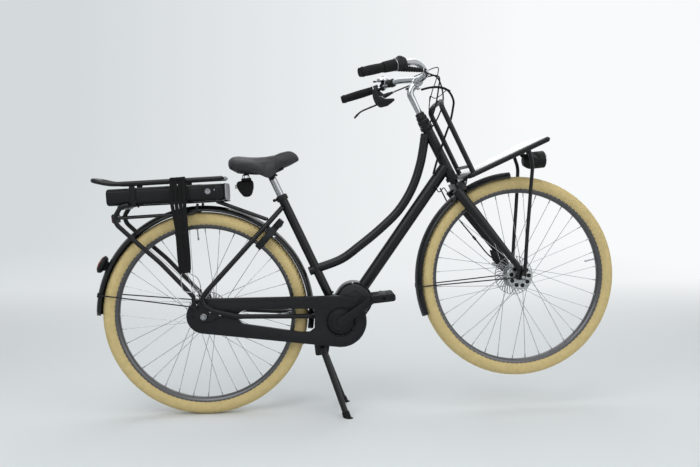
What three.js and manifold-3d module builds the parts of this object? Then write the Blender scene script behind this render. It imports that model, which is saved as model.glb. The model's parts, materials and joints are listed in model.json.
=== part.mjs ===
// A Dutch city bike with a mid motor, a front carrier and a battery under the rear deck,
// standing on its centre stand. Lengths are in millimetres, +Z is up, +X is forward and +Y is
// the rider's left. Inside the bike's own group the origin is the rear axle.
import * as THREE from "three";
import { mergeVertices } from "three/addons/utils/BufferGeometryUtils.js";
import Module from "manifold-3d";

const wasm = await Module();
wasm.setup();

const degree = Math.PI / 180;

// Stance: the stand lifts the front wheel, and the bar is turned a little to the left.
const pitch = 5.96 * degree;
const steerTurn = 3.5 * degree;
const headLean = 21.2 * degree;

// Clearances
const seatGap = 0.3;
const runGap = 0.6;
const overrun = 2;
const weld = 1e-4;

// Wheels
const wheelbase = 1130;
const tyreRadius = 361;
const tyreSection = 25;
const rimOuter = 317.5;
const rimHalfWidth = 16.5;
const rimDepth = 15.5;
const wheelSegments = 40;
const spokeRadius = 1.1;
const spokesPerFlange = 18;
const spokeLap = 44 * degree;
const spokeHubRadius = 44;
const spokeRimY = 4;
const spokeSplit = 1.3;
const spokeSeat = 0.6;
const valveLength = 38;
const valveRadius = 3;
const flangeRadius = 50;
const flangeOuterY = 31;
const flangeThickness = 3;
const hubBarrelRadius = 24;
const hubEndRadius = 12;
const hubEndY = 36;
const drumRadius = 33;
const axleRadius = 5;
const axleBoreRadius = axleRadius + seatGap;
const nutRadius = 9;
const nutLength = 8;
const discRadius = 72;
const discBoreRadius = 20;
const discThickness = 3;
const discHoleRadius = 6;
const discHoleCount = 8;

// Rear hub and drive line, as distances from the bike's middle plane
const rearDrumY = 42;
const rearDiscY = rearDrumY + seatGap;
const rearBrakeY = rearDiscY + discThickness + runGap;
const rearBrakeLength = 13;
const rearBrakeRadius = 36;
const dropoutInnerY = 66;
const dropoutThickness = 6;
const dropoutOuterY = dropoutInnerY + dropoutThickness;
const rearAxleY = 84;
const sprocketRadius = 38.4;
const sprocketTeeth = 19;
const chainringRadius = 76.8;
const chainringTeeth = 38;
const toothDepth = 4;
const sprocketInnerY = 52;
const sprocketThickness = 3;
const sleeveRadius = 16;
const chainHeight = 3;
const chainInnerY = 50.5;
const chainOuterY = 58;
const caseInnerY = 47;
const caseOuterY = 64;
const caseWall = 2;
const caseRearRadius = 61;
const caseFrontRadius = 91;
const caseHoleRadius = 50;
const caseAxleHoleRadius = 14;
const bossRadius = 5;
const coverDiscRadius = 46;
const coverDiscThickness = 3;
const spindleRadius = 9.5;
const crankLength = 170;
const crankInnerY = 72;
const crankThickness = 12;
const crankBigRadius = 16;
const crankSmallRadius = 12;
const crankAngle = 29 * degree;
const pedalLength = 80;
const pedalHeight = 26;
const pedalWidth = 92;
const pedalAxleRadius = 5;
const pedalGap = 8;

// Motor and its bracket
const motorRadius = 58;
const motorRearRadius = 55;
const motorHalfWidth = 42;
const bracketWall = 7.5;
const bracketHalfWidth = 30;

// Frame tubes
const topTubeRadius = 16;
const downTubeRadius = 21.5;
const headTubeRadius = 18.5;
const headBoreRadius = 15;
const seatTubeRadius = 16;
const seatBoreRadius = 14.3;
const seatBoreDepth = 210;
const stayRadius = 8.5;
const stayBend = 16;
const bridgeRadius = 8;
const stayAxleY = 73;
const stayFrontY = 38;
const stayBracketY = 29;
const stayBridgeY = 46;
const stayTopY = 19;
const headsetCupRadius = 23;
const headsetCupLength = 12;

// Stand
const standBlockHalfWidth = 15;
const standPinRadius = 7;
const standLegRadius = 10.5;
const standLegInnerY = 28;
const standFootY = 95;
const standFootRadius = 14;

// Fenders
const fenderOuterRadius = 384;
const frontFenderOuterRadius = 379;
const fenderHalfWidth = 28;
const fenderDepth = 18;
const fenderWall = 1.6;
const fenderWireRadius = 2.4;

// Fork and hub spacing at the front
const forkHubY = 50;
const forkTabThickness = 5;
const forkEndY = 58;
const forkTopY = 47.5;
const forkTopRadius = 15;
const forkEndRadius = 8;
const forkShoulderRadius = 17;
const crownDepth = 40;
const crownHeight = 34;
const crownHalfWidth = 58;
const steererRadius = 14.3;
const frontDrumY = 36;
const frontDiscY = frontDrumY + seatGap;
const frontBrakeY = frontDiscY + discThickness + runGap;
const frontBrakeLength = 8.5;
const frontBrakeRadius = 35;

// Rear carrier and battery
const deckTubeRadius = 8;
const deckHalfWidth = 60;
const deckBend = 32;
const carrierStrutY = 66;
const carrierRailRadius = 3.5;
const strutBend = 14;
const railBend = 10;
const forwardStayRadius = 5;
const crossBarRadius = 6;
const dockLength = 12;
const trayHalfWidth = 40;
const trayThickness = 5;
const strapWidth = 20;
const strapThickness = 3.5;
const batteryLength = 401;
const batteryHeight = 59;
const batteryHalfWidth = 56;
const batteryEdge = 14;
const batterySlope = 3.3 * degree;

// Ring lock round the rear tyre
const lockAngle = 42.4 * degree;
const lockThickness = 24;
const lockRadius = 52;
const lockHalfBand = 8.6;
const lockCentre = 342;
const lockBoltRadius = 3.8;
const lockMouth = 44 * degree;
const lockBoltSpan = 86 * degree;

// Saddle and post
const seatpostRadius = 13.5;
const railRadius = 3.5;

// Bar, stem and controls
const quillRadius = 11;
const barRadius = 11;
const gripRadius = 16;
const gripLength = 124;
const gripWall = 4;
const steerNutRadius = 21;

// Front carrier
const hoopRadius = 9;
const hoopHalfWidth = 88;
const trayFrontHalfWidth = 132;
const carrierStayRadius = 6.5;
const carrierStayY = 62;
const boardThickness = 5;

// Shape helpers
function solid(geometry) {
  const bare = geometry.index ? geometry.toNonIndexed() : geometry.clone();
  bare.deleteAttribute("normal");
  bare.deleteAttribute("uv");
  const merged = mergeVertices(bare, weld);
  return new wasm.Manifold(
    new wasm.Mesh({
      numProp: 3,
      vertProperties: merged.attributes.position.array,
      triVerts: new Uint32Array(merged.index.array),
    }),
  );
}

function join(...pieces) {
  return pieces.flat(Infinity).reduce((whole, piece) => whole.add(piece));
}

function cut(body, ...tools) {
  return tools.flat(Infinity).reduce((whole, tool) => whole.subtract(tool), body);
}

function look(colour, roughness, metalness = 0) {
  return new THREE.MeshStandardMaterial({ color: colour, roughness, metalness });
}

function node(group, name, body, material) {
  const made = body.getMesh();
  const geometry = new THREE.BufferGeometry();
  geometry.setAttribute("position", new THREE.BufferAttribute(made.vertProperties, 3));
  geometry.setIndex(new THREE.BufferAttribute(made.triVerts, 1));
  geometry.computeVertexNormals();
  const mesh = new THREE.Mesh(geometry, material);
  mesh.name = name;
  group.add(mesh);
  return mesh;
}

function vec(x, y, z) {
  return new THREE.Vector3(x, y, z);
}

// Places in the bike's middle plane are shares of the wheelbase.
function placed(shares, y = 0) {
  return shares.map(([x, z], i) => vec(x * wheelbase, Array.isArray(y) ? y[i] : y, z * wheelbase));
}

function spot([x, z], y = 0) {
  return vec(x * wheelbase, y, z * wheelbase);
}

// A path of straight runs with rounded bends, or a smooth curve, as stations for a sweep
class Route extends THREE.Curve {
  constructor(points, tangents, side) {
    super();
    this.points = points;
    this.tangents = tangents;
    this.side = side;
  }
  getPoint(t) {
    return this.points[Math.round(t * (this.points.length - 1))].clone();
  }
  getPointAt(u) {
    return this.getPoint(u);
  }
  getTangentAt(u) {
    return this.tangents[Math.round(u * (this.points.length - 1))].clone();
  }
  computeFrenetFrames() {
    const normals = [];
    const binormals = [];
    let across = this.side.clone();
    for (const tangent of this.tangents) {
      const normal = across.clone().addScaledVector(tangent, -across.dot(tangent)).normalize();
      normals.push(normal);
      binormals.push(vec(0, 0, 0).crossVectors(tangent, normal));
      across = normal;
    }
    return { tangents: this.tangents, normals, binormals };
  }
}

function routeOf(points, side) {
  const tangents = points.map((_, i) => {
    const before = points[Math.max(i - 1, 0)];
    const after = points[Math.min(i + 1, points.length - 1)];
    return after.clone().sub(before).normalize();
  });
  const first = tangents[0];
  const guess = side ?? (Math.abs(first.y) < 0.9 ? vec(0, 1, 0) : vec(1, 0, 0));
  return new Route(points, tangents, guess);
}

function rounded(corners, bend, turnsPerBend = 3) {
  const points = [corners[0]];
  for (let i = 1; i < corners.length - 1; i++) {
    const here = corners[i];
    const back = corners[i - 1].clone().sub(here);
    const on = corners[i + 1].clone().sub(here);
    const reach = Math.min(bend, back.length() * 0.45, on.length() * 0.45);
    const start = here.clone().addScaledVector(back.normalize(), reach);
    const end = here.clone().addScaledVector(on.normalize(), reach);
    const arc = new THREE.QuadraticBezierCurve3(start, here, end);
    for (let k = 0; k <= turnsPerBend; k++) points.push(arc.getPoint(k / turnsPerBend));
  }
  points.push(corners[corners.length - 1]);
  return points;
}

function smooth(corners, steps) {
  return new THREE.CatmullRomCurve3(corners, false, "centripetal").getSpacedPoints(steps);
}

function ringShape(radiusX, radiusY, sides) {
  const points = [];
  for (let i = 0; i < sides; i++) {
    const angle = ((i + 0.5) * 2 * Math.PI) / sides;
    points.push(new THREE.Vector2(radiusX * Math.cos(angle), radiusY * Math.sin(angle)));
  }
  return new THREE.Shape(points);
}

function sweep(shape, points, side) {
  const route = routeOf(points, side);
  const steps = points.length - 1;
  return solid(new THREE.ExtrudeGeometry(shape, { steps, extrudePath: route }));
}

function tube(points, radius, sides = 8) {
  return sweep(ringShape(radius, radius, sides), points);
}

function rod(from, to, radius, endRadius = radius, sides = 10) {
  const along = to.clone().sub(from);
  const geometry = new THREE.CylinderGeometry(endRadius, radius, along.length(), sides);
  const turn = new THREE.Quaternion().setFromUnitVectors(vec(0, 1, 0), along.clone().normalize());
  geometry.applyQuaternion(turn);
  geometry.translate(...from.clone().add(to).multiplyScalar(0.5).toArray());
  return solid(geometry);
}

function pinY(x, z, y0, y1, radius, sides = 12) {
  return rod(vec(x, Math.min(y0, y1), z), vec(x, Math.max(y0, y1), z), radius, radius, sides);
}

function box(x0, x1, y0, y1, z0, z1) {
  const geometry = new THREE.BoxGeometry(Math.abs(x1 - x0), Math.abs(y1 - y0), Math.abs(z1 - z0));
  geometry.translate((x0 + x1) / 2, (y0 + y1) / 2, (z0 + z1) / 2);
  return solid(geometry);
}

// A closed outline of radius and side distance turned about the Y axis
function turned(profile, segments) {
  let area = 0;
  profile.forEach(([r, y], i) => {
    const [nextR, nextY] = profile[(i + 1) % profile.length];
    area += r * nextY - nextR * y;
  });
  const points = (area > 0 ? profile : [...profile].reverse()).map(([r, y]) => new THREE.Vector2(r, y));
  points.push(points[0].clone());
  return solid(new THREE.LatheGeometry(points, segments));
}

// An outline of (x, z) points made into a plate from y0 to y1
function plate(outline, y0, y1, holes = []) {
  const shape = new THREE.Shape(outline.map(([x, z]) => new THREE.Vector2(x, z)));
  const thick = Math.abs(y1 - y0);
  const geometry = new THREE.ExtrudeGeometry(shape, { depth: thick, bevelEnabled: false });
  geometry.rotateX(Math.PI / 2);
  geometry.translate(0, Math.max(y0, y1), 0);
  const near = Math.min(y0, y1) - overrun;
  const far = Math.max(y0, y1) + overrun;
  return cut(solid(geometry), holes.map((hole) => plate(hole, near, far)));
}

function flat(shares) {
  return shares.map(([x, z]) => [x * wheelbase, z * wheelbase]);
}

function circle(x, z, radius, sides, start = 0) {
  const points = [];
  for (let i = 0; i < sides; i++) {
    const angle = start + (i * 2 * Math.PI) / sides;
    points.push([x + radius * Math.cos(angle), z + radius * Math.sin(angle)]);
  }
  return points;
}

// The outline of a belt round two circles
function belt([ax, az], ra, [bx, bz], rb, sides) {
  const lean = Math.atan2(bz - az, bx - ax);
  const open = Math.acos((ra - rb) / Math.hypot(bx - ax, bz - az));
  const points = [];
  for (let i = 0; i <= sides; i++) {
    const angle = lean + open + ((2 * Math.PI - 2 * open) * i) / sides;
    points.push([ax + ra * Math.cos(angle), az + ra * Math.sin(angle)]);
  }
  for (let i = 0; i <= sides; i++) {
    const angle = lean - open + (2 * open * i) / sides;
    points.push([bx + rb * Math.cos(angle), bz + rb * Math.sin(angle)]);
  }
  return points;
}

function mirrored(body) {
  return body.mirror([0, 1, 0]);
}

// Both sides of a piece modelled on the drive side
function pair(body) {
  return [body, mirrored(body)];
}

// Materials
const black = look(0x171719, 0.38, 0.3);
const satinBlack = look(0x2a2c2e, 0.45, 0.1);
const fenderBlack = look(0x1f2022, 0.3, 0.2);
const plastic = look(0x232426, 0.6);
const motorGrey = look(0x444647, 0.5, 0.3);
const rubber = look(0x1c1c1d, 0.85);
const cream = look(0xd6c58b, 0.8);
const steel = look(0xb8babb, 0.25, 0.9);
const castGrey = look(0xb1b4b4, 0.35, 0.8);
const chrome = look(0xd0d2d4, 0.12, 1);
const boardGrey = look(0xe3e7e9, 0.6);
const capGrey = look(0x6a6d70, 0.5, 0.2);
const redLens = look(0x8c1116, 0.2);
const clearLens = look(0xdfe6ea, 0.1);
const leatherBlack = look(0x3a3b3c, 0.6);
const webbing = look(0x2b2b2c, 0.9);

// Groups: the bike leans back on its stand, and the steering turns about the head axis.
const bike = new THREE.Group();
bike.position.z = tyreRadius;
bike.rotation.y = -pitch;

const headShares = [[0.8292, 0.3142]][0];
const headPoint = spot(headShares);
const headAxis = vec(-Math.sin(headLean), 0, Math.cos(headLean));

// A point on the steering axis at a height above the head point
function onHead(rise, ahead = 0, y = 0) {
  const forward = vec(Math.cos(headLean), 0, Math.sin(headLean));
  return headPoint.clone().addScaledVector(headAxis, rise).addScaledVector(forward, ahead).setY(y);
}

const steering = new THREE.Group();
steering.position.copy(headPoint);
steering.quaternion.setFromAxisAngle(headAxis, steerTurn);
const steered = new THREE.Group();
steered.position.copy(headPoint).negate();
steering.add(steered);
bike.add(steering);

// Wheels, turned about Y through the hub
const tyreOuterShares = [
  [-0.728, -0.685], [0.1, -1], [1, -0.42], [1, 0.42], [0.1, 1], [-0.728, 0.685],
];
const tyreInnerShares = [
  [-0.728, 0.46], [0.5, 0.6], [0.5, -0.6], [-0.728, -0.46],
];
const tyreCentre = tyreRadius - tyreSection;
const rimInner = rimOuter - rimDepth;
const spokeEnd = rimInner - seatGap - valveRadius / 4;

function tyre() {
  const profile = [...tyreOuterShares, ...tyreInnerShares].map(([outward, aside]) => [
    Math.max(tyreCentre + outward * tyreSection, rimOuter + seatGap),
    aside * tyreSection,
  ]);
  return turned(profile, wheelSegments);
}

function rim(valveAngle) {
  const w = rimHalfWidth;
  const bedShare = 0.4;
  const shoulder = rimOuter - rimDepth * bedShare;
  const profile = [
    [rimOuter, -w], [rimOuter, w], [shoulder, w],
    [rimInner, w * bedShare], [rimInner, -w * bedShare], [shoulder, -w],
  ];
  const outward = vec(Math.cos(valveAngle), 0, Math.sin(valveAngle));
  const foot = outward.clone().multiplyScalar(rimInner - valveLength);
  const root = outward.clone().multiplyScalar(rimInner + rimDepth / 2);
  return join(turned(profile, wheelSegments), rod(foot, root, valveRadius, valveRadius, 6));
}

function onWheel(radius, y, angle) {
  return vec(radius * Math.cos(angle), y, radius * Math.sin(angle));
}

// Spokes of one flange, hooked in from its outer and inner face by turns
function spokes(side, phase) {
  const made = [];
  for (let i = 0; i < spokesPerFlange; i++) {
    const angle = phase + (i * 2 * Math.PI) / spokesPerFlange;
    const lap = i % 2 ? spokeLap : -spokeLap;
    const hubY = i % 2 ? flangeOuterY + spokeSeat : flangeOuterY - flangeThickness - spokeSeat;
    const rimY = i % 2 ? spokeRimY + spokeSplit : spokeRimY - spokeSplit;
    const inner = onWheel(spokeHubRadius, side * hubY, angle + lap);
    const outer = onWheel(spokeEnd, side * rimY, angle);
    made.push(rod(inner, outer, spokeRadius, spokeRadius, 3));
  }
  return made;
}

function hub(drumY, leftDrumRadius, phase) {
  const inner = flangeOuterY - flangeThickness;
  const profile = [
    [axleBoreRadius, -hubEndY], [hubEndRadius, -hubEndY], [hubEndRadius, -flangeOuterY],
    [flangeRadius, -flangeOuterY], [flangeRadius, -inner], [hubBarrelRadius, -inner],
    [hubBarrelRadius, inner], [flangeRadius, inner], [flangeRadius, flangeOuterY],
    [leftDrumRadius, flangeOuterY], [leftDrumRadius, drumY], [axleBoreRadius, drumY],
  ];
  return join(turned(profile, 16), spokes(-1, phase), spokes(1, phase + Math.PI / spokesPerFlange));
}

function coolingDisc(innerY) {
  const holes = [circle(0, 0, discBoreRadius, 12)];
  for (let i = 0; i < discHoleCount; i++) {
    const angle = (i * 2 * Math.PI) / discHoleCount;
    const r = (discRadius + drumRadius) / 2;
    holes.push(circle(r * Math.cos(angle), r * Math.sin(angle), discHoleRadius, 5, angle));
  }
  return plate(circle(0, 0, discRadius, 24), innerY, innerY + discThickness, holes);
}

function wheel(name, turn, valveAngle, drumY, discY, phase) {
  const group = new THREE.Group();
  group.rotation.y = turn;
  node(group, name + "_tyre", tyre(), cream);
  node(group, name + "_rim", rim(valveAngle), black);
  node(group, name + "_hub", hub(drumY, drumRadius, phase), castGrey);
  node(group, name + "_cooling_disc", coolingDisc(discY), castGrey);
  return group;
}

bike.add(wheel("rear", pitch, 95 * degree, rearDrumY, rearDiscY, 0));
const frontWheel = wheel("front", 0, 5 * degree, frontDrumY, frontDiscY, 0);
frontWheel.position.x = wheelbase;
steered.add(frontWheel);

// Drive line
const crankShares = [[0.4168, -0.0673]][0];
const crankAt = spot(crankShares);

function toothed(teeth, radius, y0, y1, boreRadius) {
  const outline = [];
  for (let i = 0; i < teeth; i++) {
    const angle = (i * 2 * Math.PI) / teeth;
    const half = Math.PI / teeth / 2;
    outline.push([(radius - toothDepth) * Math.cos(angle - half), (radius - toothDepth) * Math.sin(angle - half)]);
    outline.push([radius * Math.cos(angle + half), radius * Math.sin(angle + half)]);
  }
  return plate(outline, y0, y1, [circle(0, 0, boreRadius, 12)]);
}

const sprocketOuterY = sprocketInnerY + sprocketThickness;
const sprocket = join(
  toothed(sprocketTeeth, sprocketRadius, -sprocketInnerY, -sprocketOuterY, axleBoreRadius),
  turned(
    [
      [axleBoreRadius, -hubEndY - seatGap], [axleBoreRadius, -sprocketInnerY - seatGap],
      [sleeveRadius, -sprocketInnerY - seatGap], [sleeveRadius, -hubEndY - seatGap],
    ],
    12,
  ),
);
node(bike, "rear_sprocket", sprocket, steel);

const crankGroup = new THREE.Group();
crankGroup.position.copy(crankAt);
crankGroup.rotation.y = -crankAngle;
bike.add(crankGroup);

const ringInnerY = sprocketInnerY + seatGap;
const ringOuterY = ringInnerY + sprocketThickness;
const discInnerY = ringOuterY + seatGap;
const chainring = toothed(chainringTeeth, chainringRadius, -ringInnerY, -ringOuterY, spindleRadius + runGap);
node(crankGroup, "chainring", chainring, steel);
const coverDisc = turned(
  [
    [spindleRadius * 0.5, -discInnerY], [coverDiscRadius, -discInnerY],
    [coverDiscRadius, -discInnerY - coverDiscThickness],
    [spindleRadius * 0.5, -crankInnerY - overrun / 2],
  ],
  24,
);

function crankArm(y0, y1, reach) {
  const sign = Math.sign(reach);
  const outline = belt([0, 0], crankBigRadius, [Math.abs(reach), 0], crankSmallRadius, 6);
  return plate(outline.map(([x, z]) => [x * sign, z * sign]), y0, y1);
}

const crankOuterY = crankInnerY + crankThickness;
const rightCrank = join(
  crankArm(-crankInnerY, -crankOuterY, crankLength),
  pinY(0, 0, -crankInnerY - overrun, crankInnerY - seatGap, spindleRadius, 14),
  coverDisc,
);
node(crankGroup, "crank_right", rightCrank, black);
const leftCrank = crankArm(crankInnerY, crankOuterY, -crankLength);
node(crankGroup, "crank_left", leftCrank, black);

function pedal(side) {
  const group = new THREE.Group();
  group.position.set(-side * crankLength, 0, 0);
  group.rotation.y = crankAngle;
  const y0 = side * (crankOuterY + seatGap);
  const y1 = side * (crankOuterY + pedalGap);
  const outlineShares = [
    [-0.5, -0.25], [-0.4, -0.5], [0.4, -0.5], [0.5, -0.25],
    [0.5, 0.25], [0.4, 0.5], [-0.4, 0.5], [-0.5, 0.25],
  ];
  const outline = outlineShares.map(([x, z]) => [x * pedalLength, z * pedalHeight]);
  const frontShares = [[-0.33, -0.27], [-0.11, -0.31], [-0.1, 0.29], [-0.31, 0.25]];
  const backShares = [[0.32, -0.24], [0.31, 0.26], [0.1, 0.32], [0.12, -0.28]];
  const front = frontShares.map(([x, z]) => [x * pedalLength, z * pedalHeight]);
  const back = backShares.map(([x, z]) => [x * pedalLength, z * pedalHeight]);
  const body = join(
    plate(outline, y1, y1 + side * pedalWidth, [front, back]),
    pinY(0, 0, y0, y1 + side * overrun, pedalAxleRadius, 8),
  );
  node(group, side < 0 ? "pedal_right" : "pedal_left", body, plastic);
  crankGroup.add(group);
}
pedal(-1);
pedal(1);

// The chain runs as one band round both sets of teeth.
const crankPlace = [crankAt.x, crankAt.z];
const origin = [0, 0];
const chainFit = runGap;
const chain = plate(
  belt(origin, sprocketRadius + chainFit + chainHeight, crankPlace, chainringRadius + chainFit + chainHeight, 14),
  -chainInnerY,
  -chainOuterY,
  [belt(origin, sprocketRadius + chainFit, crankPlace, chainringRadius + chainFit, 14)],
);
node(bike, "chain", chain, steel);

// Chain case: a shell open towards the wheel, with a slot for the stay and a hole for the crank
const slotShares = [[0.0965, -0.0106], [0.1204, 0.0053], [0.3407, -0.0168], [0.3319, -0.0894], [0.2929, -0.0867], [0.1115, -0.0372]];

function grown(outline, by) {
  const n = outline.length;
  let area = 0;
  outline.forEach(([x, z], i) => {
    const [nx, nz] = outline[(i + 1) % n];
    area += x * nz - nx * z;
  });
  const sign = Math.sign(area);
  return outline.map(([x, z], i) => {
    const [px, pz] = outline[(i + n - 1) % n];
    const [qx, qz] = outline[(i + 1) % n];
    const a = Math.hypot(x - px, z - pz);
    const b = Math.hypot(qx - x, qz - z);
    const nax = (sign * (z - pz)) / a;
    const naz = (-sign * (x - px)) / a;
    const nbx = (sign * (qz - z)) / b;
    const nbz = (-sign * (qx - x)) / b;
    const k = by / (1 + nax * nbx + naz * nbz);
    return [x + (nax + nbx) * k, z + (naz + nbz) * k];
  });
}

const slot = flat(slotShares);
const slotWall = grown(slot, caseWall);
const crankHole = circle(...crankPlace, caseHoleRadius, 20);
const axleHole = circle(0, 0, caseAxleHoleRadius, 12);
const caseOutline = belt(origin, caseRearRadius, crankPlace, caseFrontRadius, 16);
const caseInside = belt(origin, caseRearRadius - caseWall, crankPlace, caseFrontRadius - caseWall, 16);
const bossShares = [[-0.0195, 0.0301], [0.0071, -0.0115]];
const chainCase = join(
  plate(caseOutline, -caseOuterY + caseWall, -caseOuterY, [slot, crankHole, axleHole]),
  plate(caseOutline, -caseInnerY, -caseOuterY + caseWall, [caseInside]),
  plate(slotWall, -caseInnerY, -caseOuterY + caseWall, [slot]),
  flat(bossShares).map(([x, z]) =>
    pinY(x, z, -caseOuterY + caseWall, -dropoutInnerY + seatGap, bossRadius, 8),
  ),
);
node(bike, "chain_case", chainCase, satinBlack);

// Rear axle with its nuts, the fixed half of the rear brake and its arm
const rightSpacerY = sprocketOuterY + seatGap;
const leftSpacerY = rearBrakeY + rearBrakeLength + seatGap;
const rearAxle = join(
  pinY(0, 0, -rearAxleY, rearAxleY, axleRadius, 8),
  pinY(0, 0, -rightSpacerY, -dropoutInnerY + seatGap, nutRadius, 8),
  pinY(0, 0, leftSpacerY, dropoutInnerY - seatGap, nutRadius, 8),
  pinY(0, 0, -dropoutOuterY - seatGap, -dropoutOuterY - nutLength, nutRadius, 6),
  pinY(0, 0, dropoutOuterY + seatGap, dropoutOuterY + nutLength, nutRadius, 6),
);
node(bike, "rear_axle", rearAxle, steel);

const rearArmShares = [[0, 0], [0.0991, -0.0027]];
const rearArmOutline = belt(origin, axleBoreRadius + nutRadius, flat(rearArmShares)[1], nutRadius, 8);
const armOuterY = rearBrakeY + rearBrakeLength;
const rearBrake = cut(
  join(
    pinY(0, 0, rearBrakeY, armOuterY, rearBrakeRadius, 24),
    plate(rearArmOutline, armOuterY - strapThickness, armOuterY),
  ),
  pinY(0, 0, rearBrakeY - overrun, armOuterY + overrun, axleBoreRadius, 12),
);
node(bike, "rear_brake_unit", rearBrake, castGrey);

// Motor and frame
const motorShares = [[0.4664, -0.0106]][0];
const motorPlace = [motorShares[0] * wheelbase, motorShares[1] * wheelbase];
const spindleBore = pinY(...crankPlace, -motorHalfWidth - overrun, motorHalfWidth + overrun,
  spindleRadius + runGap, 14);
const motor = cut(
  plate(belt(crankPlace, motorRearRadius, motorPlace, motorRadius, 12), -motorHalfWidth, motorHalfWidth),
  spindleBore,
);
node(bike, "motor_unit", motor, motorGrey);

const bracketFit = seatGap;
const bracket = plate(
  belt(crankPlace, motorRearRadius + bracketWall, motorPlace, motorRadius + bracketWall, 12),
  -bracketHalfWidth,
  bracketHalfWidth,
  [belt(crankPlace, motorRearRadius + bracketFit, motorPlace, motorRadius + bracketFit, 12)],
);

const topTubeShares = [[0.3363, 0.0938], [0.3558, 0.0991], [0.4425, 0.1212], [0.5035, 0.1558], [0.5779, 0.2044], [0.6407, 0.2549], [0.6903, 0.3195], [0.7239, 0.392], [0.7442, 0.4619], [0.7496, 0.485]];
const downTubeShares = [[0.8035, 0.3761], [0.5009, 0.0265]];
const seatTubeShares = [[0.2748, 0.3434], [0.3973, -0.0106]];
const stayShares = [
  [0.2761, 0.3053], [0.2257, 0.2602], [0.0177, 0.0761], [0.0009, 0.0549], [0.008, 0.0327], [0.0301, 0.015], [0.1044, -0.0115], [0.3239, -0.0425], [0.3735, -0.0513]
];
const stayYs = [
  stayTopY, stayBridgeY, stayAxleY, stayAxleY, stayAxleY, stayAxleY, stayAxleY, stayFrontY, stayBracketY,
].map((y) => -y);
const dropoutShares = [[-0.0283, 0.0088], [-0.0265, 0.0442], [0.0088, 0.0442], [0.0531, 0.0088], [0.0531, -0.0044], [0.0177, -0.0159], [-0.0159, -0.0159]];
const bridgeShares = [[0.2319, 0.2681]][0];
const gussetShares = [[0.3434, -0.0549], [0.3646, -0.0549], [0.3788, -0.108], [0.3752, -0.1416], [0.3664, -0.1752], [0.3257, -0.1752], [0.3257, -0.1389]];
const standShares = [[0.3522, -0.1611]][0];
const standAt = spot(standShares);

const headTop = onHead(236);
const headBottom = onHead(19.5);
const seatTop = spot(seatTubeShares[0]);
const seatDown = spot(seatTubeShares[1]).sub(seatTop).normalize();
const stay = tube(rounded(placed(stayShares, stayYs), stayBend, 1), stayRadius, 6);
const frame = cut(
  join(
    tube(smooth(placed(topTubeShares), 12), topTubeRadius, 8),
    rod(spot(downTubeShares[1]), spot(downTubeShares[0]), downTubeRadius, downTubeRadius, 10),
    rod(headBottom, headTop, headTubeRadius, headTubeRadius, 12),
    rod(headBottom, onHead(19.5 + headsetCupLength), headsetCupRadius, headsetCupRadius, 12),
    rod(onHead(236 - headsetCupLength), headTop, headsetCupRadius, headsetCupRadius, 12),
    rod(spot(seatTubeShares[1]), seatTop, seatTubeRadius, seatTubeRadius, 12),
    bracket,
    pair(stay),
    pair(
      plate(flat(dropoutShares), -dropoutInnerY, -dropoutOuterY, [circle(0, 0, axleBoreRadius, 12)]),
    ),
    rod(spot(bridgeShares, -stayBridgeY), spot(bridgeShares, stayBridgeY), bridgeRadius),
    plate(flat(gussetShares), -standBlockHalfWidth, standBlockHalfWidth),
  ),
  plate(belt(crankPlace, motorRearRadius + bracketFit, motorPlace, motorRadius + bracketFit, 12),
    -motorHalfWidth - runGap, motorHalfWidth + runGap),
  rod(onHead(0), onHead(300), headBoreRadius, headBoreRadius, 12),
  rod(seatTop.clone().addScaledVector(seatDown, -overrun), seatTop.clone().addScaledVector(seatDown, seatBoreDepth),
    seatBoreRadius, seatBoreRadius, 12),
  pinY(standAt.x, standAt.z, -standBlockHalfWidth - overrun, standBlockHalfWidth + overrun,
    standPinRadius + seatGap, 12),
);
node(bike, "frame", frame, black);

// Fenders: a thin curved section swept round the wheel
function fenderShape() {
  const sides = 6;
  const points = [];
  for (let i = 0; i <= sides; i++) {
    const angle = (Math.PI * i) / sides;
    points.push(new THREE.Vector2(fenderHalfWidth * Math.cos(angle), fenderDepth * (Math.sin(angle) - 1)));
  }
  for (let i = sides; i >= 0; i--) {
    const angle = (Math.PI * i) / sides;
    const w = fenderHalfWidth - fenderWall;
    const lift = fenderDepth * (Math.sin(angle) - 1) - fenderWall * Math.sin(angle);
    points.push(new THREE.Vector2(w * Math.cos(angle), lift));
  }
  return new THREE.Shape(points);
}

function fender(centre, outerRadius, fromAngle, toAngle, steps) {
  const points = [];
  const tangents = [];
  for (let i = 0; i <= steps; i++) {
    const angle = fromAngle + ((toAngle - fromAngle) * i) / steps;
    points.push(centre.clone().add(onWheel(outerRadius, 0, angle)));
    tangents.push(vec(-Math.sin(angle), 0, Math.cos(angle)));
  }
  const route = new Route(points, tangents, vec(0, -1, 0));
  return solid(new THREE.ExtrudeGeometry(fenderShape(), { steps, extrudePath: route }));
}

// One wire on each side, from an eyelet at the hub end to the fender's edge
function wires(eye, eyeRadius, hem, seatY) {
  const inner = vec(hem.x, hem.y, hem.z);
  const wire = rod(eye, inner, fenderWireRadius, fenderWireRadius, 6);
  const ring = pinY(eye.x, eye.z, eye.y - fenderWireRadius, seatY, eyeRadius, 8);
  return pair(join(wire, ring));
}

const boltShares = [[-0.0186, 0.0327]][0];
const lugOuterY = dropoutOuterY + seatGap + strapThickness;
const wireEyeY = -lugOuterY - 2 * fenderWireRadius;
const hemAngle = 162.5 * degree;
const hemRadius = fenderOuterRadius - fenderDepth + fenderWall;
const rearFender = join(
  fender(vec(0, 0, 0), fenderOuterRadius, -15 * degree, 174 * degree, 23),
  wires(spot(boltShares, wireEyeY), bossRadius, onWheel(hemRadius, -fenderHalfWidth + fenderWall / 2, hemAngle),
    -lugOuterY - seatGap),
);
node(bike, "rear_fender", rearFender, fenderBlack);

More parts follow.
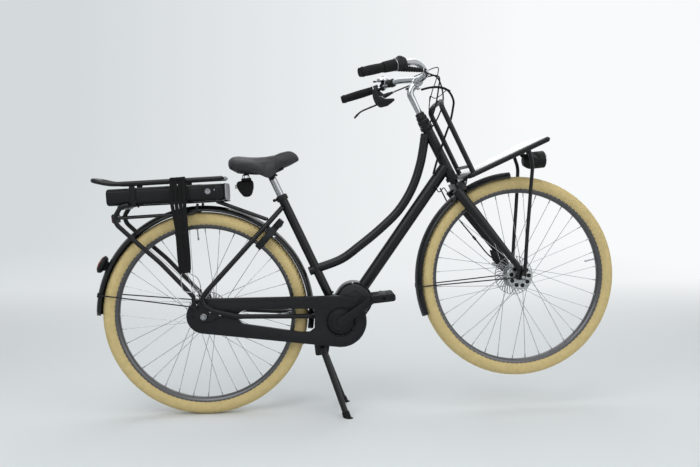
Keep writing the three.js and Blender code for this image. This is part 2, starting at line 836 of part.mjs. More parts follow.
const frontAxle = vec(wheelbase, 0, 0);
const frontHemRadius = frontFenderOuterRadius - fenderDepth + fenderWall;
const frontHem = onWheel(frontHemRadius, -fenderHalfWidth + fenderWall / 2, 178.5 * degree).add(frontAxle);
const frontEyeShares = [[0.9832, 0.0018]][0];
const forkTabOuterY = forkHubY + seatGap + forkTabThickness;
const frontFender = join(
  fender(frontAxle, frontFenderOuterRadius, 88.5 * degree, 195.4 * degree, 14),
  wires(spot(frontEyeShares, -forkTabOuterY - 2 * fenderWireRadius), bossRadius, frontHem, -forkTabOuterY - seatGap),
);
node(steered, "front_fender", frontFender, fenderBlack);

// Rear light on the fender
const lightAngle = 147.5 * degree;
const lightGroup = new THREE.Group();
lightGroup.position.copy(onWheel(fenderOuterRadius, 0, lightAngle));
lightGroup.rotation.y = Math.PI / 2 - lightAngle;
const lightRadius = 33;
const lightDepth = 22;
const lensDepth = 9;
const lightFoot = 7;
const lightWidthShare = 0.8;
function lightDisc(z0, z1, r0, r1) {
  const geometry = new THREE.CylinderGeometry(r1, r0, z1 - z0, 20);
  geometry.scale(1, 1, lightWidthShare);
  geometry.rotateX(Math.PI / 2);
  geometry.translate(0, 0, (z0 + z1) / 2);
  return solid(geometry);
}
const lightShrink = 0.85;
node(
  lightGroup,
  "rear_light",
  join(
    box(-fenderDepth, fenderDepth, -bossRadius, bossRadius, seatGap, lightFoot + overrun),
    lightDisc(lightFoot, lightDepth, lightRadius * lightShrink, lightRadius),
  ),
  plastic,
);
node(
  lightGroup,
  "rear_light_lens",
  lightDisc(lightDepth + seatGap, lightDepth + lensDepth, lightRadius * lightShrink,
    lightRadius * lightShrink * lightShrink),
  redLens,
);
bike.add(lightGroup);

// The battery's section
const batteryOutline = (halfWidth, height) => {
  const e = batteryEdge;
  return [
    [-halfWidth, e], [-halfWidth + e, 0], [halfWidth - e, 0], [halfWidth, e],
    [halfWidth, height - e], [halfWidth - e, height], [-halfWidth + e, height], [-halfWidth, height - e],
  ];
};
function alongX(outline, x0, x1) {
  const shape = new THREE.Shape(outline.map(([y, z]) => new THREE.Vector2(y, z)));
  const geometry = new THREE.ExtrudeGeometry(shape, { depth: x1 - x0, bevelEnabled: false });
  geometry.rotateX(Math.PI / 2);
  geometry.rotateZ(Math.PI / 2);
  geometry.translate(x0, 0, 0);
  return solid(geometry);
}

// Rear carrier: deck loop, tray, struts and stays
const deckShares = [[0.1071, 0.415], [-0.2301, 0.4327], [-0.285, 0.4513]];
const deckLoop = [
  spot(deckShares[0], -deckHalfWidth), spot(deckShares[1], -deckHalfWidth), spot(deckShares[2], -deckHalfWidth),
  spot(deckShares[2], deckHalfWidth), spot(deckShares[1], deckHalfWidth), spot(deckShares[0], deckHalfWidth),
];
const batteryFrontShares = [[0.1035, 0.3474]][0];
const batteryGroup = new THREE.Group();
batteryGroup.position.copy(spot(batteryFrontShares));
batteryGroup.rotation.y = batterySlope;
const deckEndShares = [[-0.2248, 0.4327]][0];
const crossShares = [[0.1071, 0.415], [-0.0673, 0.4243], [-0.1903, 0.4306]];
const strutShares = [[-0.1814, 0.3646], [-0.2053, 0.3628], [-0.2283, 0.3327], [-0.2248, 0.3097], [-0.1708, 0.2469], [-0.1115, 0.1814], [-0.023, 0.0637]];
const railShares = [[-0.2265, 0.3283], [0.0044, 0.3177], [0.0177, 0.3239], [0.0239, 0.346]];
const forwardShares = [[0.0779, 0.3451], [0.2243, 0.2726]];
const reflectorShares = [[-0.2319, 0.3292]][0];
const trayBarShares = [[-0.2018, 0.3575]][0];
const forwardY = 34;
const strutFoot = spot(strutShares[6], -carrierStrutY);
const lugTop = strutFoot.z + deckTubeRadius;
const lugBottom = boltShares[1] * wheelbase - bossRadius - overrun;
const lugHalf = deckTubeRadius * 0.9;
const strapPlaces = [-0.798, -0.359].map((share) => share * batteryLength);
const strapInnerY = batteryHalfWidth + runGap;
const trayTop = -seatGap;
const dock = alongX(batteryOutline(batteryHalfWidth, batteryHeight), seatGap, dockLength);
const trayPieces = join(
  box(-dockLength, dockLength, -trayHalfWidth, trayHalfWidth, trayTop - trayThickness, trayTop),
  box(-batteryLength * 0.92, -seatGap, -trayHalfWidth, trayHalfWidth, trayTop - trayThickness, trayTop),
  strapPlaces.map((x) => [
    box(x, x + strapWidth, -strapInnerY, strapInnerY, trayTop - trayThickness, trayTop),
    pair(
      box(x, x + strapWidth, -strapInnerY - strapThickness, -strapInnerY, trayTop - trayThickness,
        batteryHeight + 4 * strapThickness),
    ),
  ]).flat(),
);
const trayPlaced = trayPieces
  .rotate([0, batterySlope / degree, 0])
  .translate(batteryGroup.position.toArray());
const carrier = join(
  tube(rounded(deckLoop, deckBend, 3), deckTubeRadius, 8),
  crossShares.map((share) => rod(spot(share, -deckHalfWidth), spot(share, deckHalfWidth), deckTubeRadius * 0.7,
    deckTubeRadius * 0.7, 6)),
  trayPlaced,
  pair(tube(rounded(placed(strutShares, -carrierStrutY), strutBend, 1), deckTubeRadius, 8)),
  pair(box(strutFoot.x - lugHalf, strutFoot.x + lugHalf, -dropoutOuterY - seatGap, -lugOuterY, lugBottom, lugTop)),
  pair(tube(rounded(placed(railShares, -carrierStrutY + overrun), railBend, 1), carrierRailRadius, 6)),
  pair(rod(spot(forwardShares[0], -forwardY), spot(forwardShares[1], -forwardY), forwardStayRadius, forwardStayRadius, 6)),
  rod(spot(reflectorShares, -carrierStrutY), spot(reflectorShares, carrierStrutY), crossBarRadius, crossBarRadius, 6),
  rod(spot(trayBarShares, -carrierStrutY), spot(trayBarShares, carrierStrutY), crossBarRadius, crossBarRadius, 6),
);
node(bike, "rear_carrier", carrier, black);
node(
  bike,
  "rear_reflector",
  box(reflectorShares[0] * wheelbase - 5.6 - 8, reflectorShares[0] * wheelbase - 5.6, -45, 45,
    reflectorShares[1] * wheelbase - 16, reflectorShares[1] * wheelbase + 14),
  redLens,
);

node(batteryGroup, "battery", alongX(batteryOutline(batteryHalfWidth, batteryHeight), -batteryLength, 0), plastic);
node(batteryGroup, "battery_dock", dock, capGrey);
bike.add(batteryGroup);

// Ring lock: a band round the tyre with a curved bolt in its near limb
const lockGroup = new THREE.Group();
const lockOffset = 16;
const lockUp = vec(Math.cos(lockAngle), 0, Math.sin(lockAngle));
const lockOut = vec(-Math.sin(lockAngle), 0, Math.cos(lockAngle));
lockGroup.position.copy(lockUp).multiplyScalar(lockCentre).addScaledVector(lockOut, lockOffset);
lockGroup.rotation.y = Math.PI / 2 - lockAngle;
bike.add(lockGroup);

// A curved bar in the plane of Y and Z about the group's origin, from angle a to b from straight down
function arcBar(radius, halfBand, halfThick, a, b, steps) {
  const points = [];
  const tangents = [];
  for (let i = 0; i <= steps; i++) {
    const angle = a + ((b - a) * i) / steps;
    points.push(vec(0, radius * Math.sin(angle), -radius * Math.cos(angle)));
    tangents.push(vec(0, Math.cos(angle), Math.sin(angle)));
  }
  const h = halfBand;
  const t = halfThick;
  const shape = new THREE.Shape([[t, h], [-t, h], [-t, -h], [t, -h]].map(([x, y]) => new THREE.Vector2(x, y)));
  const route = new Route(points, tangents, vec(1, 0, 0));
  return solid(new THREE.ExtrudeGeometry(shape, { steps, extrudePath: route }));
}

const lockHalf = lockThickness / 2;
const lockTopZ = 427 - lockCentre;
const lockHousingY = 27;
const channelFit = lockBoltRadius + runGap;
const openFrom = -lockMouth - lockBoltSpan;
const knobAngle = -118 * degree;
const lockBody = cut(
  join(
    arcBar(lockRadius, lockHalfBand, lockHalf, lockMouth, 2 * Math.PI - lockMouth, 22),
    box(-lockHalf, lockHalf, -lockHousingY, lockHousingY, lockRadius - runGap, lockTopZ),
    pair(box(-lockHalf - 8, -lockHalf + overrun, -51, -41, 22, 34)),
  ),
  arcBar(lockRadius, channelFit, channelFit, openFrom - 4 * degree, -lockMouth + 8 * degree, 12),
  arcBar(lockRadius, channelFit, channelFit, lockMouth - 4 * degree, lockMouth + 5 * degree, 2),
  arcBar(lockRadius, lockBoltRadius, lockHalf, openFrom - 2 * degree, -lockMouth + 8 * degree, 12)
    .translate([lockHalf, 0, 0]),
);
node(lockGroup, "ring_lock", lockBody, satinBlack);
const knobAt = vec(0, lockRadius * Math.sin(knobAngle), -lockRadius * Math.cos(knobAngle));
const knobEnd = knobAt.clone().setX(lockHalf + 9);
const lockBolt = join(
  arcBar(lockRadius, lockBoltRadius, lockBoltRadius, openFrom, -lockMouth, 10),
  rod(knobAt, knobEnd, lockBoltRadius * 0.8, lockBoltRadius * 0.8, 6),
);
node(lockGroup, "lock_bolt", lockBolt, steel);

// Luggage strap over the near deck tube, and the hook that it ends in
const strapShares = [[-0.0522, 0.4327], [0.0009, 0.4327], [-0.0018, 0.4159], [-0.0142, 0.3319], [-0.031, 0.2637], [-0.0177, 0.1885], [-0.0221, 0.146], [-0.0035, 0.1327], [0.0035, 0.085], [-0.0177, 0.0796], [-0.0531, 0.0814], [-0.0566, 0.1327], [-0.0602, 0.146], [-0.0584, 0.1885], [-0.0611, 0.2637], [-0.0673, 0.3319], [-0.0549, 0.4159]];
const strapNearY = deckHalfWidth + deckTubeRadius + 8;
const strapFarY = strapNearY - 2.5;
const deckSlope = 0.0525;
const deckAt = (x) => deckShares[0][1] * wheelbase + (deckShares[0][0] * wheelbase - x) * deckSlope;
const bundleRadius = deckTubeRadius + seatGap;
const strapTop = strapShares[0][1] * wheelbase;
const strap = join(
  plate(flat(strapShares), -strapNearY, -strapFarY),
  cut(
    box(-58, 0, -strapNearY, -deckHalfWidth + deckTubeRadius + 4, deckAt(-29) + 2, strapTop),
    rod(vec(-70, -deckHalfWidth, deckAt(-70)), vec(10, -deckHalfWidth, deckAt(10)), bundleRadius, bundleRadius, 12),
  ),
);
node(bike, "luggage_strap", strap, webbing);

// Seat post, saddle with its rails, and the bag under it
const seatUp = seatDown.clone().negate();
const postTop = seatTop.clone().addScaledVector(seatUp, 72);
const saddleGroup = new THREE.Group();
bike.add(saddleGroup);
const postFoot = seatTop.clone().addScaledVector(seatDown, 150);
const clampAt = postTop.clone();
node(
  saddleGroup,
  "seat_post",
  join(
    rod(postFoot, postTop, seatpostRadius, seatpostRadius, 14),
    pinY(clampAt.x, clampAt.z, -27, 27, 12, 14),
  ),
  steel,
);
const clampCollar = cut(
  rod(seatTop.clone().addScaledVector(seatDown, 22), seatTop.clone().addScaledVector(seatDown, 2),
    seatTubeRadius + 5, seatTubeRadius + 5, 12),
  rod(seatTop.clone().addScaledVector(seatDown, 40), seatTop.clone().addScaledVector(seatUp, 40),
    seatTubeRadius + 0.9, seatTubeRadius + 0.9, 12),
);
const clampLug = pinY(clampLugAt().x, clampLugAt().z, -14, 14, 7, 10);
function clampLugAt() {
  return seatTop.clone().addScaledVector(seatDown, 12).add(vec(-seatTubeRadius - 12, 0, -5));
}
const clampRod = rod(seatTop.clone().addScaledVector(seatDown, 12), clampLugAt(), 5, 5, 8);
node(
  bike,
  "seat_clamp",
  join(
    cut(join(clampCollar, clampRod), rod(seatTop.clone().addScaledVector(seatDown, 60),
      seatTop.clone().addScaledVector(seatUp, 40), seatTubeRadius + 0.9, seatTubeRadius + 0.9, 12)),
    clampLug,
  ),
  steel,
);

// Saddle sections: place, width, top and underside
const saddleLength = 251;
const saddleHalfWidth = 98;
const saddleHeight = 60;
const saddleBaseShares = [[0.1248, 0.4248]][0];
const saddleShares = [
  [0, 0.45, 0.53, 0.3, 0], [0.04, 0.8, 0.87, 0.22, 0], [0.1, 0.95, 0.95, 0.15, 0.01], [0.2, 1, 0.88, 0.08, 0.03],
  [0.3, 0.93, 0.8, 0.03, 0.1], [0.42, 0.72, 0.74, 0, 0.27], [0.5, 0.56, 0.73, 0, 0.44], [0.55, 0.48, 0.73, 0, 0.47],
  [0.66, 0.34, 0.8, 0.02, 0.24], [0.76, 0.28, 0.95, 0.08, 0.05], [0.87, 0.24, 1, 0.2, 0.04],
  [0.95, 0.19, 0.85, 0.32, 0], [1, 0.1, 0.6, 0.42, 0],
];

// Rings of points along X, joined into a closed skin
function loft(rings) {
  const n = rings[0].length;
  const position = rings.flat().flatMap((p) => p.toArray());
  const index = [];
  for (let i = 0; i + 1 < rings.length; i++) {
    for (let k = 0; k < n; k++) {
      const a = i * n + k;
      const b = i * n + ((k + 1) % n);
      index.push(a, b, b + n, a, b + n, a + n);
    }
  }
  const last = (rings.length - 1) * n;
  for (let k = 1; k + 1 < n; k++) {
    index.push(0, k + 1, k);
    index.push(last, last + k, last + k + 1);
  }
  const geometry = new THREE.BufferGeometry();
  geometry.setAttribute("position", new THREE.Float32BufferAttribute(position, 3));
  geometry.setIndex(index);
  const made = solid(geometry);
  return made;
}

const saddleSides = 18;
const beltShare = 0.42;
const drawnInShare = 0.28;
const skirtWall = 2.5;
const base = spot(saddleBaseShares);
// The ring of a section: the crown, the sides, and below the belt the two edges of the skirt with the pan between them
const saddleRings = saddleShares.map(([along, wide, top, under, skirt]) => {
  const ring = [];
  const low = base.z + under * saddleHeight;
  const high = base.z + top * saddleHeight;
  const belt = low + (high - low) * beltShare;
  const hem = low - skirt * saddleHeight;
  const half = wide * saddleHalfWidth;
  const hemShare = 1 - drawnInShare * 0.4;
  for (let k = 0; k < saddleSides; k++) {
    const angle = (k * 2 * Math.PI) / saddleSides;
    const c = Math.cos(angle);
    const s = Math.sin(angle);
    const x = base.x + along * saddleLength;
    if (s >= -weld) ring.push(vec(x, half * Math.sign(c) * Math.pow(Math.abs(c), 0.8), belt + (high - belt) * Math.pow(Math.max(s, 0), 0.9)));
    else if (Math.abs(c) > 0.9) ring.push(vec(x, Math.sign(c) * half * 0.97, belt + (hem - belt) * 0.45));
    else if (Math.abs(c) > 0.7) ring.push(vec(x, Math.sign(c) * half * hemShare, hem));
    else if (Math.abs(c) > 0.4) ring.push(vec(x, Math.sign(c) * (half * hemShare - Math.min(skirtWall, half * 0.3)), low));
    else ring.push(vec(x, half * c, low));
  }
  return ring;
});
node(saddleGroup, "saddle", loft(saddleRings), leatherBlack);
const railShares2 = [[0.1522, 0.4283], [0.2088, 0.4177], [0.27, 0.4177], [0.291, 0.4249]];
const railYs = [36, 22, 22, 10];
const rail = tube(rounded(placed(railShares2, railYs.map((y) => -y)), 14, 2), railRadius, 6);
node(
  saddleGroup,
  "saddle_rails",
  join(pair(rail), rod(spot(railShares2[0], -36), spot(railShares2[0], 36), railRadius, railRadius, 6),
    rod(spot(railShares2[3], -10), spot(railShares2[3], 10), railRadius, railRadius, 6)),
  steel,
);
const bagShares = [[0.1363, 0.4], [0.1434, 0.408], [0.1912, 0.408], [0.1965, 0.4], [0.1965, 0.3805], [0.1761, 0.3442], [0.1558, 0.3442]];
const neckShares = [[0.1664, 0.4062], [0.1823, 0.4062], [0.1823, 0.4188], [0.1664, 0.4212]];
node(
  saddleGroup,
  "saddle_bag",
  join(plate(flat(bagShares), -30, 30), plate(flat(neckShares), -38, 38)),
  webbing,
);

// Fork, with its crown, blades and hub tabs
const forkTopShares = [[0.8204, 0.2982]][0];
const forkEndShares = [[0.9947, 0.0274]][0];
const shoulderShares = [[0.8133, 0.3212], [0.8451, 0.2637]];
const tabShares = [[0.9885, 0.0372], [1.0018, 0.0319], [1.0106, 0.0044], [1.0071, -0.008], [0.9823, -0.0062], [0.9761, 0.0035], [0.9841, 0.0177]];
const crownRise = 10 / Math.cos(headLean);
const crownTop = onHead(8);
const forkPiece = join(
  rod(onHead(-18), onHead(236 + 16), steererRadius, steererRadius, 14),
  pair(rod(spot(forkTopShares, -forkTopY), spot(forkEndShares, -forkEndY), forkTopRadius, forkEndRadius, 12)),
  pair(rod(spot(shoulderShares[0], -forkTopY), spot(shoulderShares[1], -forkTopY), forkShoulderRadius,
    forkTopRadius, 12)),
);
const crownBox = new THREE.BoxGeometry(crownDepth, 2 * crownHalfWidth, crownHeight);
crownBox.rotateY(-headLean);
const crownCentre = onHead(8 - crownHeight / 2, 4);
crownBox.translate(...crownCentre.toArray());
const crown = cut(solid(crownBox), pinY(wheelbase, 0, -crownHalfWidth - overrun, crownHalfWidth + overrun,
  frontFenderOuterRadius + runGap, 96));
const tabs = pair(
  cut(
    plate(flat(tabShares), -forkHubY - seatGap, -forkTabOuterY),
    pinY(wheelbase, 0, -forkHubY + overrun, -forkTabOuterY - overrun, axleBoreRadius, 12),
  ),
);
node(steered, "fork", join(forkPiece, crown, tabs), black);

const frontNutY = forkTabOuterY + seatGap;
const carrierEyeY = frontNutY + nutLength + seatGap;
const frontAxleY = carrierEyeY + strapThickness + 4;
const frontAxleBody = join(
  pinY(wheelbase, 0, -frontAxleY, frontAxleY, axleRadius, 10),
  pinY(wheelbase, 0, -hubEndY - seatGap, -forkHubY, nutRadius, 12),
  pinY(wheelbase, 0, -frontNutY, -frontNutY - nutLength, nutRadius, 6),
  pinY(wheelbase, 0, frontNutY, frontNutY + nutLength, nutRadius, 6),
);
node(steered, "front_axle", frontAxleBody, steel);
const armShares = [[0.9398, 0.046], [0.9451, 0.0389], [0.9788, 0.0354], [0.9752, 0.0584], [0.954, 0.0885], [0.9416, 0.0867]];
const frontBrake = cut(
  join(
    pinY(wheelbase, 0, frontBrakeY, frontBrakeY + frontBrakeLength, frontBrakeRadius, 24),
    plate(flat([[0.9788, 0.0088], [0.9912, 0.0195], [0.977, 0.0619], [0.9487, 0.0531]]), frontBrakeY + strapThickness / 2,
      frontBrakeY + 1.5 * strapThickness),
  ),
  pinY(wheelbase, 0, frontBrakeY - overrun, frontBrakeY + 2 * frontBrakeLength, axleBoreRadius, 12),
);
node(steered, "front_brake_unit", frontBrake, castGrey);

const lockNutTop = 288;
const nutFoot = onHead(236 + seatGap);
const nutTop = onHead(lockNutTop);
const lockNut = cut(
  rod(nutFoot, nutTop, steerNutRadius, steerNutRadius, 8),
  rod(onHead(230), onHead(236 + 16.5), steererRadius + runGap, steererRadius + runGap, 12),
  rod(onHead(236 + 10), onHead(lockNutTop + overrun), quillRadius + 2 * runGap, quillRadius + 2 * runGap, 12),
);
node(steered, "headset_nut", lockNut, black);

// The bar runs from the clamp out, up and back to the grips.
const barShares = [[0.7416, 0.6478], [0.7416, 0.6478], [0.7628, 0.6619], [0.7363, 0.6761], [0.708, 0.6832], [0.6655, 0.6743], [0.5283, 0.6518]];
const barYs = [0, 26, 60, 130, 178, 232, 278.6];
const barBend = 24;
function barSide(sign) {
  return rounded(placed(barShares, barYs.map((y) => sign * y)), barBend, 1);
}
const barPoints = [...barSide(-1).reverse(), ...barSide(1).slice(1)];
node(steered, "handlebar", tube(barPoints, barRadius, 8), chrome);

function barAlong(sign, from, to, steps) {
  const fine = new THREE.CurvePath();
  const corners = barSide(sign);
  for (let i = 1; i < corners.length; i++) fine.add(new THREE.LineCurve3(corners[i - 1], corners[i]));
  const whole = fine.getLength();
  const points = [];
  for (let k = 0; k <= steps; k++) points.push(fine.getPoint(1 - (from + ((to - from) * k) / steps) / whole));
  return points;
}

const boreSides = 8;
const barSpace = tube(barPoints, barRadius + seatGap / Math.cos(Math.PI / boreSides), boreSides);

// Stem
const quillShares = [[0.7133, 0.6204], [0.7354, 0.5531]];
const clampBarShares = [[0.7416, 0.6478]][0];
const steerTop = onHead(236 + 16);
const quillFoot = onHead(236 + 16 + seatGap);
const quillBend = onHead(371, 2);
const clampCentre = spot(clampBarShares);
const clampRadius = 17;
const clampHalfWidth = 22;
const quill = join(
  rod(quillFoot, quillBend, quillRadius, quillRadius, 12),
  rod(quillBend, clampCentre, quillRadius * 1.2, quillRadius * 1.2, 10),
  pinY(clampCentre.x, clampCentre.z, -clampHalfWidth, clampHalfWidth, clampRadius, 16),
);
node(
  steered,
  "quill_stem",
  cut(quill, barSpace),
  chrome,
);
function sleeve(sign, from, to, outer, steps, sides = 12) {
  return tube(barAlong(sign, from, to, steps), outer, sides);
}

node(steered, "grip_left", cut(sleeve(1, 4, 4 + gripLength, gripRadius, 3), barSpace), rubber);
node(steered, "grip_right", cut(sleeve(-1, 4, 4 + gripLength * 0.62, gripRadius, 1), barSpace), rubber);
const shiftFrom = 4 + gripLength * 0.62 + runGap;
const shiftEnds = barAlong(-1, shiftFrom, shiftFrom + 44, 1);
const shiftAxis = shiftEnds[1].clone().sub(shiftEnds[0]).normalize();
const shiftCentre = shiftEnds[0].clone().add(shiftEnds[1]).multiplyScalar(0.5);
const shiftGroup = new THREE.Group();
shiftGroup.position.copy(shiftCentre);
shiftGroup.quaternion.setFromUnitVectors(vec(0, 1, 0), shiftAxis);
steered.add(shiftGroup);
const shiftHalf = 21.5;
const shiftBore = barRadius + 1;
node(
  shiftGroup,
  "shift_grip",
  turned([[shiftBore, -shiftHalf], [gripRadius + 1, -shiftHalf], [gripRadius + 3, shiftHalf], [shiftBore, shiftHalf]], 14),
  rubber,
);
const housingFrom = shiftFrom + 44 + runGap;
const housingAt = barAlong(-1, housingFrom + 12, housingFrom + 20, 1)[0];
const bootShares = [[0.7186, 0.6531]][0];
const bootY = -204;
const bootRoot = housingAt.clone().add(vec(4, 4, -12));
const housing = cut(
  join(
    sleeve(-1, housingFrom, housingFrom + 26, gripRadius + 5, 2, 12),
    rod(bootRoot, spot(bootShares, bootY), 9, 6, 8),
    rod(housingAt.clone().add(vec(2, 0, 4)), housingAt.clone().add(vec(16, 0, 24)), 14, 13, 10),
  ),
  barSpace,
);
node(steered, "shifter_housing", housing, plastic);

// Left controls: lever bracket, lever, bell and the assist switch
const leverFrom = 4 + gripLength + 3;
const bracketAt = barAlong(1, leverFrom + 9, leverFrom + 10, 1)[0];
const leverPivotShares = [[0.6584, 0.6389]][0];
const leverPivotY = 214;
const leverPivot = spot(leverPivotShares, leverPivotY);
const leverHub = 6;
const leverMid = leverPivot.clone().add(vec(6, -6, 2));
const leverEnd = leverPivot.clone().add(vec(40, -20, 12));
const bracketPiece = cut(
  join(
    sleeve(1, leverFrom, leverFrom + 18, barRadius + 5.5, 1, 10),
    rod(bracketAt.clone().add(vec(4, 0, -12)), leverMid, 9, 7, 8),
    rod(leverMid, leverEnd, 7, 5, 8),
  ),
  barSpace,
  pinY(leverPivot.x, leverPivot.z, leverPivotY - 9, leverPivotY + 40, leverHub + runGap, 12),
);
node(steered, "lever_bracket", bracketPiece, black);
const leverGroup = new THREE.Group();
leverGroup.position.copy(leverPivot);
steered.add(leverGroup);
const leverShares = [[0.6584, 0.6389], [0.6442, 0.6186], [0.623, 0.6133], [0.5832, 0.6018], [0.5628, 0.5841]];
const leverYs = [220, 234, 242, 250, 256];
const blade = tube(
  rounded(placed(leverShares, leverYs).map((p) => p.clone().sub(leverPivot)), 16, 1),
  4.5,
  6,
);
node(leverGroup, "brake_lever", join(blade, pinY(0, 0, -8.4, 9, leverHub, 10)), steel);

const bellFrom = leverFrom + 18 + 11;
const bellAt = barAlong(1, bellFrom + 6, bellFrom + 7, 1)[0];
const bellUp = vec(0.1, -0.1, 1).normalize();
const bellBase = bellAt.clone().addScaledVector(bellUp, barRadius + 7);
const domeRadius = 24;
function bellRod(z0, z1, r0, r1, sides = 16) {
  return rod(bellBase.clone().addScaledVector(bellUp, z0), bellBase.clone().addScaledVector(bellUp, z1), r0, r1, sides);
}
const bell = cut(
  join(
    sleeve(1, bellFrom, bellFrom + 12, barRadius + 3.5, 1, 10),
    bellRod(-8, 6, 7, 7, 8),
    bellRod(5, 9, domeRadius, domeRadius),
    bellRod(9, 17, domeRadius, domeRadius * 0.78),
    bellRod(17, 22, domeRadius * 0.78, domeRadius * 0.36),
  ),
  barSpace,
);
node(steered, "bell", bell, chrome);
const thumbGroup = new THREE.Group();
thumbGroup.position.copy(bellBase.clone().addScaledVector(bellUp, 2.4));
thumbGroup.quaternion.setFromUnitVectors(vec(0, 0, 1), bellUp);
steered.add(thumbGroup);
const thumbPlate = cut(
  join(
    rod(vec(0, 0, -1.8), vec(0, 0, 1.8), 11.5, 11.5, 14),
    box(-30, -6, -3, 3, -1.8, 1.8),
    rod(vec(-31, 0, -3), vec(-31, 0, 3), 6, 6, 8),
  ),
  rod(vec(0, 0, -9), vec(0, 0, 9), 7 + runGap, 7 + runGap, 12),
);
node(thumbGroup, "bell_lever", thumbPlate, plastic);

const assistFrom = bellFrom + 46;
const assistAt = barAlong(1, assistFrom + 8, assistFrom + 9, 1)[0];
const assist = cut(
  join(
    sleeve(1, assistFrom, assistFrom + 16, barRadius + 5, 1, 10),
    rod(assistAt.clone().add(vec(-6, 0, 4)), assistAt.clone().add(vec(-22, 0, -6)), 15, 15, 12),
  ),
  barSpace,
);
node(steered, "assist_switch", assist, plastic);

// Front carrier: hoop in front of the head, trapezoid tray and stays to the hub
const hoopShares = [[0.8717, 0.3372], [0.7903, 0.5602], [0.8009, 0.5761]];
const hoopPath = [
  spot(hoopShares[0], -hoopHalfWidth), spot(hoopShares[1], -hoopHalfWidth), spot(hoopShares[2], -hoopHalfWidth + 34),
  spot(hoopShares[2], hoopHalfWidth - 34), spot(hoopShares[1], hoopHalfWidth), spot(hoopShares[0], hoopHalfWidth),
];
const hoopBarShares = [[0.8619, 0.3664]][0];
const traySideShares = [[0.8602, 0.3363], [1.1027, 0.4212]];
const carrierStayShares = [[1.0531, 0.4027], [1.0637, 0.3478], [1.0541, 0.2916], [1.041, 0.216], [1.026, 0.1356],
  [1.0097, 0.0389], [1.0053, 0.0177]];
const stayYsFront = [-84, -76, -71, -69, -68, -67, -66];
const carrierEyeShares = [[1, 0], [1.0053, 0.0177]];
const crownPlateShares = [[0.8486, 0.324], [0.8541, 0.3098], [0.8602, 0.3097], [0.8664, 0.331], [0.8549, 0.3336]];
const trayRear = spot(traySideShares[0]);
const trayFront = spot(traySideShares[1]);
const trayAcross = (share) => hoopHalfWidth + (trayFrontHalfWidth - hoopHalfWidth) * share;
const trayPoint = (share, side) => trayRear.clone().lerp(trayFront, share).setY(side * trayAcross(share));
const headlightShares = [[1.0867, 0.3646]][0];
const headlightPlace = spot(headlightShares);
const frontCarrier = join(
  tube(rounded(hoopPath, 30, 2), hoopRadius, 8),
  rod(spot(hoopBarShares, -hoopHalfWidth), spot(hoopBarShares, hoopHalfWidth), crossBarRadius, crossBarRadius, 8),
  pair(rod(trayPoint(0, -1), trayPoint(1, -1), hoopRadius, hoopRadius, 8)),
  rod(trayPoint(0, -1), trayPoint(0, 1), hoopRadius, hoopRadius, 8),
  rod(trayPoint(0.8, -1), trayPoint(0.8, 1), crossBarRadius, crossBarRadius, 6),
  rod(trayPoint(1, -1), trayPoint(1, 1), crossBarRadius, crossBarRadius, 6),
  pair(tube(rounded(placed(carrierStayShares, stayYsFront), 18, 1), carrierStayRadius, 8)),
  pair(
    plate(belt(flat(carrierEyeShares)[0], 10, flat(carrierEyeShares)[1], 8, 5), -carrierEyeY,
      -carrierEyeY - strapThickness, [circle(wheelbase, 0, axleBoreRadius, 10)]),
  ),
  plate(flat(crownPlateShares), -22, 22),
);
const cheekShares = [[1.0788, 0.3575], [1.0947, 0.3575], [1.0947, 0.3717], [1.0619, 0.4088], [1.0496, 0.4035], [1.0726, 0.3699]];
const cheekOuterY = 40;
const cheekInnerY = 34;
const cheeks = pair(
  cut(
    plate(flat(cheekShares), -cheekInnerY, -cheekOuterY),
    pinY(headlightPlace.x, headlightPlace.z, -cheekInnerY + overrun, -cheekOuterY - overrun, 5 + runGap, 10),
  ),
);
node(steered, "front_carrier", join(frontCarrier, cheeks), black);

const boardRaise = crossBarRadius + seatGap;
const trayLean = Math.atan2(trayFront.z - trayRear.z, trayFront.x - trayRear.x);
const trayReach = trayRear.distanceTo(trayFront);
const boardGroup = new THREE.Group();
boardGroup.position.copy(trayRear);
boardGroup.rotation.y = -trayLean;
steered.add(boardGroup);
const boardRear = hoopRadius + seatGap;
const boardFront = trayReach + crossBarRadius;
const boardRearHalf = hoopHalfWidth - hoopRadius - seatGap;
const boardHalf = (x) => trayAcross(x / trayReach) - hoopRadius - seatGap;
const boardShape = new THREE.Shape(
  [
    [boardRear, -boardRearHalf], [boardRear + 2 * hoopRadius, -boardRearHalf], [boardFront, -boardHalf(boardFront)],
    [boardFront, boardHalf(boardFront)], [boardRear + 2 * hoopRadius, boardRearHalf], [boardRear, boardRearHalf],
  ].map(([x, y]) => new THREE.Vector2(x, y)),
);
const boardGeometry = new THREE.ExtrudeGeometry(boardShape, { depth: boardThickness, bevelEnabled: false });
boardGeometry.translate(0, 0, boardRaise);
node(boardGroup, "carrier_board", solid(boardGeometry), boardGrey);

// Headlight under the tray, tilting in its bracket
const headlightGroup = new THREE.Group();
headlightGroup.position.copy(headlightPlace);
steered.add(headlightGroup);
function lampRod(x0, x1, r0, r1) {
  return rod(vec(x0, 0, 0), vec(x1, 0, 0), r0, r1, 16);
}
node(
  headlightGroup,
  "headlight",
  join(lampRod(-33, -12, 18, 30), lampRod(-12.5, 44, 30, 31), pinY(0, 0, -41, 41, 5, 8)),
  plastic,
);
node(headlightGroup, "headlight_lens", lampRod(44 + seatGap, 54, 29, 23), clearLens);

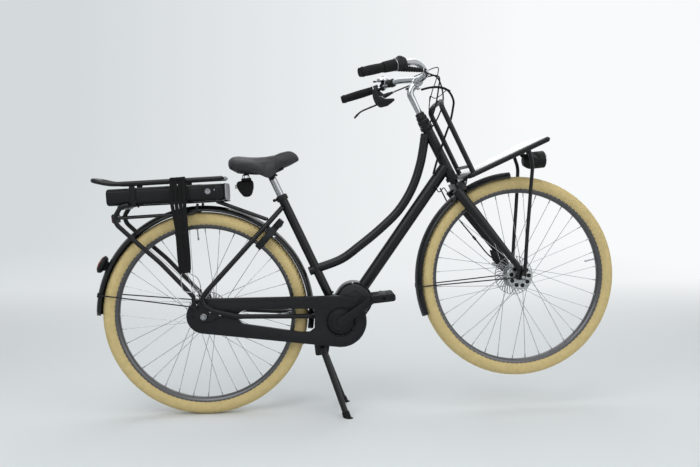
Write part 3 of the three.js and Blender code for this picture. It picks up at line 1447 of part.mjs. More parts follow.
// Stand: a pin through the block and two splayed legs with feet cut level with the floor
const standGroup = new THREE.Group();
standGroup.position.copy(standAt);
bike.add(standGroup);
const footShares = [[0.4027, -0.3646]][0];
const foot = spot(footShares, -standFootY).sub(standAt.clone().setY(0));
const hip = vec(0, -standLegInnerY, 0);
const ankle = hip.clone().lerp(foot, 0.9);
const legDown = foot.clone().sub(hip).normalize();
const toe = foot.clone().addScaledVector(legDown, 30);
const legs = join(
  pinY(0, 0, -standLegInnerY, standLegInnerY, standPinRadius, 12),
  pair(rod(hip.clone().addScaledVector(legDown, -12), ankle, standLegRadius, standLegRadius, 8)),
  pair(rod(ankle, toe, standFootRadius, standFootRadius, 10)),
);
// The floor as a slab in the stand's own frame
const floorSlab = new THREE.BoxGeometry(wheelbase, wheelbase, 2 * tyreSection);
floorSlab.translate(0, 0, -tyreSection);
const toStand = new THREE.Matrix4()
  .makeTranslation(-standAt.x, 0, -standAt.z)
  .multiply(new THREE.Matrix4().makeRotationY(pitch))
  .multiply(new THREE.Matrix4().makeTranslation(0, 0, -tyreRadius));
floorSlab.applyMatrix4(toStand);
node(standGroup, "stand_legs", cut(legs, solid(floorSlab)), black);

// Cables
const bundleShares = [[0.7451, 0.6195], [0.7752, 0.6239], [0.8035, 0.6221], [0.831, 0.6097], [0.8451, 0.5761], [0.8407, 0.5531], [0.8274, 0.5124], [0.8062, 0.469], [0.7858, 0.4248], [0.7717, 0.3938], [0.7575, 0.3558]];
const bundleYs = [-34, -30, -28, -28, -28, -28, -28, -28, -28, -26, -20];
const shiftCableShares = [[0.7681, 0.6566], [0.8035, 0.6531], [0.8239, 0.6336], [0.831, 0.6097]];
const shiftCableYs = [-160, -105, -58, -28];
const brakeCableShares = [[0.754, 0.6584], [0.8009, 0.6496], [0.8301, 0.6212], [0.8451, 0.5761]];
const brakeCableYs = [150, 90, 25, -28];
const bootEnd = spot(bootShares, bootY);
const bootDown = bootEnd.clone().sub(bootRoot).normalize();
const leverEndDown = leverEnd.clone().sub(leverMid).normalize();
const leave = (from, way, distance) => from.clone().addScaledVector(way, distance);
const shiftLine = [leave(bootEnd, bootDown, 0.5), leave(bootEnd, bootDown, 14), ...placed(shiftCableShares, shiftCableYs)];
const brakeLine = [leave(leverEnd, leverEndDown, 0.5), leave(leverEnd, leverEndDown, 14),
  ...placed(brakeCableShares, brakeCableYs)];
const cables = join(
  tube(smooth(placed(bundleShares, bundleYs), 16), 4, 6),
  tube(smooth(shiftLine, 9), 2.8, 6),
  tube(smooth(brakeLine, 10), 2.8, 6),
);
node(steered, "control_cables", cables, rubber);
const frontCableShares = [[0.7903, 0.3097], [0.8221, 0.2345], [0.8938, 0.1239], [0.9274, 0.0743], [0.9522, 0.0531], [0.9664, 0.0469]];
const frontCableYs = [56, 56, 55, 52, 48.1, 48.1];
node(steered, "front_brake_cable", tube(smooth(placed(frontCableShares, frontCableYs), 9), 2.5, 6), rubber);

// The part's origin is the bottom centre of its box.
const part = new THREE.Group();
part.add(bike);
part.updateMatrixWorld(true);
const bounds = new THREE.Box3().setFromObject(bike, true);
bike.position.x -= (bounds.min.x + bounds.max.x) / 2;
bike.position.y -= (bounds.min.y + bounds.max.y) / 2;
bike.position.z -= bounds.min.z;
part.updateMatrixWorld(true);

export default part;
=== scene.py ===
"""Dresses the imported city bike. Each sub-assembly is a class that makes its own surfaces and finishes.

Lengths inside the classes are millimetres in the bike's own frame: the origin is the rear axle, x is
forward, y is the rider's left and z is up. A Place carries them into metres in the part's frame.
"""

from __future__ import annotations

import json
import logging
import math
from dataclasses import dataclass
from enum import Enum
from typing import Sequence

import bmesh
import bpy
import numpy as np
from mathutils import Matrix, Vector

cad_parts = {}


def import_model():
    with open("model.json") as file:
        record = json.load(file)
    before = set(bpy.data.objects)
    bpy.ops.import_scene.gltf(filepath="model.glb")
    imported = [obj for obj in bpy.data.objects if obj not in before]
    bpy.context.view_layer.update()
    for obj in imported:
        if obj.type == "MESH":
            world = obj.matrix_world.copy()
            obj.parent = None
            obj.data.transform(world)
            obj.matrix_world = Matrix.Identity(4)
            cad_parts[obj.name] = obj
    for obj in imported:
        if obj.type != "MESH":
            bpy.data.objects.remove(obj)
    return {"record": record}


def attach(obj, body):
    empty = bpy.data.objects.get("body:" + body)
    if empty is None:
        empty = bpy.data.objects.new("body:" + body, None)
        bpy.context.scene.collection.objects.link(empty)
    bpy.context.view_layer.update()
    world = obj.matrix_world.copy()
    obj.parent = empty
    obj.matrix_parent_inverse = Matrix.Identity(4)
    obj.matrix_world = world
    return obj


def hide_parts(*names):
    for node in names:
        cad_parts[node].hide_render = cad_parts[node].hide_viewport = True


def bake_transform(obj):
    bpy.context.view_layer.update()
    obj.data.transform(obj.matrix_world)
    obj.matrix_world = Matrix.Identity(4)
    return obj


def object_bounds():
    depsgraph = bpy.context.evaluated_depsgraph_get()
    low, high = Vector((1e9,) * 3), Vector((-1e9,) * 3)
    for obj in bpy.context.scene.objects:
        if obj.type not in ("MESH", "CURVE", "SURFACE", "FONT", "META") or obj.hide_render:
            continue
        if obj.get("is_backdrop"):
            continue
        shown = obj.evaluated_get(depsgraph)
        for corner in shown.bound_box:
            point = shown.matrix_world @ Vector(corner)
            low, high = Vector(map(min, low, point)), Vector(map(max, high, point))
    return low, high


LOG = logging.getLogger("city_bike")
WHEELBASE = 1130.0
TYRE_RADIUS = 361.0
PITCH = math.radians(5.96)
STEER = math.radians(3.5)
CLOTH_FRAMES = 20
HEAD_LEAN = math.radians(21.2)
HEAD_POINT = np.array([0.8292 * WHEELBASE, 0.0, 0.3142 * WHEELBASE])
HEAD_AXIS = np.array([-math.sin(HEAD_LEAN), 0.0, math.cos(HEAD_LEAN)])
HEAD_AHEAD = np.array([math.cos(HEAD_LEAN), 0.0, math.sin(HEAD_LEAN)])


# ---------------------------------------------------------------- places


@dataclass(frozen=True)
class Place:
    """Where a group of pieces stands: a matrix from its own millimetres to metres in the part's frame."""

    matrix: Matrix

    def carry(self, points: np.ndarray) -> np.ndarray:
        """Moves an array of points into the part's frame.

        Args:
            points: rows of x, y, z in the group's own millimetres.

        Returns:
            The same rows in metres, each multiplied by the matrix.
        """
        m = np.array(self.matrix)
        return points @ m[:3, :3].T + m[:3, 3]

    def back(self, points: np.ndarray) -> np.ndarray:
        """Brings rows of x, y, z in the part's metres back into the group's own millimetres."""
        return Place(self.matrix.inverted()).carry(points)

    def inside(self, centre: Sequence[float], turn: Matrix | None = None) -> Place:
        """The place of a smaller group at a centre in this one, turned by an own matrix."""
        return Place(self.matrix @ Matrix.Translation(Vector(centre)) @ (turn or Matrix.Identity(4)))

    def spot(self, point: Sequence[float]) -> tuple[float, float, float]:
        """One point of the group as a tuple in the part's frame."""
        return tuple(self.matrix @ Vector(point))


def bike_place(offset: Sequence[float]) -> Place:
    """The bike's own frame, whose rear axle is at the offset and which leans back by the pitch."""
    scale = Matrix.Diagonal((0.001, 0.001, 0.001, 1.0))
    return Place(Matrix.Translation(Vector(offset)) @ Matrix.Rotation(-PITCH, 4, "Y") @ scale)


def steered_place(bike: Place) -> Place:
    """The frame of what turns with the fork: the bike's frame turned about the head axis."""
    head = Matrix.Translation(Vector(HEAD_POINT))
    turn = Matrix.Rotation(STEER, 4, Vector(HEAD_AXIS))
    return Place(bike.matrix @ head @ turn @ head.inverted())


def on_head(rise: float, ahead: float = 0.0, y: float = 0.0) -> np.ndarray:
    """A point on the steering axis at a height above the head point, moved ahead and aside."""
    point = HEAD_POINT + HEAD_AXIS * rise + HEAD_AHEAD * ahead
    return np.array([point[0], y, point[2]])


def spots(shares: Sequence[Sequence[float]], y: float | Sequence[float] = 0.0) -> np.ndarray:
    """Places in the bike's middle plane, given as shares of the wheelbase, at one or several y.

    Args:
        shares: rows of x and z as shares of the wheelbase.
        y: the side distance, one for all rows or one for each.

    Returns:
        Rows of x, y, z in millimetres.
    """
    table = np.asarray(shares, float) * WHEELBASE
    return np.column_stack([table[:, 0], np.broadcast_to(y, len(table)), table[:, 1]])


# ---------------------------------------------------------------- surfaces


@dataclass
class Shell:
    """One closed surface: points in millimetres and faces as tuples of point numbers."""

    points: np.ndarray
    faces: list[list[int]]

    def moved(self, matrix: Matrix) -> Shell:
        """The shell with each point multiplied by a matrix."""
        m = np.array(matrix)
        return Shell(self.points @ m[:3, :3].T + m[:3, 3], self.faces)

    def mirrored(self) -> Shell:
        """The shell on the other side of the middle plane, with its faces turned back."""
        return Shell(self.points * [1, -1, 1], [face[::-1] for face in self.faces])


def grid(points: np.ndarray, around: bool = True, along: bool = False, caps: bool = True) -> Shell:
    """Joins a table of points into a skin: face (i, j) takes the corners (i, j) to (i+1, j+1).

    Args:
        points: an array of rows by columns by 3.
        around: whether the last column joins the first.
        along: whether the last row joins the first.
        caps: whether the first and last row are each filled by one face.

    Returns:
        The shell.
    """
    rows, cols = points.shape[:2]
    r = np.arange(rows if along else rows - 1)[:, None]
    c = np.arange(cols if around else cols - 1)[None, :]
    nr, nc = (r + 1) % rows, (c + 1) % cols
    quads = np.stack([r * cols + c, r * cols + nc, nr * cols + nc, nr * cols + c], -1)
    faces = quads.reshape(-1, 4).tolist()
    if caps and not along:
        faces.append(list(range(cols))[::-1])
        faces.append(list(range((rows - 1) * cols, rows * cols)))
    return Shell(points.reshape(-1, 3), faces)


def rounded(corners: np.ndarray, bend: float, steps: int = 6) -> np.ndarray:
    """Straight runs whose corners are cut back by the bend and joined by quadratic arcs.

    Args:
        corners: rows of x, y, z.
        bend: how far before and after a corner its arc starts and ends.
        steps: how many pieces each arc has.

    Returns:
        The points of the path.
    """
    corners = np.asarray(corners, float)
    path = [corners[:1]]
    t = np.linspace(0, 1, steps + 1)[:, None]
    for before, here, after in zip(corners, corners[1:], corners[2:]):
        back, on = before - here, after - here
        lengths = np.linalg.norm(back), np.linalg.norm(on)
        reach = min(bend, lengths[0] * 0.45, lengths[1] * 0.45)
        start, end = here + back / lengths[0] * reach, here + on / lengths[1] * reach
        path.append((1 - t) ** 2 * start + 2 * t * (1 - t) * here + t**2 * end)
    path.append(corners[-1:])
    return np.concatenate(path)


def smooth(corners: np.ndarray, steps: int) -> np.ndarray:
    """A centripetal Catmull-Rom curve through the corners, at equal steps of its length."""
    p = np.asarray(corners, float)
    p = np.vstack([2 * p[0] - p[1], p, 2 * p[-1] - p[-2]])
    gaps = np.maximum(np.linalg.norm(np.diff(p, axis=0), axis=1) ** 0.5, 1e-6)[:, None]
    a, b, c = gaps[:-2], gaps[1:-1], gaps[2:]
    p0, p1, p2, p3 = p[:-3], p[1:-2], p[2:-1], p[3:]
    m1 = ((p1 - p0) / a - (p2 - p0) / (a + b) + (p2 - p1) / b) * b
    m2 = ((p2 - p1) / b - (p3 - p1) / (b + c) + (p3 - p2) / c) * b
    t = np.linspace(0, 1, 17)[:-1, None, None]
    h = [2 * t**3 - 3 * t**2 + 1, t**3 - 2 * t**2 + t, 3 * t**2 - 2 * t**3, t**3 - t**2]
    fine = (h[0] * p1 + h[1] * m1 + h[2] * p2 + h[3] * m2).transpose(1, 0, 2).reshape(-1, 3)
    return evenly(np.vstack([fine, p[-2]]), steps)


def evenly(path: np.ndarray, steps: int) -> np.ndarray:
    """The points of a path at equal steps of its length."""
    run = np.concatenate([[0], np.cumsum(np.linalg.norm(np.diff(path, axis=0), axis=1))])
    at = np.linspace(0, run[-1], steps + 1)
    return np.column_stack([np.interp(at, run, path[:, k]) for k in range(3)])


def axes_along(path: np.ndarray, side: Sequence[float] | None) -> tuple[np.ndarray, np.ndarray]:
    """The two directions across a path at each point: the side kept square to the path, and their product."""
    tangent = np.gradient(path, axis=0)
    tangent /= np.linalg.norm(tangent, axis=1, keepdims=True)
    first = tangent[0]
    guess = np.array(side if side is not None else ([0, 1, 0] if abs(first[1]) < 0.9 else [1, 0, 0]), float)
    normal = np.empty_like(path)
    across = guess
    for i, direction in enumerate(tangent):
        across = across - direction * across.dot(direction)
        across = across / np.linalg.norm(across)
        normal[i] = across
    return normal, np.cross(tangent, normal)


def carried(path: np.ndarray, section: np.ndarray, side: Sequence[float] | None = None,
            closed: bool = False) -> Shell:
    """Carries a closed section along a path: point = path + across times u + up times v.

    Args:
        path: rows of x, y, z.
        section: u and v of the outline, one for the whole path or one for each point of it.
        side: the direction that u starts in.
        closed: whether the path is a loop.

    Returns:
        The skin, closed at both ends.
    """
    path = np.asarray(path, float)
    normal, binormal = axes_along(path, side)
    u, v = np.broadcast_to(section, (len(path),) + section.shape[-2:]).transpose(2, 0, 1)[..., None]
    return grid(path[:, None] + normal[:, None] * u + binormal[:, None] * v, along=closed)


def round_section(radius: float | np.ndarray, sides: int = 24, flat: float = 1.0) -> np.ndarray:
    """A circle, or an ellipse of flat times its height, one for each radius that is given."""
    angle = np.arange(sides) * 2 * math.pi / sides
    unit = np.column_stack([np.cos(angle), flat * np.sin(angle)])
    return np.asarray(radius, float)[..., None, None] * unit


def soft_box(half_u: float, half_v: float, corner: float, sides: int = 6) -> np.ndarray:
    """The outline of a rectangle whose corners are quarter circles."""
    angle = np.linspace(0, math.pi / 2, sides)
    quarter = np.column_stack([np.cos(angle), np.sin(angle)]) * corner
    centre = np.array([half_u - corner, half_v - corner])
    turns = [np.array([[c, s], [-s, c]]) for c, s in ((1, 0), (0, 1), (-1, 0), (0, -1))]
    signs = np.array([[1, 1], [-1, 1], [-1, -1], [1, -1]])
    return np.vstack([quarter @ turn + centre * sign for turn, sign in zip(turns, signs)])


def tube(path: np.ndarray, radius: float | np.ndarray, sides: int = 24, end: float = 0.12) -> Shell:
    """A round bar along a path, whose two ends are chamfered by a share of its radius."""
    path = np.asarray(path, float)
    radius = np.broadcast_to(radius, len(path)).astype(float)
    tips = [path[0] + (path[1] - path[0]) / np.linalg.norm(path[1] - path[0]) * radius[0] * end]
    tips.append(path[-1] + (path[-2] - path[-1]) / np.linalg.norm(path[-2] - path[-1]) * radius[-1] * end)
    full = np.vstack([path[:1], tips[:1], path[1:-1], tips[1:], path[-1:]])
    sizes = np.concatenate([[radius[0] * (1 - end)], radius[:1], radius[1:-1], radius[-1:],
                            [radius[-1] * (1 - end)]])
    return carried(full, round_section(sizes, sides))


def rod(start: Sequence[float], finish: Sequence[float], radius: float, end_radius: float | None = None,
        sides: int = 24) -> Shell:
    """A straight round bar, or a taper, between two points."""
    path = np.array([start, finish], float)
    return tube(path, np.array([radius, radius if end_radius is None else end_radius]), sides)


def pin(x: float, z: float, y0: float, y1: float, radius: float, sides: int = 24) -> Shell:
    """A round bar along the y axis."""
    return rod((x, y0, z), (x, y1, z), radius, sides=sides)


def nut(centre: Sequence[float], away: Sequence[float], size: float, height: float) -> list[Shell]:
    """A hexagon nut with its chamfered face, and the stub of its bolt, standing away from a surface."""
    c, a = np.array(centre, float), np.array(away, float) / np.linalg.norm(away)
    path = c + a * np.array([[0], [height * 0.8], [height]])
    body = carried(path, round_section(np.array([size, size, size * 0.86]), 6))
    return [body, rod(c + a * height * 0.9, c + a * height * 1.3, size * 0.45, sides=12)]


def dome(centre: Sequence[float], away: Sequence[float], radius: float, height: float,
         sides: int = 20) -> Shell:
    """A round bolt head: rings whose radius follows a quarter of a circle."""
    c, a = np.array(centre, float), np.array(away, float) / np.linalg.norm(away)
    angle = np.linspace(0, math.pi / 2 * 0.96, 6)
    path = np.vstack([c - a * 0.5, c + a * (np.sin(angle) * height)[:, None]])
    return carried(path, round_section(np.concatenate([[radius], radius * np.cos(angle)]), sides))


def turned(profile: Sequence[Sequence[float]], turns: int = 96, wave: np.ndarray | None = None) -> Shell:
    """Turns a closed outline of radius and y about the y axis: x = r cos a, z = r sin a.

    Args:
        profile: rows of radius and y, in order round the section.
        turns: how many steps the circle has.
        wave: what is added to the radius, turns by rows, for a pattern round the edge.

    Returns:
        The ring.
    """
    p = np.asarray(profile, float)
    angle = np.arange(turns) * 2 * math.pi / turns
    r = np.broadcast_to(p[:, 0], (turns, len(p))) + (0 if wave is None else wave)
    y = np.broadcast_to(p[:, 1], r.shape)
    return grid(np.stack([r * np.cos(angle)[:, None], y, r * np.sin(angle)[:, None]], -1), along=True)


def standing(at: Sequence[float], way: Sequence[float]) -> Matrix:
    """The matrix that puts the origin at a point and turns the y axis along a direction."""
    turn = Vector((0, 1, 0)).rotation_difference(Vector(way))
    return Matrix.Translation(Vector(at)) @ turn.to_matrix().to_4x4()


def on_circle(x: float, z: float, radius: float, angles: Sequence[float]) -> list[tuple[float, float]]:
    """Spots at some angles of a circle in the plane of x and z."""
    return [(x + radius * math.cos(a), z + radius * math.sin(a)) for a in angles]


def ring_on(centre: Sequence[float], axis: Sequence[float], radius: float, thick: float,
            sides: int = 32) -> Shell:
    """A thin round bead, such as a weld or a seal, round an axis."""
    angle = np.arange(10) * 2 * math.pi / 10
    bead = turned(np.column_stack([radius + thick * np.cos(angle), thick * np.sin(angle)]), sides)
    return bead.moved(standing(centre, Vector(axis).normalized()))


def circle(x: float, z: float, radius: float, sides: int = 40) -> np.ndarray:
    """Points of a circle in the plane of x and z."""
    angle = np.arange(sides) * 2 * math.pi / sides
    return np.column_stack([x + radius * np.cos(angle), z + radius * np.sin(angle)])


def belt(a: Sequence[float], ra: float, b: Sequence[float], rb: float, sides: int = 40) -> np.ndarray:
    """The outline of a belt round two circles: an arc of each, joined by the two outer tangents."""
    lean = math.atan2(b[1] - a[1], b[0] - a[0])
    spread = math.acos((ra - rb) / math.hypot(b[0] - a[0], b[1] - a[1]))
    big = lean + spread + np.linspace(0, 2 * math.pi - 2 * spread, sides)
    small = lean - spread + np.linspace(0, 2 * spread, sides)
    first = np.column_stack([a[0] + ra * np.cos(big), a[1] + ra * np.sin(big)])
    return np.vstack([first, np.column_stack([b[0] + rb * np.cos(small), b[1] + rb * np.sin(small)])])


def softened(outline: np.ndarray, bend: float, steps: int = 5) -> np.ndarray:
    """A closed outline with each corner cut back by the bend and rounded."""
    flat = np.column_stack([outline[:, 0], np.zeros(len(outline)), outline[:, 1]])
    ring = np.vstack([flat, flat[:2]])
    path = rounded(ring, bend, steps)[1:-1]
    return path[:, [0, 2]]


def plate(outline: np.ndarray, y0: float, y1: float, holes: Sequence[np.ndarray] = (),
          edge: float = 0.8) -> Shell:
    """A plate in the plane of x and z with holes and rounded edges, made from a filled flat curve.

    Args:
        outline: rows of x and z.
        y0: one face.
        y1: the other face.
        holes: outlines that are left open.
        edge: the radius of its edges.

    Returns:
        The plate.
    """
    curve = bpy.data.curves.new("outline", "CURVE")
    curve.dimensions, curve.fill_mode = "2D", "BOTH"
    edge = min(edge, abs(y1 - y0) * 0.45)
    curve.extrude, curve.bevel_depth, curve.bevel_resolution = abs(y1 - y0) / 2 - edge, edge, 1
    curve.offset = -edge
    for ring in (outline, *holes):
        spline = curve.splines.new("POLY")
        spline.points.add(len(ring) - 1)
        rows = np.column_stack([ring, np.zeros(len(ring)), np.ones(len(ring))])
        spline.points.foreach_set("co", rows.astype(np.float32).ravel())
        spline.use_cyclic_u = True
    holder = bpy.data.objects.new("outline", curve)
    mesh = bpy.data.meshes.new_from_object(holder)
    flat = np.empty(len(mesh.vertices) * 3, np.float32)
    mesh.vertices.foreach_get("co", flat)
    faces = [list(polygon.vertices) for polygon in mesh.polygons]
    bpy.data.objects.remove(holder)
    bpy.data.curves.remove(curve)
    bpy.data.meshes.remove(mesh)
    p = flat.reshape(-1, 3).astype(float)
    return Shell(np.column_stack([p[:, 0], p[:, 2] + (y0 + y1) / 2, p[:, 1]]), faces)


def block(low: Sequence[float], high: Sequence[float], corner: float = 2.0, steps: int = 4) -> Shell:
    """A box with rounded upright edges and drawn-in ends, carried along x."""
    lo, hi = np.array(low, float), np.array(high, float)
    half = (hi - lo) / 2
    corner = min(corner, *(half * 0.95))
    angle = np.linspace(0, math.pi / 2, steps)
    inset, along = corner * (1 - np.sin(angle)), corner * (1 - np.cos(angle))
    xs = np.concatenate([lo[0] + along, (hi[0] - along)[::-1]])
    insets = np.concatenate([inset, inset[::-1]])
    rings = np.stack([soft_box(half[1] - i, half[2] - i, max(corner - i * 0.5, 0.2)) for i in insets])
    centre = np.array([0, (lo[1] + hi[1]) / 2, (lo[2] + hi[2]) / 2])
    path = np.column_stack([xs, np.zeros_like(xs), np.zeros_like(xs)])[:, None] + centre
    points = np.concatenate([np.zeros(rings.shape[:2] + (1,)), rings], -1) + path
    return grid(points)


def pair(shells: Sequence[Shell] | Shell) -> list[Shell]:
    """Both sides of a piece modelled on the drive side."""
    shells = [shells] if isinstance(shells, Shell) else list(shells)
    return shells + [shell.mirrored() for shell in shells]


# ---------------------------------------------------------------- finishes


class Pattern(Enum):
    """What a finish has on it besides its colour."""

    PLAIN = "plain"
    GRAIN = "leather grain"
    WEAVE = "woven band"
    BRUSHED = "brushed"
    MOULDED = "moulded plastic"


def linear(code: Sequence[float]) -> tuple[float, float, float, float]:
    """A colour written as 0 to 255 as it shows, turned into the shader's linear values."""
    c = np.asarray(code, float) / 255
    low, high = c / 12.92, ((c + 0.055) / 1.055) ** 2.4
    return (*np.where(c <= 0.04045, low, high).tolist(), 1.0)


def reckoned(tree: bpy.types.NodeTree, operation: str, first: bpy.types.NodeSocket,
             second: bpy.types.NodeSocket) -> bpy.types.NodeSocket:
    """The result of a maths node on two sockets."""
    node = tree.nodes.new("ShaderNodeMath")
    node.operation = operation
    tree.links.new(first, node.inputs[0])
    tree.links.new(second, node.inputs[1])
    return node.outputs[0]


@dataclass(frozen=True)
class Finish:
    """One procedural finish: colour with variation, roughness and bump on Object coordinates."""

    name: str
    slot: str
    colour: tuple[float, float, float]
    rough: float
    metal: float = 0.0
    drift: float = 0.12
    drift_scale: float = 9.0
    grain: float = 700.0
    bump: float = 0.1
    depth: float = 0.0002
    coat: float = 0.0
    clear: float = 0.0
    shine: float = 0.5
    pattern: Pattern = Pattern.PLAIN

    def material(self) -> bpy.types.Material:
        """The finish as a material, made once and then shared."""
        known = bpy.data.materials.get(self.name)
        if known:
            return known
        made = bpy.data.materials.new(self.name)
        made.use_nodes = True
        tree = made.node_tree
        shader = tree.nodes["Principled BSDF"]
        place = tree.nodes.new("ShaderNodeTexCoord").outputs["Object"]
        slow = self._noise(tree, place, self.drift_scale, 3)
        shade = tree.nodes.new("ShaderNodeMix")
        shade.data_type = "RGBA"
        base = np.array(linear(self.colour)[:3])
        shade.inputs["A"].default_value = (*(base * (1 - self.drift)), 1)
        shade.inputs["B"].default_value = (*np.minimum(base * (1 + self.drift) + 0.0006, 1), 1)
        tree.links.new(slow, shade.inputs["Factor"])
        tree.links.new(shade.outputs["Result"], shader.inputs["Base Color"])
        height = self._height(tree, place)
        spread = tree.nodes.new("ShaderNodeMapRange")
        spread.inputs["To Min"].default_value = max(self.rough - 0.07, 0.02)
        spread.inputs["To Max"].default_value = min(self.rough + 0.09, 1.0)
        tree.links.new(self._noise(tree, place, self.drift_scale * 14, 4), spread.inputs["Value"])
        tree.links.new(spread.outputs["Result"], shader.inputs["Roughness"])
        bump = tree.nodes.new("ShaderNodeBump")
        bump.inputs["Strength"].default_value = self.bump
        bump.inputs["Distance"].default_value = self.depth
        tree.links.new(height, bump.inputs["Height"])
        tree.links.new(bump.outputs["Normal"], shader.inputs["Normal"])
        shader.inputs["Metallic"].default_value = self.metal
        shader.inputs["Coat Weight"].default_value = self.coat
        shader.inputs["Specular IOR Level"].default_value = self.shine
        shader.inputs["Coat Roughness"].default_value = 0.25
        if self.clear:
            shader.inputs["Transmission Weight"].default_value = self.clear
            shader.inputs["IOR"].default_value = 1.49
        return made

    def _noise(self, tree: bpy.types.NodeTree, place: bpy.types.NodeSocket, scale: float,
               detail: float) -> bpy.types.NodeSocket:
        """A noise of so many waves a metre, read at a place."""
        noise = tree.nodes.new("ShaderNodeTexNoise")
        noise.inputs["Scale"].default_value = scale
        noise.inputs["Detail"].default_value = detail
        tree.links.new(place, noise.inputs["Vector"])
        return noise.outputs["Fac"]

    def _height(self, tree: bpy.types.NodeTree, place: bpy.types.NodeSocket) -> bpy.types.NodeSocket:
        """The height that the bump reads: cells for leather, crossed waves for cloth, noise otherwise."""
        if self.pattern is Pattern.GRAIN:
            cells = tree.nodes.new("ShaderNodeTexVoronoi")
            cells.inputs["Scale"].default_value = self.grain
            tree.links.new(place, cells.inputs["Vector"])
            return cells.outputs["Distance"]
        if self.pattern is Pattern.WEAVE:
            waves = []
            for axis in ("X", "Z"):
                wave = tree.nodes.new("ShaderNodeTexWave")
                wave.bands_direction = axis
                wave.inputs["Scale"].default_value = self.grain
                wave.inputs["Distortion"].default_value = 0.3
                tree.links.new(place, wave.inputs["Vector"])
                waves.append(wave.outputs["Fac"])
            return reckoned(tree, "MAXIMUM", *waves)
        if self.pattern is Pattern.BRUSHED:
            stretch = tree.nodes.new("ShaderNodeMapping")
            stretch.inputs["Scale"].default_value = (1.0, 0.06, 1.0)
            tree.links.new(place, stretch.inputs["Vector"])
            return self._noise(tree, stretch.outputs["Vector"], self.grain, 2)
        return self._noise(tree, place, self.grain, 2)


PAINT = Finish("frame_paint", "frame_black", (15, 15, 17), 0.36, grain=1800, bump=0.08, coat=0.1, shine=0.24)
CASE = Finish("case_satin", "case_black", (25, 26, 28), 0.48, drift=0.1, grain=1500, bump=0.14, shine=0.2)
MUDGUARD = Finish("mudguard_gloss", "fender_black", (16, 16, 18), 0.32, drift=0.08, grain=1600, bump=0.05,
                  coat=0.1, shine=0.24)
PLASTIC = Finish("black_plastic", "plastic_black", (17, 18, 19), 0.5, grain=1900, bump=0.3, shine=0.22,
                 pattern=Pattern.MOULDED)
MOTOR = Finish("motor_casting", "motor_grey", (36, 37, 38), 0.5, grain=1300, bump=0.3, shine=0.28)
RUBBER = Finish("black_rubber", "rubber_black", (19, 19, 20), 0.82, grain=1500, bump=0.35, shine=0.25)
CREAM = Finish("cream_rubber", "tyre_cream", (201, 181, 129), 0.82, drift=0.16, drift_scale=55, grain=900,
               bump=0.45, depth=0.0004, shine=0.2)
STEEL = Finish("bright_steel", "steel_bright", (158, 160, 163), 0.26, metal=1.0, drift=0.06, grain=500,
               bump=0.06, pattern=Pattern.BRUSHED)
CHROME = Finish("polished_stem", "steel_bright", (176, 178, 181), 0.15, metal=1.0, drift=0.05, grain=600,
                bump=0.03)
DARK_STEEL = Finish("dark_steel", "steel_black", (19, 19, 21), 0.42, grain=1500, bump=0.1, shine=0.24)
ALLOY = Finish("cast_alloy", "alloy_cast", (168, 171, 171), 0.38, metal=0.75, drift=0.08, grain=1100,
               bump=0.16)
RIM = Finish("rim_black", "rim_black", (9, 9, 10), 0.85, grain=1500, bump=0.06, shine=0.0)
BOARD = Finish("board_grey", "board_grey", (178, 183, 185), 0.62, drift=0.03, grain=1300, bump=0.3,
               shine=0.25)
CAP = Finish("cap_grey", "cap_grey", (92, 95, 98), 0.6, drift=0.1, grain=1500, bump=0.3, shine=0.3)
LEATHER = Finish("saddle_cover", "leather_black", (45, 46, 47), 0.52, drift=0.14, grain=520, bump=0.45,
                 depth=0.0004, shine=0.3, pattern=Pattern.GRAIN)
WEBBING = Finish("webbing", "webbing_black", (20, 20, 21), 0.85, grain=230, bump=0.6, depth=0.0005, shine=0.2,
                 pattern=Pattern.WEAVE)
BAG = Finish("bag_cloth", "bag_black", (21, 21, 22), 0.88, grain=260, bump=0.5, depth=0.0004, shine=0.2,
             pattern=Pattern.WEAVE)
RED = Finish("red_lens", "lens_red", (112, 10, 14), 0.16, grain=900, bump=0.1, coat=0.5)
LAMP_BOWL = Finish("lamp_bowl", "steel_bright", (232, 234, 236), 0.25, metal=0.35, grain=900, bump=0.05)
CLEAR = Finish("clear_lens", "lens_clear", (250, 251, 252), 0.04, drift=0.01, grain=500, bump=0.02,
               clear=0.96)
PALE_INK = Finish("pale_mark", "board_grey", (215, 217, 218), 0.5, drift=0.04, grain=900, bump=0.05)


# ---------------------------------------------------------------- the bench


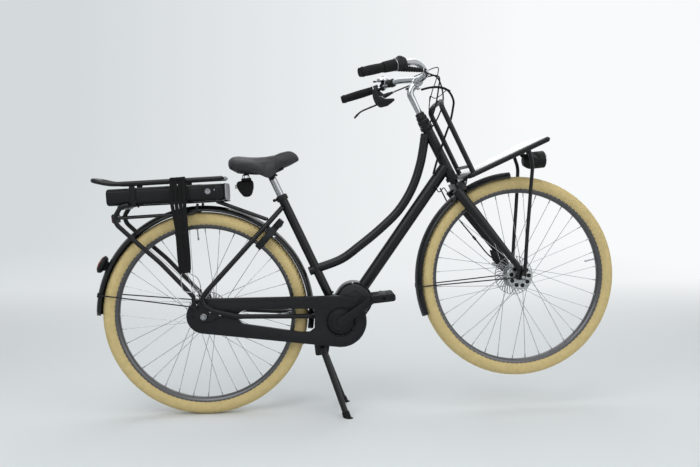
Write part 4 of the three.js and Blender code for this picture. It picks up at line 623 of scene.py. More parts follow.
@dataclass
class Bench:
    """Turns shells into finished pieces of the scene, each on its body and in its place."""

    bike: Place
    steered: Place

    def piece(self, name: str, shells: Sequence[Shell] | Shell, finish: Finish, body: str | None,
              place: Place | None = None, replaces: Sequence[str] = (), crease: float = 38.0,
              bevel: float = 0.0) -> bpy.types.Object:
        """Makes one piece.

        Args:
            name: the piece's name.
            shells: its surfaces, each closed.
            finish: what it is covered with.
            body: the body that it rides on, or None for a piece that is put on no body.
            place: the group it stands in; the bike's own frame if left out.
            replaces: the model's nodes that it stands for.
            crease: the angle in degrees past which an edge stays sharp.
            bevel: the width in millimetres of a rounded edge, or 0 for none.

        Returns:
            The object.
        """
        shells = [shells] if isinstance(shells, Shell) else list(shells)
        starts = np.cumsum([0] + [len(shell.points) for shell in shells])
        points = (place or self.bike).carry(np.concatenate([shell.points for shell in shells]))
        faces = [[k + start for k in face] for shell, start in zip(shells, starts.tolist())
                 for face in shell.faces]
        mesh = bpy.data.meshes.new(name)
        mesh.from_pydata(points.tolist(), [], faces)
        work = bmesh.new()
        work.from_mesh(mesh)
        bmesh.ops.remove_doubles(work, verts=work.verts, dist=2e-6)
        bmesh.ops.dissolve_degenerate(work, edges=work.edges, dist=1e-6)
        bmesh.ops.recalc_face_normals(work, faces=work.faces)
        work.to_mesh(mesh)
        work.free()
        mesh.polygons.foreach_set("use_smooth", np.ones(len(mesh.polygons), bool))
        mesh.set_sharp_from_angle(angle=math.radians(crease))
        mesh.materials.append(finish.material())
        made = bpy.data.objects.new(name, mesh)
        bpy.context.scene.collection.objects.link(made)
        if bevel:
            edges = made.modifiers.new("edges", "BEVEL")
            edges.width, edges.segments, edges.limit_method = bevel / 1000, 2, "ANGLE"
            edges.angle_limit, edges.harden_normals = math.radians(crease), True
        if body:
            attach(made, body)
        if replaces:
            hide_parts(*replaces)
        LOG.info("%s: %d faces on %s", name, len(mesh.polygons), body)
        return made


# ---------------------------------------------------------------- wheels


@dataclass
class Wheel:
    """One wheel about the y axis: tyre, rim, spokes, hub and the finned disc of its brake."""

    name: str
    place: Place
    body: str
    valve_angle: float
    drum_y: float
    flange: float = 46.0
    flange_y: float = 31.0
    section: float = 25.0
    tyre_steps: int = 900
    grooves: tuple = (-8.5, -2.8, 2.8, 8.5)
    notches: int = 118
    tread_depths: tuple = (1.1, 2.2, 1.2)
    rim_outer: float = 317.5
    rim_inner: float = 302.0
    rim_half: float = 16.5
    spokes_a_side: int = 18
    disc_radius: float = 72.0
    disc_thick: float = 3.0
    fins: int = 36
    fin_half: float = 1.5
    fin_lean: float = math.radians(16)

    def build(self, bench: Bench) -> None:
        """Makes the wheel's pieces."""
        n, b, p = self.name, self.body, self.place
        bench.piece(f"{n}_tyre_cover", self.tyre(), CREAM, b, p, [f"{n}_tyre"], crease=60)
        bench.piece(f"{n}_rim_ring", self.rim(), RIM, b, p, [f"{n}_rim"])
        bench.piece(f"{n}_valve_stem", self.valve(), STEEL, b, p)
        bench.piece(f"{n}_hub_shell", self.hub(), ALLOY, b, p, [f"{n}_hub"], crease=30)
        # The hub's window shade is painted shade: a dark disc that darkens the flange's windows.
        bench.piece(f"{n}_hub_window_shade", self.inset(), DARK_STEEL, b, p)
        bench.piece(f"{n}_spokes", self.spokes(), STEEL, b, p)
        bench.piece(f"{n}_brake_disc", self.disc(), ALLOY, b, p, [f"{n}_cooling_disc"], crease=30)

    def tyre(self) -> Shell:
        """A round casing whose tread has four grooves and two rings of notches a side.

        The radius at side angle a is 336 + 25 cos a. Each groove takes a dip of a V section off it.
        The notches, at the shoulders and between the grooves, follow one wave round the tyre.
        """
        turns, centre = self.tyre_steps, TYRE_RADIUS - self.section
        side = np.radians(np.concatenate([np.linspace(-137, -62, 9), np.linspace(-58, 58, 47),
                                          np.linspace(62, 137, 9)]))
        r = centre + self.section * np.cos(side)
        y = self.section * np.sin(side)
        dip = sum(np.clip(1 - np.abs(y - at) / 1.5, 0, 1) for at in self.grooves)
        around = np.arange(turns) * 2 * math.pi / turns
        notch = np.clip(np.sin(self.notches * around[:, None] + np.abs(y)[None] * 0.25), 0, 1) ** 0.5
        shoulder = np.clip(1 - np.abs(np.abs(y) - 15.5) / 4.5, 0, 1) ** 0.5
        middle = np.clip(1 - np.abs(np.abs(y) - 5.6) / 2, 0, 1) * np.roll(notch, 3, axis=0)
        cut, edge, slit = self.tread_depths
        wave = -cut * dip[None] - edge * notch * shoulder[None] - slit * middle
        inside = np.array([[317.9, 11.5], [329, 13.5], [342, 15], [348, 0], [342, -15], [329, -13.5],
                           [317.9, -11.5]])
        bead = np.column_stack([r, y])
        profile = np.vstack([bead, inside])
        profile[:, 0] = np.maximum(profile[:, 0], self.rim_outer + 0.3)
        return turned(profile, turns, np.hstack([wave, np.zeros((turns, len(inside)))]))

    def rim(self) -> list[Shell]:
        """A box rim: straight walls that narrow to a rounded bed."""
        w, out, low = self.rim_half, self.rim_outer, self.rim_inner
        profile = [(out, -w), (out, w), (out - 1.2, w), (out - 6.2, w * 0.97), (low + 3, w * 0.62),
                   (low + 0.6, w * 0.4), (low, 0), (low + 0.6, -w * 0.4), (low + 3, -w * 0.62),
                   (out - 6.2, -w * 0.97), (out - 1.2, -w)]
        return [turned(profile, 240)]

    def around(self, radius: float, y: float, angle: float) -> np.ndarray:
        """A point of the wheel at a radius, a side distance and an angle."""
        return np.array([radius * math.cos(angle), y, radius * math.sin(angle)])

    def valve(self) -> list[Shell]:
        """The valve with its ring nut and cap, pointing at the hub."""
        at = [self.around(r, 0, self.valve_angle) for r in (self.rim_inner + 3, 264, 299, 302, 271, 262)]
        return [rod(at[0], at[1], 2.6, sides=12), rod(at[2], at[3], 4.6, sides=6),
                rod(at[4], at[5], 3.4, 3.0, 14)]

    def spokes(self) -> list[Shell]:
        """Crossed spokes with nipples, hooked in from both faces of each flange."""
        made = []
        for side in (-1, 1):
            for i in range(self.spokes_a_side):
                angle = (i + (0.5 if side > 0 else 0.0)) * 2 * math.pi / self.spokes_a_side
                odd = i % 2
                lap = math.radians(44 if odd else -44)
                hub_y = self.flange_y + (0.6 if odd else -3.6)
                inner = self.around(self.flange - 4, side * hub_y, angle + lap)
                outer = self.around(301.4, side * (4 + (1.3 if odd else -1.3)), angle)
                span = outer - inner
                made.append(rod(inner, outer, 1.05, sides=8))
                made.append(rod(outer - span * 0.05, outer + span * 0.003, 1.9, 2.2, 8))
                made.append(dome(inner + [0, side * (0.6 if odd else -0.6), 0],
                                 (0, side * (1 if odd else -1), 0), 2.4, 1.4, 10))
        return made

    def hub(self) -> list[Shell]:
        """A turned hub: a barrel, a flange with round windows, and a flange and drum on the brake side."""
        f, fy, drum = self.flange, self.flange_y, 33.0
        profile = [(5.3, -36), (11, -36), (12, -35), (13, -32.5), (21, -31.6), (22, -fy + 1), (24, -14),
                   (23.4, 0), (24, 14), (26, fy - 8), (31, fy - 4), (f - 1, fy - 3), (f, fy - 2), (f, fy - 1),
                   (f - 1, fy), (drum + 3, fy + 0.5), (drum, fy + 2), (drum, self.drum_y - 1),
                   (drum - 1, self.drum_y), (5.3, self.drum_y)]
        windows = [circle(x, z, 7.8, 24) for x, z in on_circle(0, 0, 32.5, np.arange(9) * math.pi / 4.5)]
        flange = plate(circle(0, 0, f, 96), -fy, -fy + 3, [circle(0, 0, 5.4, 24), *windows], 0.6)
        return [turned(profile, 96), flange]

    def inset(self) -> list[Shell]:
        """A dark disc just inside the flange, painted shade: it stands for the shade seen through the
        flange's windows.
        """
        return [plate(circle(0, 0, self.flange - 3, 72), 3.3 - self.flange_y, 4.3 - self.flange_y,
                      [circle(0, 0, 24.6, 48)])]

    def disc(self) -> list[Shell]:
        """The cooling disc: a collar and a thin rim, joined by slanted fins with open gaps between them."""
        y0, y1 = self.drum_y + 0.3, self.drum_y + 0.3 + self.disc_thick
        rim, collar = self.disc_radius, 38.0
        shells = [plate(circle(0, 0, collar, 72), y0, y1, [circle(0, 0, 20, 48)], 0.7)]
        shells.append(turned([(rim - 2.6, y0), (rim, y0), (rim, y1), (rim - 2.6, y1)], 120))
        section = soft_box(self.disc_thick / 2 - 0.1, self.fin_half, 0.4, 2)
        for angle in np.arange(self.fins) * 2 * math.pi / self.fins:
            reach = np.linspace(collar - 0.6, rim - 2, 4)
            lean = self.fin_lean * (reach - collar) / (rim - collar)
            path = np.array([self.around(r, (y0 + y1) / 2, angle + turn) for r, turn in zip(reach, lean)])
            shells.append(carried(path, section, side=(0, 1, 0)))
        return shells


# ---------------------------------------------------------------- frame and drive


@dataclass
class FrameTubes:
    """The painted tubes, the motor's bracket, the dropouts and the weld beads."""

    top: tuple = ((0.3363, 0.0938), (0.3558, 0.0991), (0.4425, 0.1212), (0.5035, 0.1558), (0.5779, 0.2044),
                  (0.6407, 0.2549), (0.6903, 0.3195), (0.7239, 0.392), (0.7442, 0.4619), (0.7496, 0.485))
    down: tuple = ((0.8035, 0.3761), (0.5009, 0.0265))
    seat: tuple = ((0.2748, 0.3434), (0.3973, -0.0106))
    stay: tuple = ((0.2761, 0.3053), (0.2257, 0.2602), (0.0177, 0.0761), (0.0009, 0.0549), (0.008, 0.0327),
                   (0.0301, 0.015), (0.1044, -0.0115), (0.3239, -0.0425), (0.3735, -0.0513))
    stay_y: tuple = (-19, -46, -73, -73, -73, -73, -73, -38, -29)
    dropout: tuple = ((-0.0283, 0.0088), (-0.0265, 0.0442), (0.0088, 0.0442), (0.0531, 0.0088),
                      (0.0531, -0.0044), (0.0177, -0.0159), (-0.0159, -0.0159))
    gusset: tuple = ((0.3434, -0.0549), (0.3646, -0.0549), (0.3788, -0.108), (0.3752, -0.1416),
                     (0.3664, -0.1752), (0.3257, -0.1752), (0.3257, -0.1389))
    crank: tuple = (0.4168 * WHEELBASE, -0.0673 * WHEELBASE)
    motor: tuple = (0.4664 * WHEELBASE, -0.0106 * WHEELBASE)

    def build(self, bench: Bench) -> None:
        """Makes the frame, its fittings and the motor."""
        bench.piece("frame_tubes", self.tubes(), PAINT, "frame", replaces=["frame"])
        bench.piece("frame_plates", self.plates(), PAINT, "frame")
        bench.piece("frame_bolts", self.bolts(), STEEL, "frame")
        bench.piece("motor_case", self.motor_case(), MOTOR, "frame", replaces=["motor_unit"])
        bench.piece("motor_trim", self.motor_trim(), PLASTIC, "frame")

    def tubes(self) -> list[Shell]:
        """Round tubes with their joins, each a circle carried along its own path."""
        seat = spots(self.seat)
        down = spots(self.down)
        low, high = on_head(19.5), on_head(236)
        up = (seat[0] - seat[1]) / np.linalg.norm(seat[0] - seat[1])
        curve = smooth(spots(self.top), 72)
        stay = rounded(spots(self.stay, self.stay_y), 16, 8)
        made = [tube(curve, 16), tube(evenly(down, 24), 21.5, 32), self.sleeve(low, high, 18.5, 15.2)]
        made.append(self.sleeve(low, on_head(31.5), 23, 15.2))
        made.append(self.sleeve(on_head(224), high, 23, 15.2))
        made.append(self.sleeve(seat[0], seat[0] - up * 215, 16.3, 14.3))
        made.append(rod(seat[0] - up * 210, seat[1], 16))
        made += pair(tube(stay, 8.5, 20))
        made.append(rod(*spots([(0.2319, 0.2681)] * 2, (-46, 46)), 8))
        made += [ring_on(seat[0] - up * 296, up, 16.3, 1.2),
                 ring_on(curve[4], curve[5] - curve[3], 16.2, 1.2)]
        made += [ring_on(down[0] + (down[1] - down[0]) * 0.045, down[1] - down[0], 21.6, 1.3, 40)]
        made += [ring_on(curve[-3], curve[-1] - curve[-3], 16.2, 1.2),
                 ring_on(down[1], down[1] - down[0], 21.6, 1.3, 40)]
        made += [ring_on(low + HEAD_AXIS * 13, HEAD_AXIS, 22.6, 1.0, 40),
                 ring_on(high - HEAD_AXIS * 13, HEAD_AXIS, 22.6, 1.0, 40)]
        return made

    def sleeve(self, start: np.ndarray, end: np.ndarray, outer: float, inner: float) -> Shell:
        """A tube with an open bore: a ring section turned about its own axis."""
        span = float(np.linalg.norm(end - start))
        profile = [(inner, 0), (outer - 0.8, 0), (outer, 0.8), (outer, span - 0.8), (outer - 0.8, span),
                   (inner, span)]
        return turned(profile, 48).moved(standing(start, end - start))

    def plates(self) -> list[Shell]:
        """The bracket round the motor, both dropouts and the stand's block."""
        hole = belt(self.crank, 55.3, self.motor, 58.3, 48)
        rim = belt(self.crank, 62.5, self.motor, 65.5, 48)
        drop = softened(np.array(self.dropout) * WHEELBASE, 9)
        block_outline = softened(np.array(self.gusset) * WHEELBASE, 8)
        made = [plate(rim, -30, 30, [hole], 2.0), plate(block_outline, -15, 15, edge=2.5)]
        made += pair(plate(drop, -66, -72, [circle(0, 0, 5.4, 24)], 1.0))
        return made

    def bolts(self) -> list[Shell]:
        """The bolts that hold the dropouts' fittings and the motor in its bracket."""
        made = []
        for x, z, size in ((-20, 44, 4.4), (24, 14, 4.4), (57, 0, 5.0)):
            made += pair(dome((x, -72, z), (0, -1, 0), size, 2.6))
        for x, z in ((455, 20), (529, 55), (566, -61)):
            made += pair(dome((x * 0.985 + 7, -30, z * 0.9), (0, -1, 0), 4.2, 2.2))
        return made

    def motor_case(self) -> list[Shell]:
        """The motor: a plate with deep rounded edges and a raised belt on each side."""
        outline = belt(self.crank, 55, self.motor, 58, 64)
        inner = belt(self.crank, 44, self.motor, 46, 64)
        made = [plate(outline, -42, 42, [circle(*self.crank, 11, 40)], 6)]
        made += pair(plate(inner, -41.5, -44.2, [circle(*self.crank, 14, 40)], 1.2))
        return made

    def motor_trim(self) -> list[Shell]:
        """Screws and raised rings on both sides of the motor."""
        made = []
        for x, z in on_circle(*self.motor, 38, [0.3 + i * math.pi / 3 for i in range(6)]):
            made += pair(dome((x, -43.8, z), (0, -1, 0), 2.8, 1.6, 12))
        made += pair([turned([(r, -44), (r + 1.6, -44), (r + 1.6, -45), (r, -45)], 64).moved(
            Matrix.Translation((self.motor[0], 0, self.motor[1]))) for r in (16, 24, 32)])
        return made


@dataclass
class DriveLine:
    """Cranks, pedals, chainring, chain, sprocket and the case round them."""

    frame: FrameTubes
    crank_angle: float = math.radians(29)
    reach: float = 170.0
    ring_teeth: int = 38
    ring_radius: float = 76.8
    sprocket_teeth: int = 19
    sprocket_radius: float = 38.4
    chain_y: float = -53.8
    link_length: float = 12.7
    slot: tuple = ((0.0965, -0.0106), (0.1204, 0.0053), (0.3407, -0.0168), (0.3319, -0.0894),
                   (0.2929, -0.0867), (0.1115, -0.0372))

    def build(self, bench: Bench) -> None:
        """Makes the drive line's pieces."""
        centre = (self.frame.crank[0], 0, self.frame.crank[1])
        crank = bench.bike.inside(centre, Matrix.Rotation(-self.crank_angle, 4, "Y"))
        bench.piece("chain_case_shell", self.case(), CASE, "frame", replaces=["chain_case"], crease=45)
        bench.piece("chain_case_trim", self.case_trim(), PLASTIC, "frame")
        bench.piece("chain_links", self.links(), STEEL, "frame", replaces=["chain"])
        bench.piece("chainring_teeth", self.teeth(self.ring_teeth, self.ring_radius, -52.3, -55.3, 40),
                    STEEL, "crank", crank, ["chainring"])
        sleeve = turned([(5.3, -36.3), (5.3, -51.7), (16, -51.7), (16, -36.3)], 48)
        bench.piece("sprocket_teeth",
                    self.teeth(self.sprocket_teeth, self.sprocket_radius, -52, -55, 6) + [sleeve],
                    STEEL, "sprocket", replaces=["rear_sprocket"])
        bench.piece("crank_arm_right", self.arm(-1) + self.cover(), DARK_STEEL, "crank", crank,
                    ["crank_right"])
        bench.piece("crank_arm_left", self.arm(1), DARK_STEEL, "crank", crank, ["crank_left"])
        bench.piece("crank_caps", self.caps(), DARK_STEEL, "crank", crank)
        for side, word in ((-1, "right"), (1, "left")):
            place = crank.inside((-side * self.reach, 0, 0), Matrix.Rotation(self.crank_angle, 4, "Y"))
            cage, treads, axle = self.pedal(side)
            bench.piece(f"pedal_{word}_cage", cage, PLASTIC, f"pedal_{word}", place, [f"pedal_{word}"])
            bench.piece(f"pedal_{word}_treads", treads, RUBBER, f"pedal_{word}", place)
            bench.piece(f"pedal_{word}_axle", axle, STEEL, f"pedal_{word}", place)

    def case(self) -> list[Shell]:
        """The chain case: a front skin and a rim wall with rounded edges, a slot and the crank's hole."""
        crank = self.frame.crank
        slot = softened(np.array(self.slot) * WHEELBASE, 12)
        outline, inside = belt((0, 0), 61, crank, 91, 72), belt((0, 0), 59, crank, 89, 72)
        made = [plate(outline, -62, -64, [slot, circle(*crank, 50, 72), circle(0, 0, 14, 40)], 0.9)]
        made.append(plate(outline, -47, -63, [inside], 0.9))
        centre = slot.mean(axis=0)
        made.append(plate(centre + (slot - centre) * 1.012, -47, -62.8, [centre + (slot - centre) * 0.997],
                          0.4))
        made.append(plate(belt((0, 0), 53, crank, 83, 72), -63.8, -64.9, [belt((0, 0), 50, crank, 80, 72)],
                          0.5))
        made += [rod((x, -62, z), (x, -65.7, z), 5) for x, z in ((-22, 34), (8, -13))]
        return made

    def case_trim(self) -> list[Shell]:
        """The bead round the crank's hole and the heads of the case's screws."""
        crank = self.frame.crank
        bead = turned([(50, -63), (53.4, -63), (54, -64.4), (53, -65.6), (50.6, -65.6), (49.6, -64.4)], 96)
        made = [bead.moved(Matrix.Translation((crank[0], 0, crank[1])))]
        for x, z in ((-40, 0), (30, -44), (250, 24), (250, -96), (crank[0] + 74, crank[1]),
                     (crank[0] - 30, crank[1] - 66)):
            made.append(dome((x, -64.6, z), (0, -1, 0), 4.2, 1.8, 16))
        return made

    def links(self) -> list[Shell]:
        """Chain links at every half inch of the belt's run: two side plates and a roller for each."""
        run = belt((0, 0), self.sprocket_radius, self.frame.crank, self.ring_radius, 60)
        loop = np.column_stack([run[:, 0], np.zeros(len(run)), run[:, 1]])
        loop = np.vstack([loop, loop[:1]])
        length = np.linalg.norm(np.diff(loop, axis=0), axis=1).sum()
        count = int(round(length / self.link_length / 2)) * 2
        stops = evenly(loop, count)
        made = []
        for i in range(count):
            a, b = stops[i], stops[i + 1]
            half = 3.4 if i % 2 else 2.3
            for y in (self.chain_y - half, self.chain_y + half):
                path = np.array([a * 1.0, (a + b) / 2, b * 1.0]) + [0, y, 0]
                made.append(carried(path, soft_box(0.45, 3.4, 0.3, 2), side=(0, 1, 0)))
            made.append(rod(a + [0, -50.6, 0], a + [0, -57.2, 0], 1.9, sides=8))
        return made

    def teeth(self, count: int, radius: float, y0: float, y1: float, bore: float) -> list[Shell]:
        """A toothed plate: the radius falls and rises once for each tooth."""
        angle = np.arange(count * 8) * 2 * math.pi / (count * 8)
        r = radius - 2 + 2 * np.clip(1.6 * np.cos(count * angle), -1, 1)
        outline = np.column_stack([r * np.cos(angle), r * np.sin(angle)])
        holes = [circle(0, 0, bore if bore < 20 else 10.2, 32)]
        if radius > 60:
            holes += [circle(x, z, 9, 20) for x, z in on_circle(0, 0, 50, np.arange(8) * math.pi / 4)]
        return [plate(outline, y0, y1, holes, 0.4)]

    def arm(self, side: int) -> list[Shell]:
        """A crank arm: a tapered bar with soft edges and a raised eye at each end."""
        sign = -side
        outline = belt((0, 0), 16, (self.reach, 0), 12, 32) * [sign, 1]
        slim = belt((8, 0), 10.5, (self.reach - 8, 0), 7.5, 32) * [sign, 1]
        made = [plate(outline, side * 72, side * 83, edge=3.2), plate(slim, side * 82, side * 84, edge=0.9)]
        if side < 0:
            made.append(rod((0, -74, 0), (0, 71.7, 0), 9.5))
        return made

    def cover(self) -> list[Shell]:
        """The cover in the chain case's hole: a raised disc inside a dark dished ring."""
        return [turned([(4.7, -55.7), (49.2, -55.7), (49.2, -57.6), (47.5, -58.4), (37, -58.8), (33.6, -60.4),
                        (33, -67), (31.6, -68.4), (17, -69.4), (4.7, -72)], 96)]

    def caps(self) -> list[Shell]:
        """The bolts at both ends of the bottom bracket's axle."""
        return nut((0, -83.9, 0), (0, -1, 0), 7, 3) + nut((0, 71.9, 0), (0, 1, 0), 6.5, 1.2)

    def pedal(self, side: int) -> tuple[list[Shell], list[Shell], list[Shell]]:
        """A block pedal: cage, rubber treads with bars, and axle."""
        y0, y1 = side * 92.0, side * 184.0
        frame_outline = softened(np.array([(-40, -8), (-34, -13), (34, -13), (40, -8), (40, 8), (34, 13),
                                           (-34, 13), (-40, 8)], float), 5)
        hole = softened(np.array([(-35, -8), (-7, -10), (-7, 10), (-35, 8)], float), 3)
        ends = [plate(frame_outline, y, y + side * 7, [circle(0, 0, 5.2, 20)], 1.4)
                for y in (y0, y1 - side * 7)]
        inner = plate(frame_outline, y0 + side * 6, y1 - side * 6, [hole, hole * [-1, 1]], 1.0)
        lo, hi = sorted((y0 + side * 8, y1 - side * 8))
        treads = []
        for x in (-23, 23):
            for z in (-12.4, 9.2):
                treads.append(block((x - 13, lo, z), (x + 13, hi, z + 3.2), 1.4))
        for y in np.arange(lo + 4, hi - 4, 6.5):
            for x in (-23, 23):
                treads += [rod((x - 12, y, z), (x + 12, y, z), 1.0, sides=8) for z in (-12.3, 12.3)]
        axle = [rod((0, side * 84.4, 0), (0, y0 + side * 2, 0), 5),
                rod((0, side * 86, 0), (0, side * 90, 0), 7.5, sides=6)]
        return ends + [inner], treads, axle


# ---------------------------------------------------------------- mudguards and carriers


@dataclass
class Mudguard:
    """A rolled mudguard round a wheel, with wire stays and their fittings."""

    name: str
    centre: tuple[float, float]
    outer: float
    low: float
    high: float
    eye: tuple[float, float]
    eye_y: float
    seat_y: float
    hem_angle: float
    half_width: float = 28.0
    depth: float = 18.0

    def build(self, bench: Bench, body: str, place: Place, node: str) -> None:
        """Makes the guard, its stays and its bolts."""
        bench.piece(f"{self.name}_guard", self.guard(), MUDGUARD, body, place, [node], crease=50)
        bench.piece(f"{self.name}_stays", self.stays(), DARK_STEEL, body, place)
        bench.piece(f"{self.name}_fittings", self.fittings(), PLASTIC, body, place)

    def on(self, radius: float, y: float, angle: float) -> np.ndarray:
        """A point round the guard's centre."""
        return np.array([self.centre[0] + radius * math.cos(angle), y,
                         self.centre[1] + radius * math.sin(angle)])

    def guard(self) -> Shell:
        """The guard: a half ellipse with a centre rib, a groove a side and rolled hems.

        Across the section, u = 28 cos a and v = 18 (sin a - 1). The inner side is 1.4 mm lower and the
        hems turn in.
        """
        a = np.linspace(0, math.pi, 41)
        groove = 0.5 * np.exp(-(((np.abs(np.cos(a)) - 0.55) / 0.08) ** 2))
        rib = 1.1 * np.exp(-((np.cos(a) * self.half_width / 4.5) ** 2)) - groove
        u, v = self.half_width * np.cos(a), self.depth * (np.sin(a) - 1) + rib - 1.1
        inner = ((self.half_width - 1.4) * np.cos(a),
                 self.depth * (np.sin(a) - 1) + rib - 2.4 * np.sin(a) ** 0.5 - 1.1)
        hem = np.array([[-self.half_width + 0.3, -self.depth - 2.2],
                        [-self.half_width + 2.0, -self.depth - 2.0]])
        outer = np.column_stack([u, v])
        back = np.column_stack(inner)[::-1]
        section = np.vstack([outer, hem, back, hem[::-1] * [-1, 1]])
        t = np.linspace(0, 1, 150)
        angle = self.low + (self.high - self.low) * t
        path = np.stack([self.on(self.outer, 0, x) for x in angle])
        ease = np.clip(np.minimum(t, 1 - t) / 0.012, 0, 1) ** 0.5
        width = 0.55 + 0.45 * ease
        cut = np.broadcast_to(section, (150,) + section.shape).copy()
        cut[..., 0] *= width[:, None]
        across = np.array([0, 1, 0])
        out = np.column_stack([np.cos(angle), np.zeros(150), np.sin(angle)])
        return grid(path[:, None] + across * cut[..., :1] + out[:, None] * cut[..., 1:])

    def stays(self) -> list[Shell]:
        """One wire on each side from its eye at the hub to the guard's hem."""
        eye = np.array([self.eye[0], self.eye_y, self.eye[1]])
        hem = self.on(self.outer - self.depth + 1, -self.half_width - 1.6, self.hem_angle)
        over = self.on(self.outer - 6, -self.half_width - 1.2, self.hem_angle)
        wire = tube(rounded(np.array([eye, eye + (hem - eye) * 0.97, over]), 8), 2.2, 12)
        ring = rod((eye[0], self.eye_y - 2.4, eye[2]), (eye[0], self.seat_y, eye[2]), 5.2)
        return pair([wire, ring])

    def fittings(self) -> list[Shell]:
        """The clip that holds each wire to the guard, and the bolts at the eyes."""
        made = []
        spot_at = self.on(self.outer - 12, -self.half_width - 2.6, self.hem_angle)
        away = self.on(1, 0, self.hem_angle) - self.on(0, 0, self.hem_angle)
        along = np.array([-away[2], 0, away[0]])
        path = np.array([spot_at - along * 8, spot_at - along * 6, spot_at + along * 6, spot_at + along * 8])
        clip = carried(path, soft_box(2.6, 7.5, 1.6, 4) * np.array([1, 1]), side=(0, 1, 0))
        made += pair([clip, dome(spot_at + [0, -2.4, 0], (0, -1, 0), 3.4, 1.8, 14)])
        made += pair(nut((self.eye[0], self.eye_y - 2.4, self.eye[1]), (0, -1, 0), 4.8, 2.6))
        return made


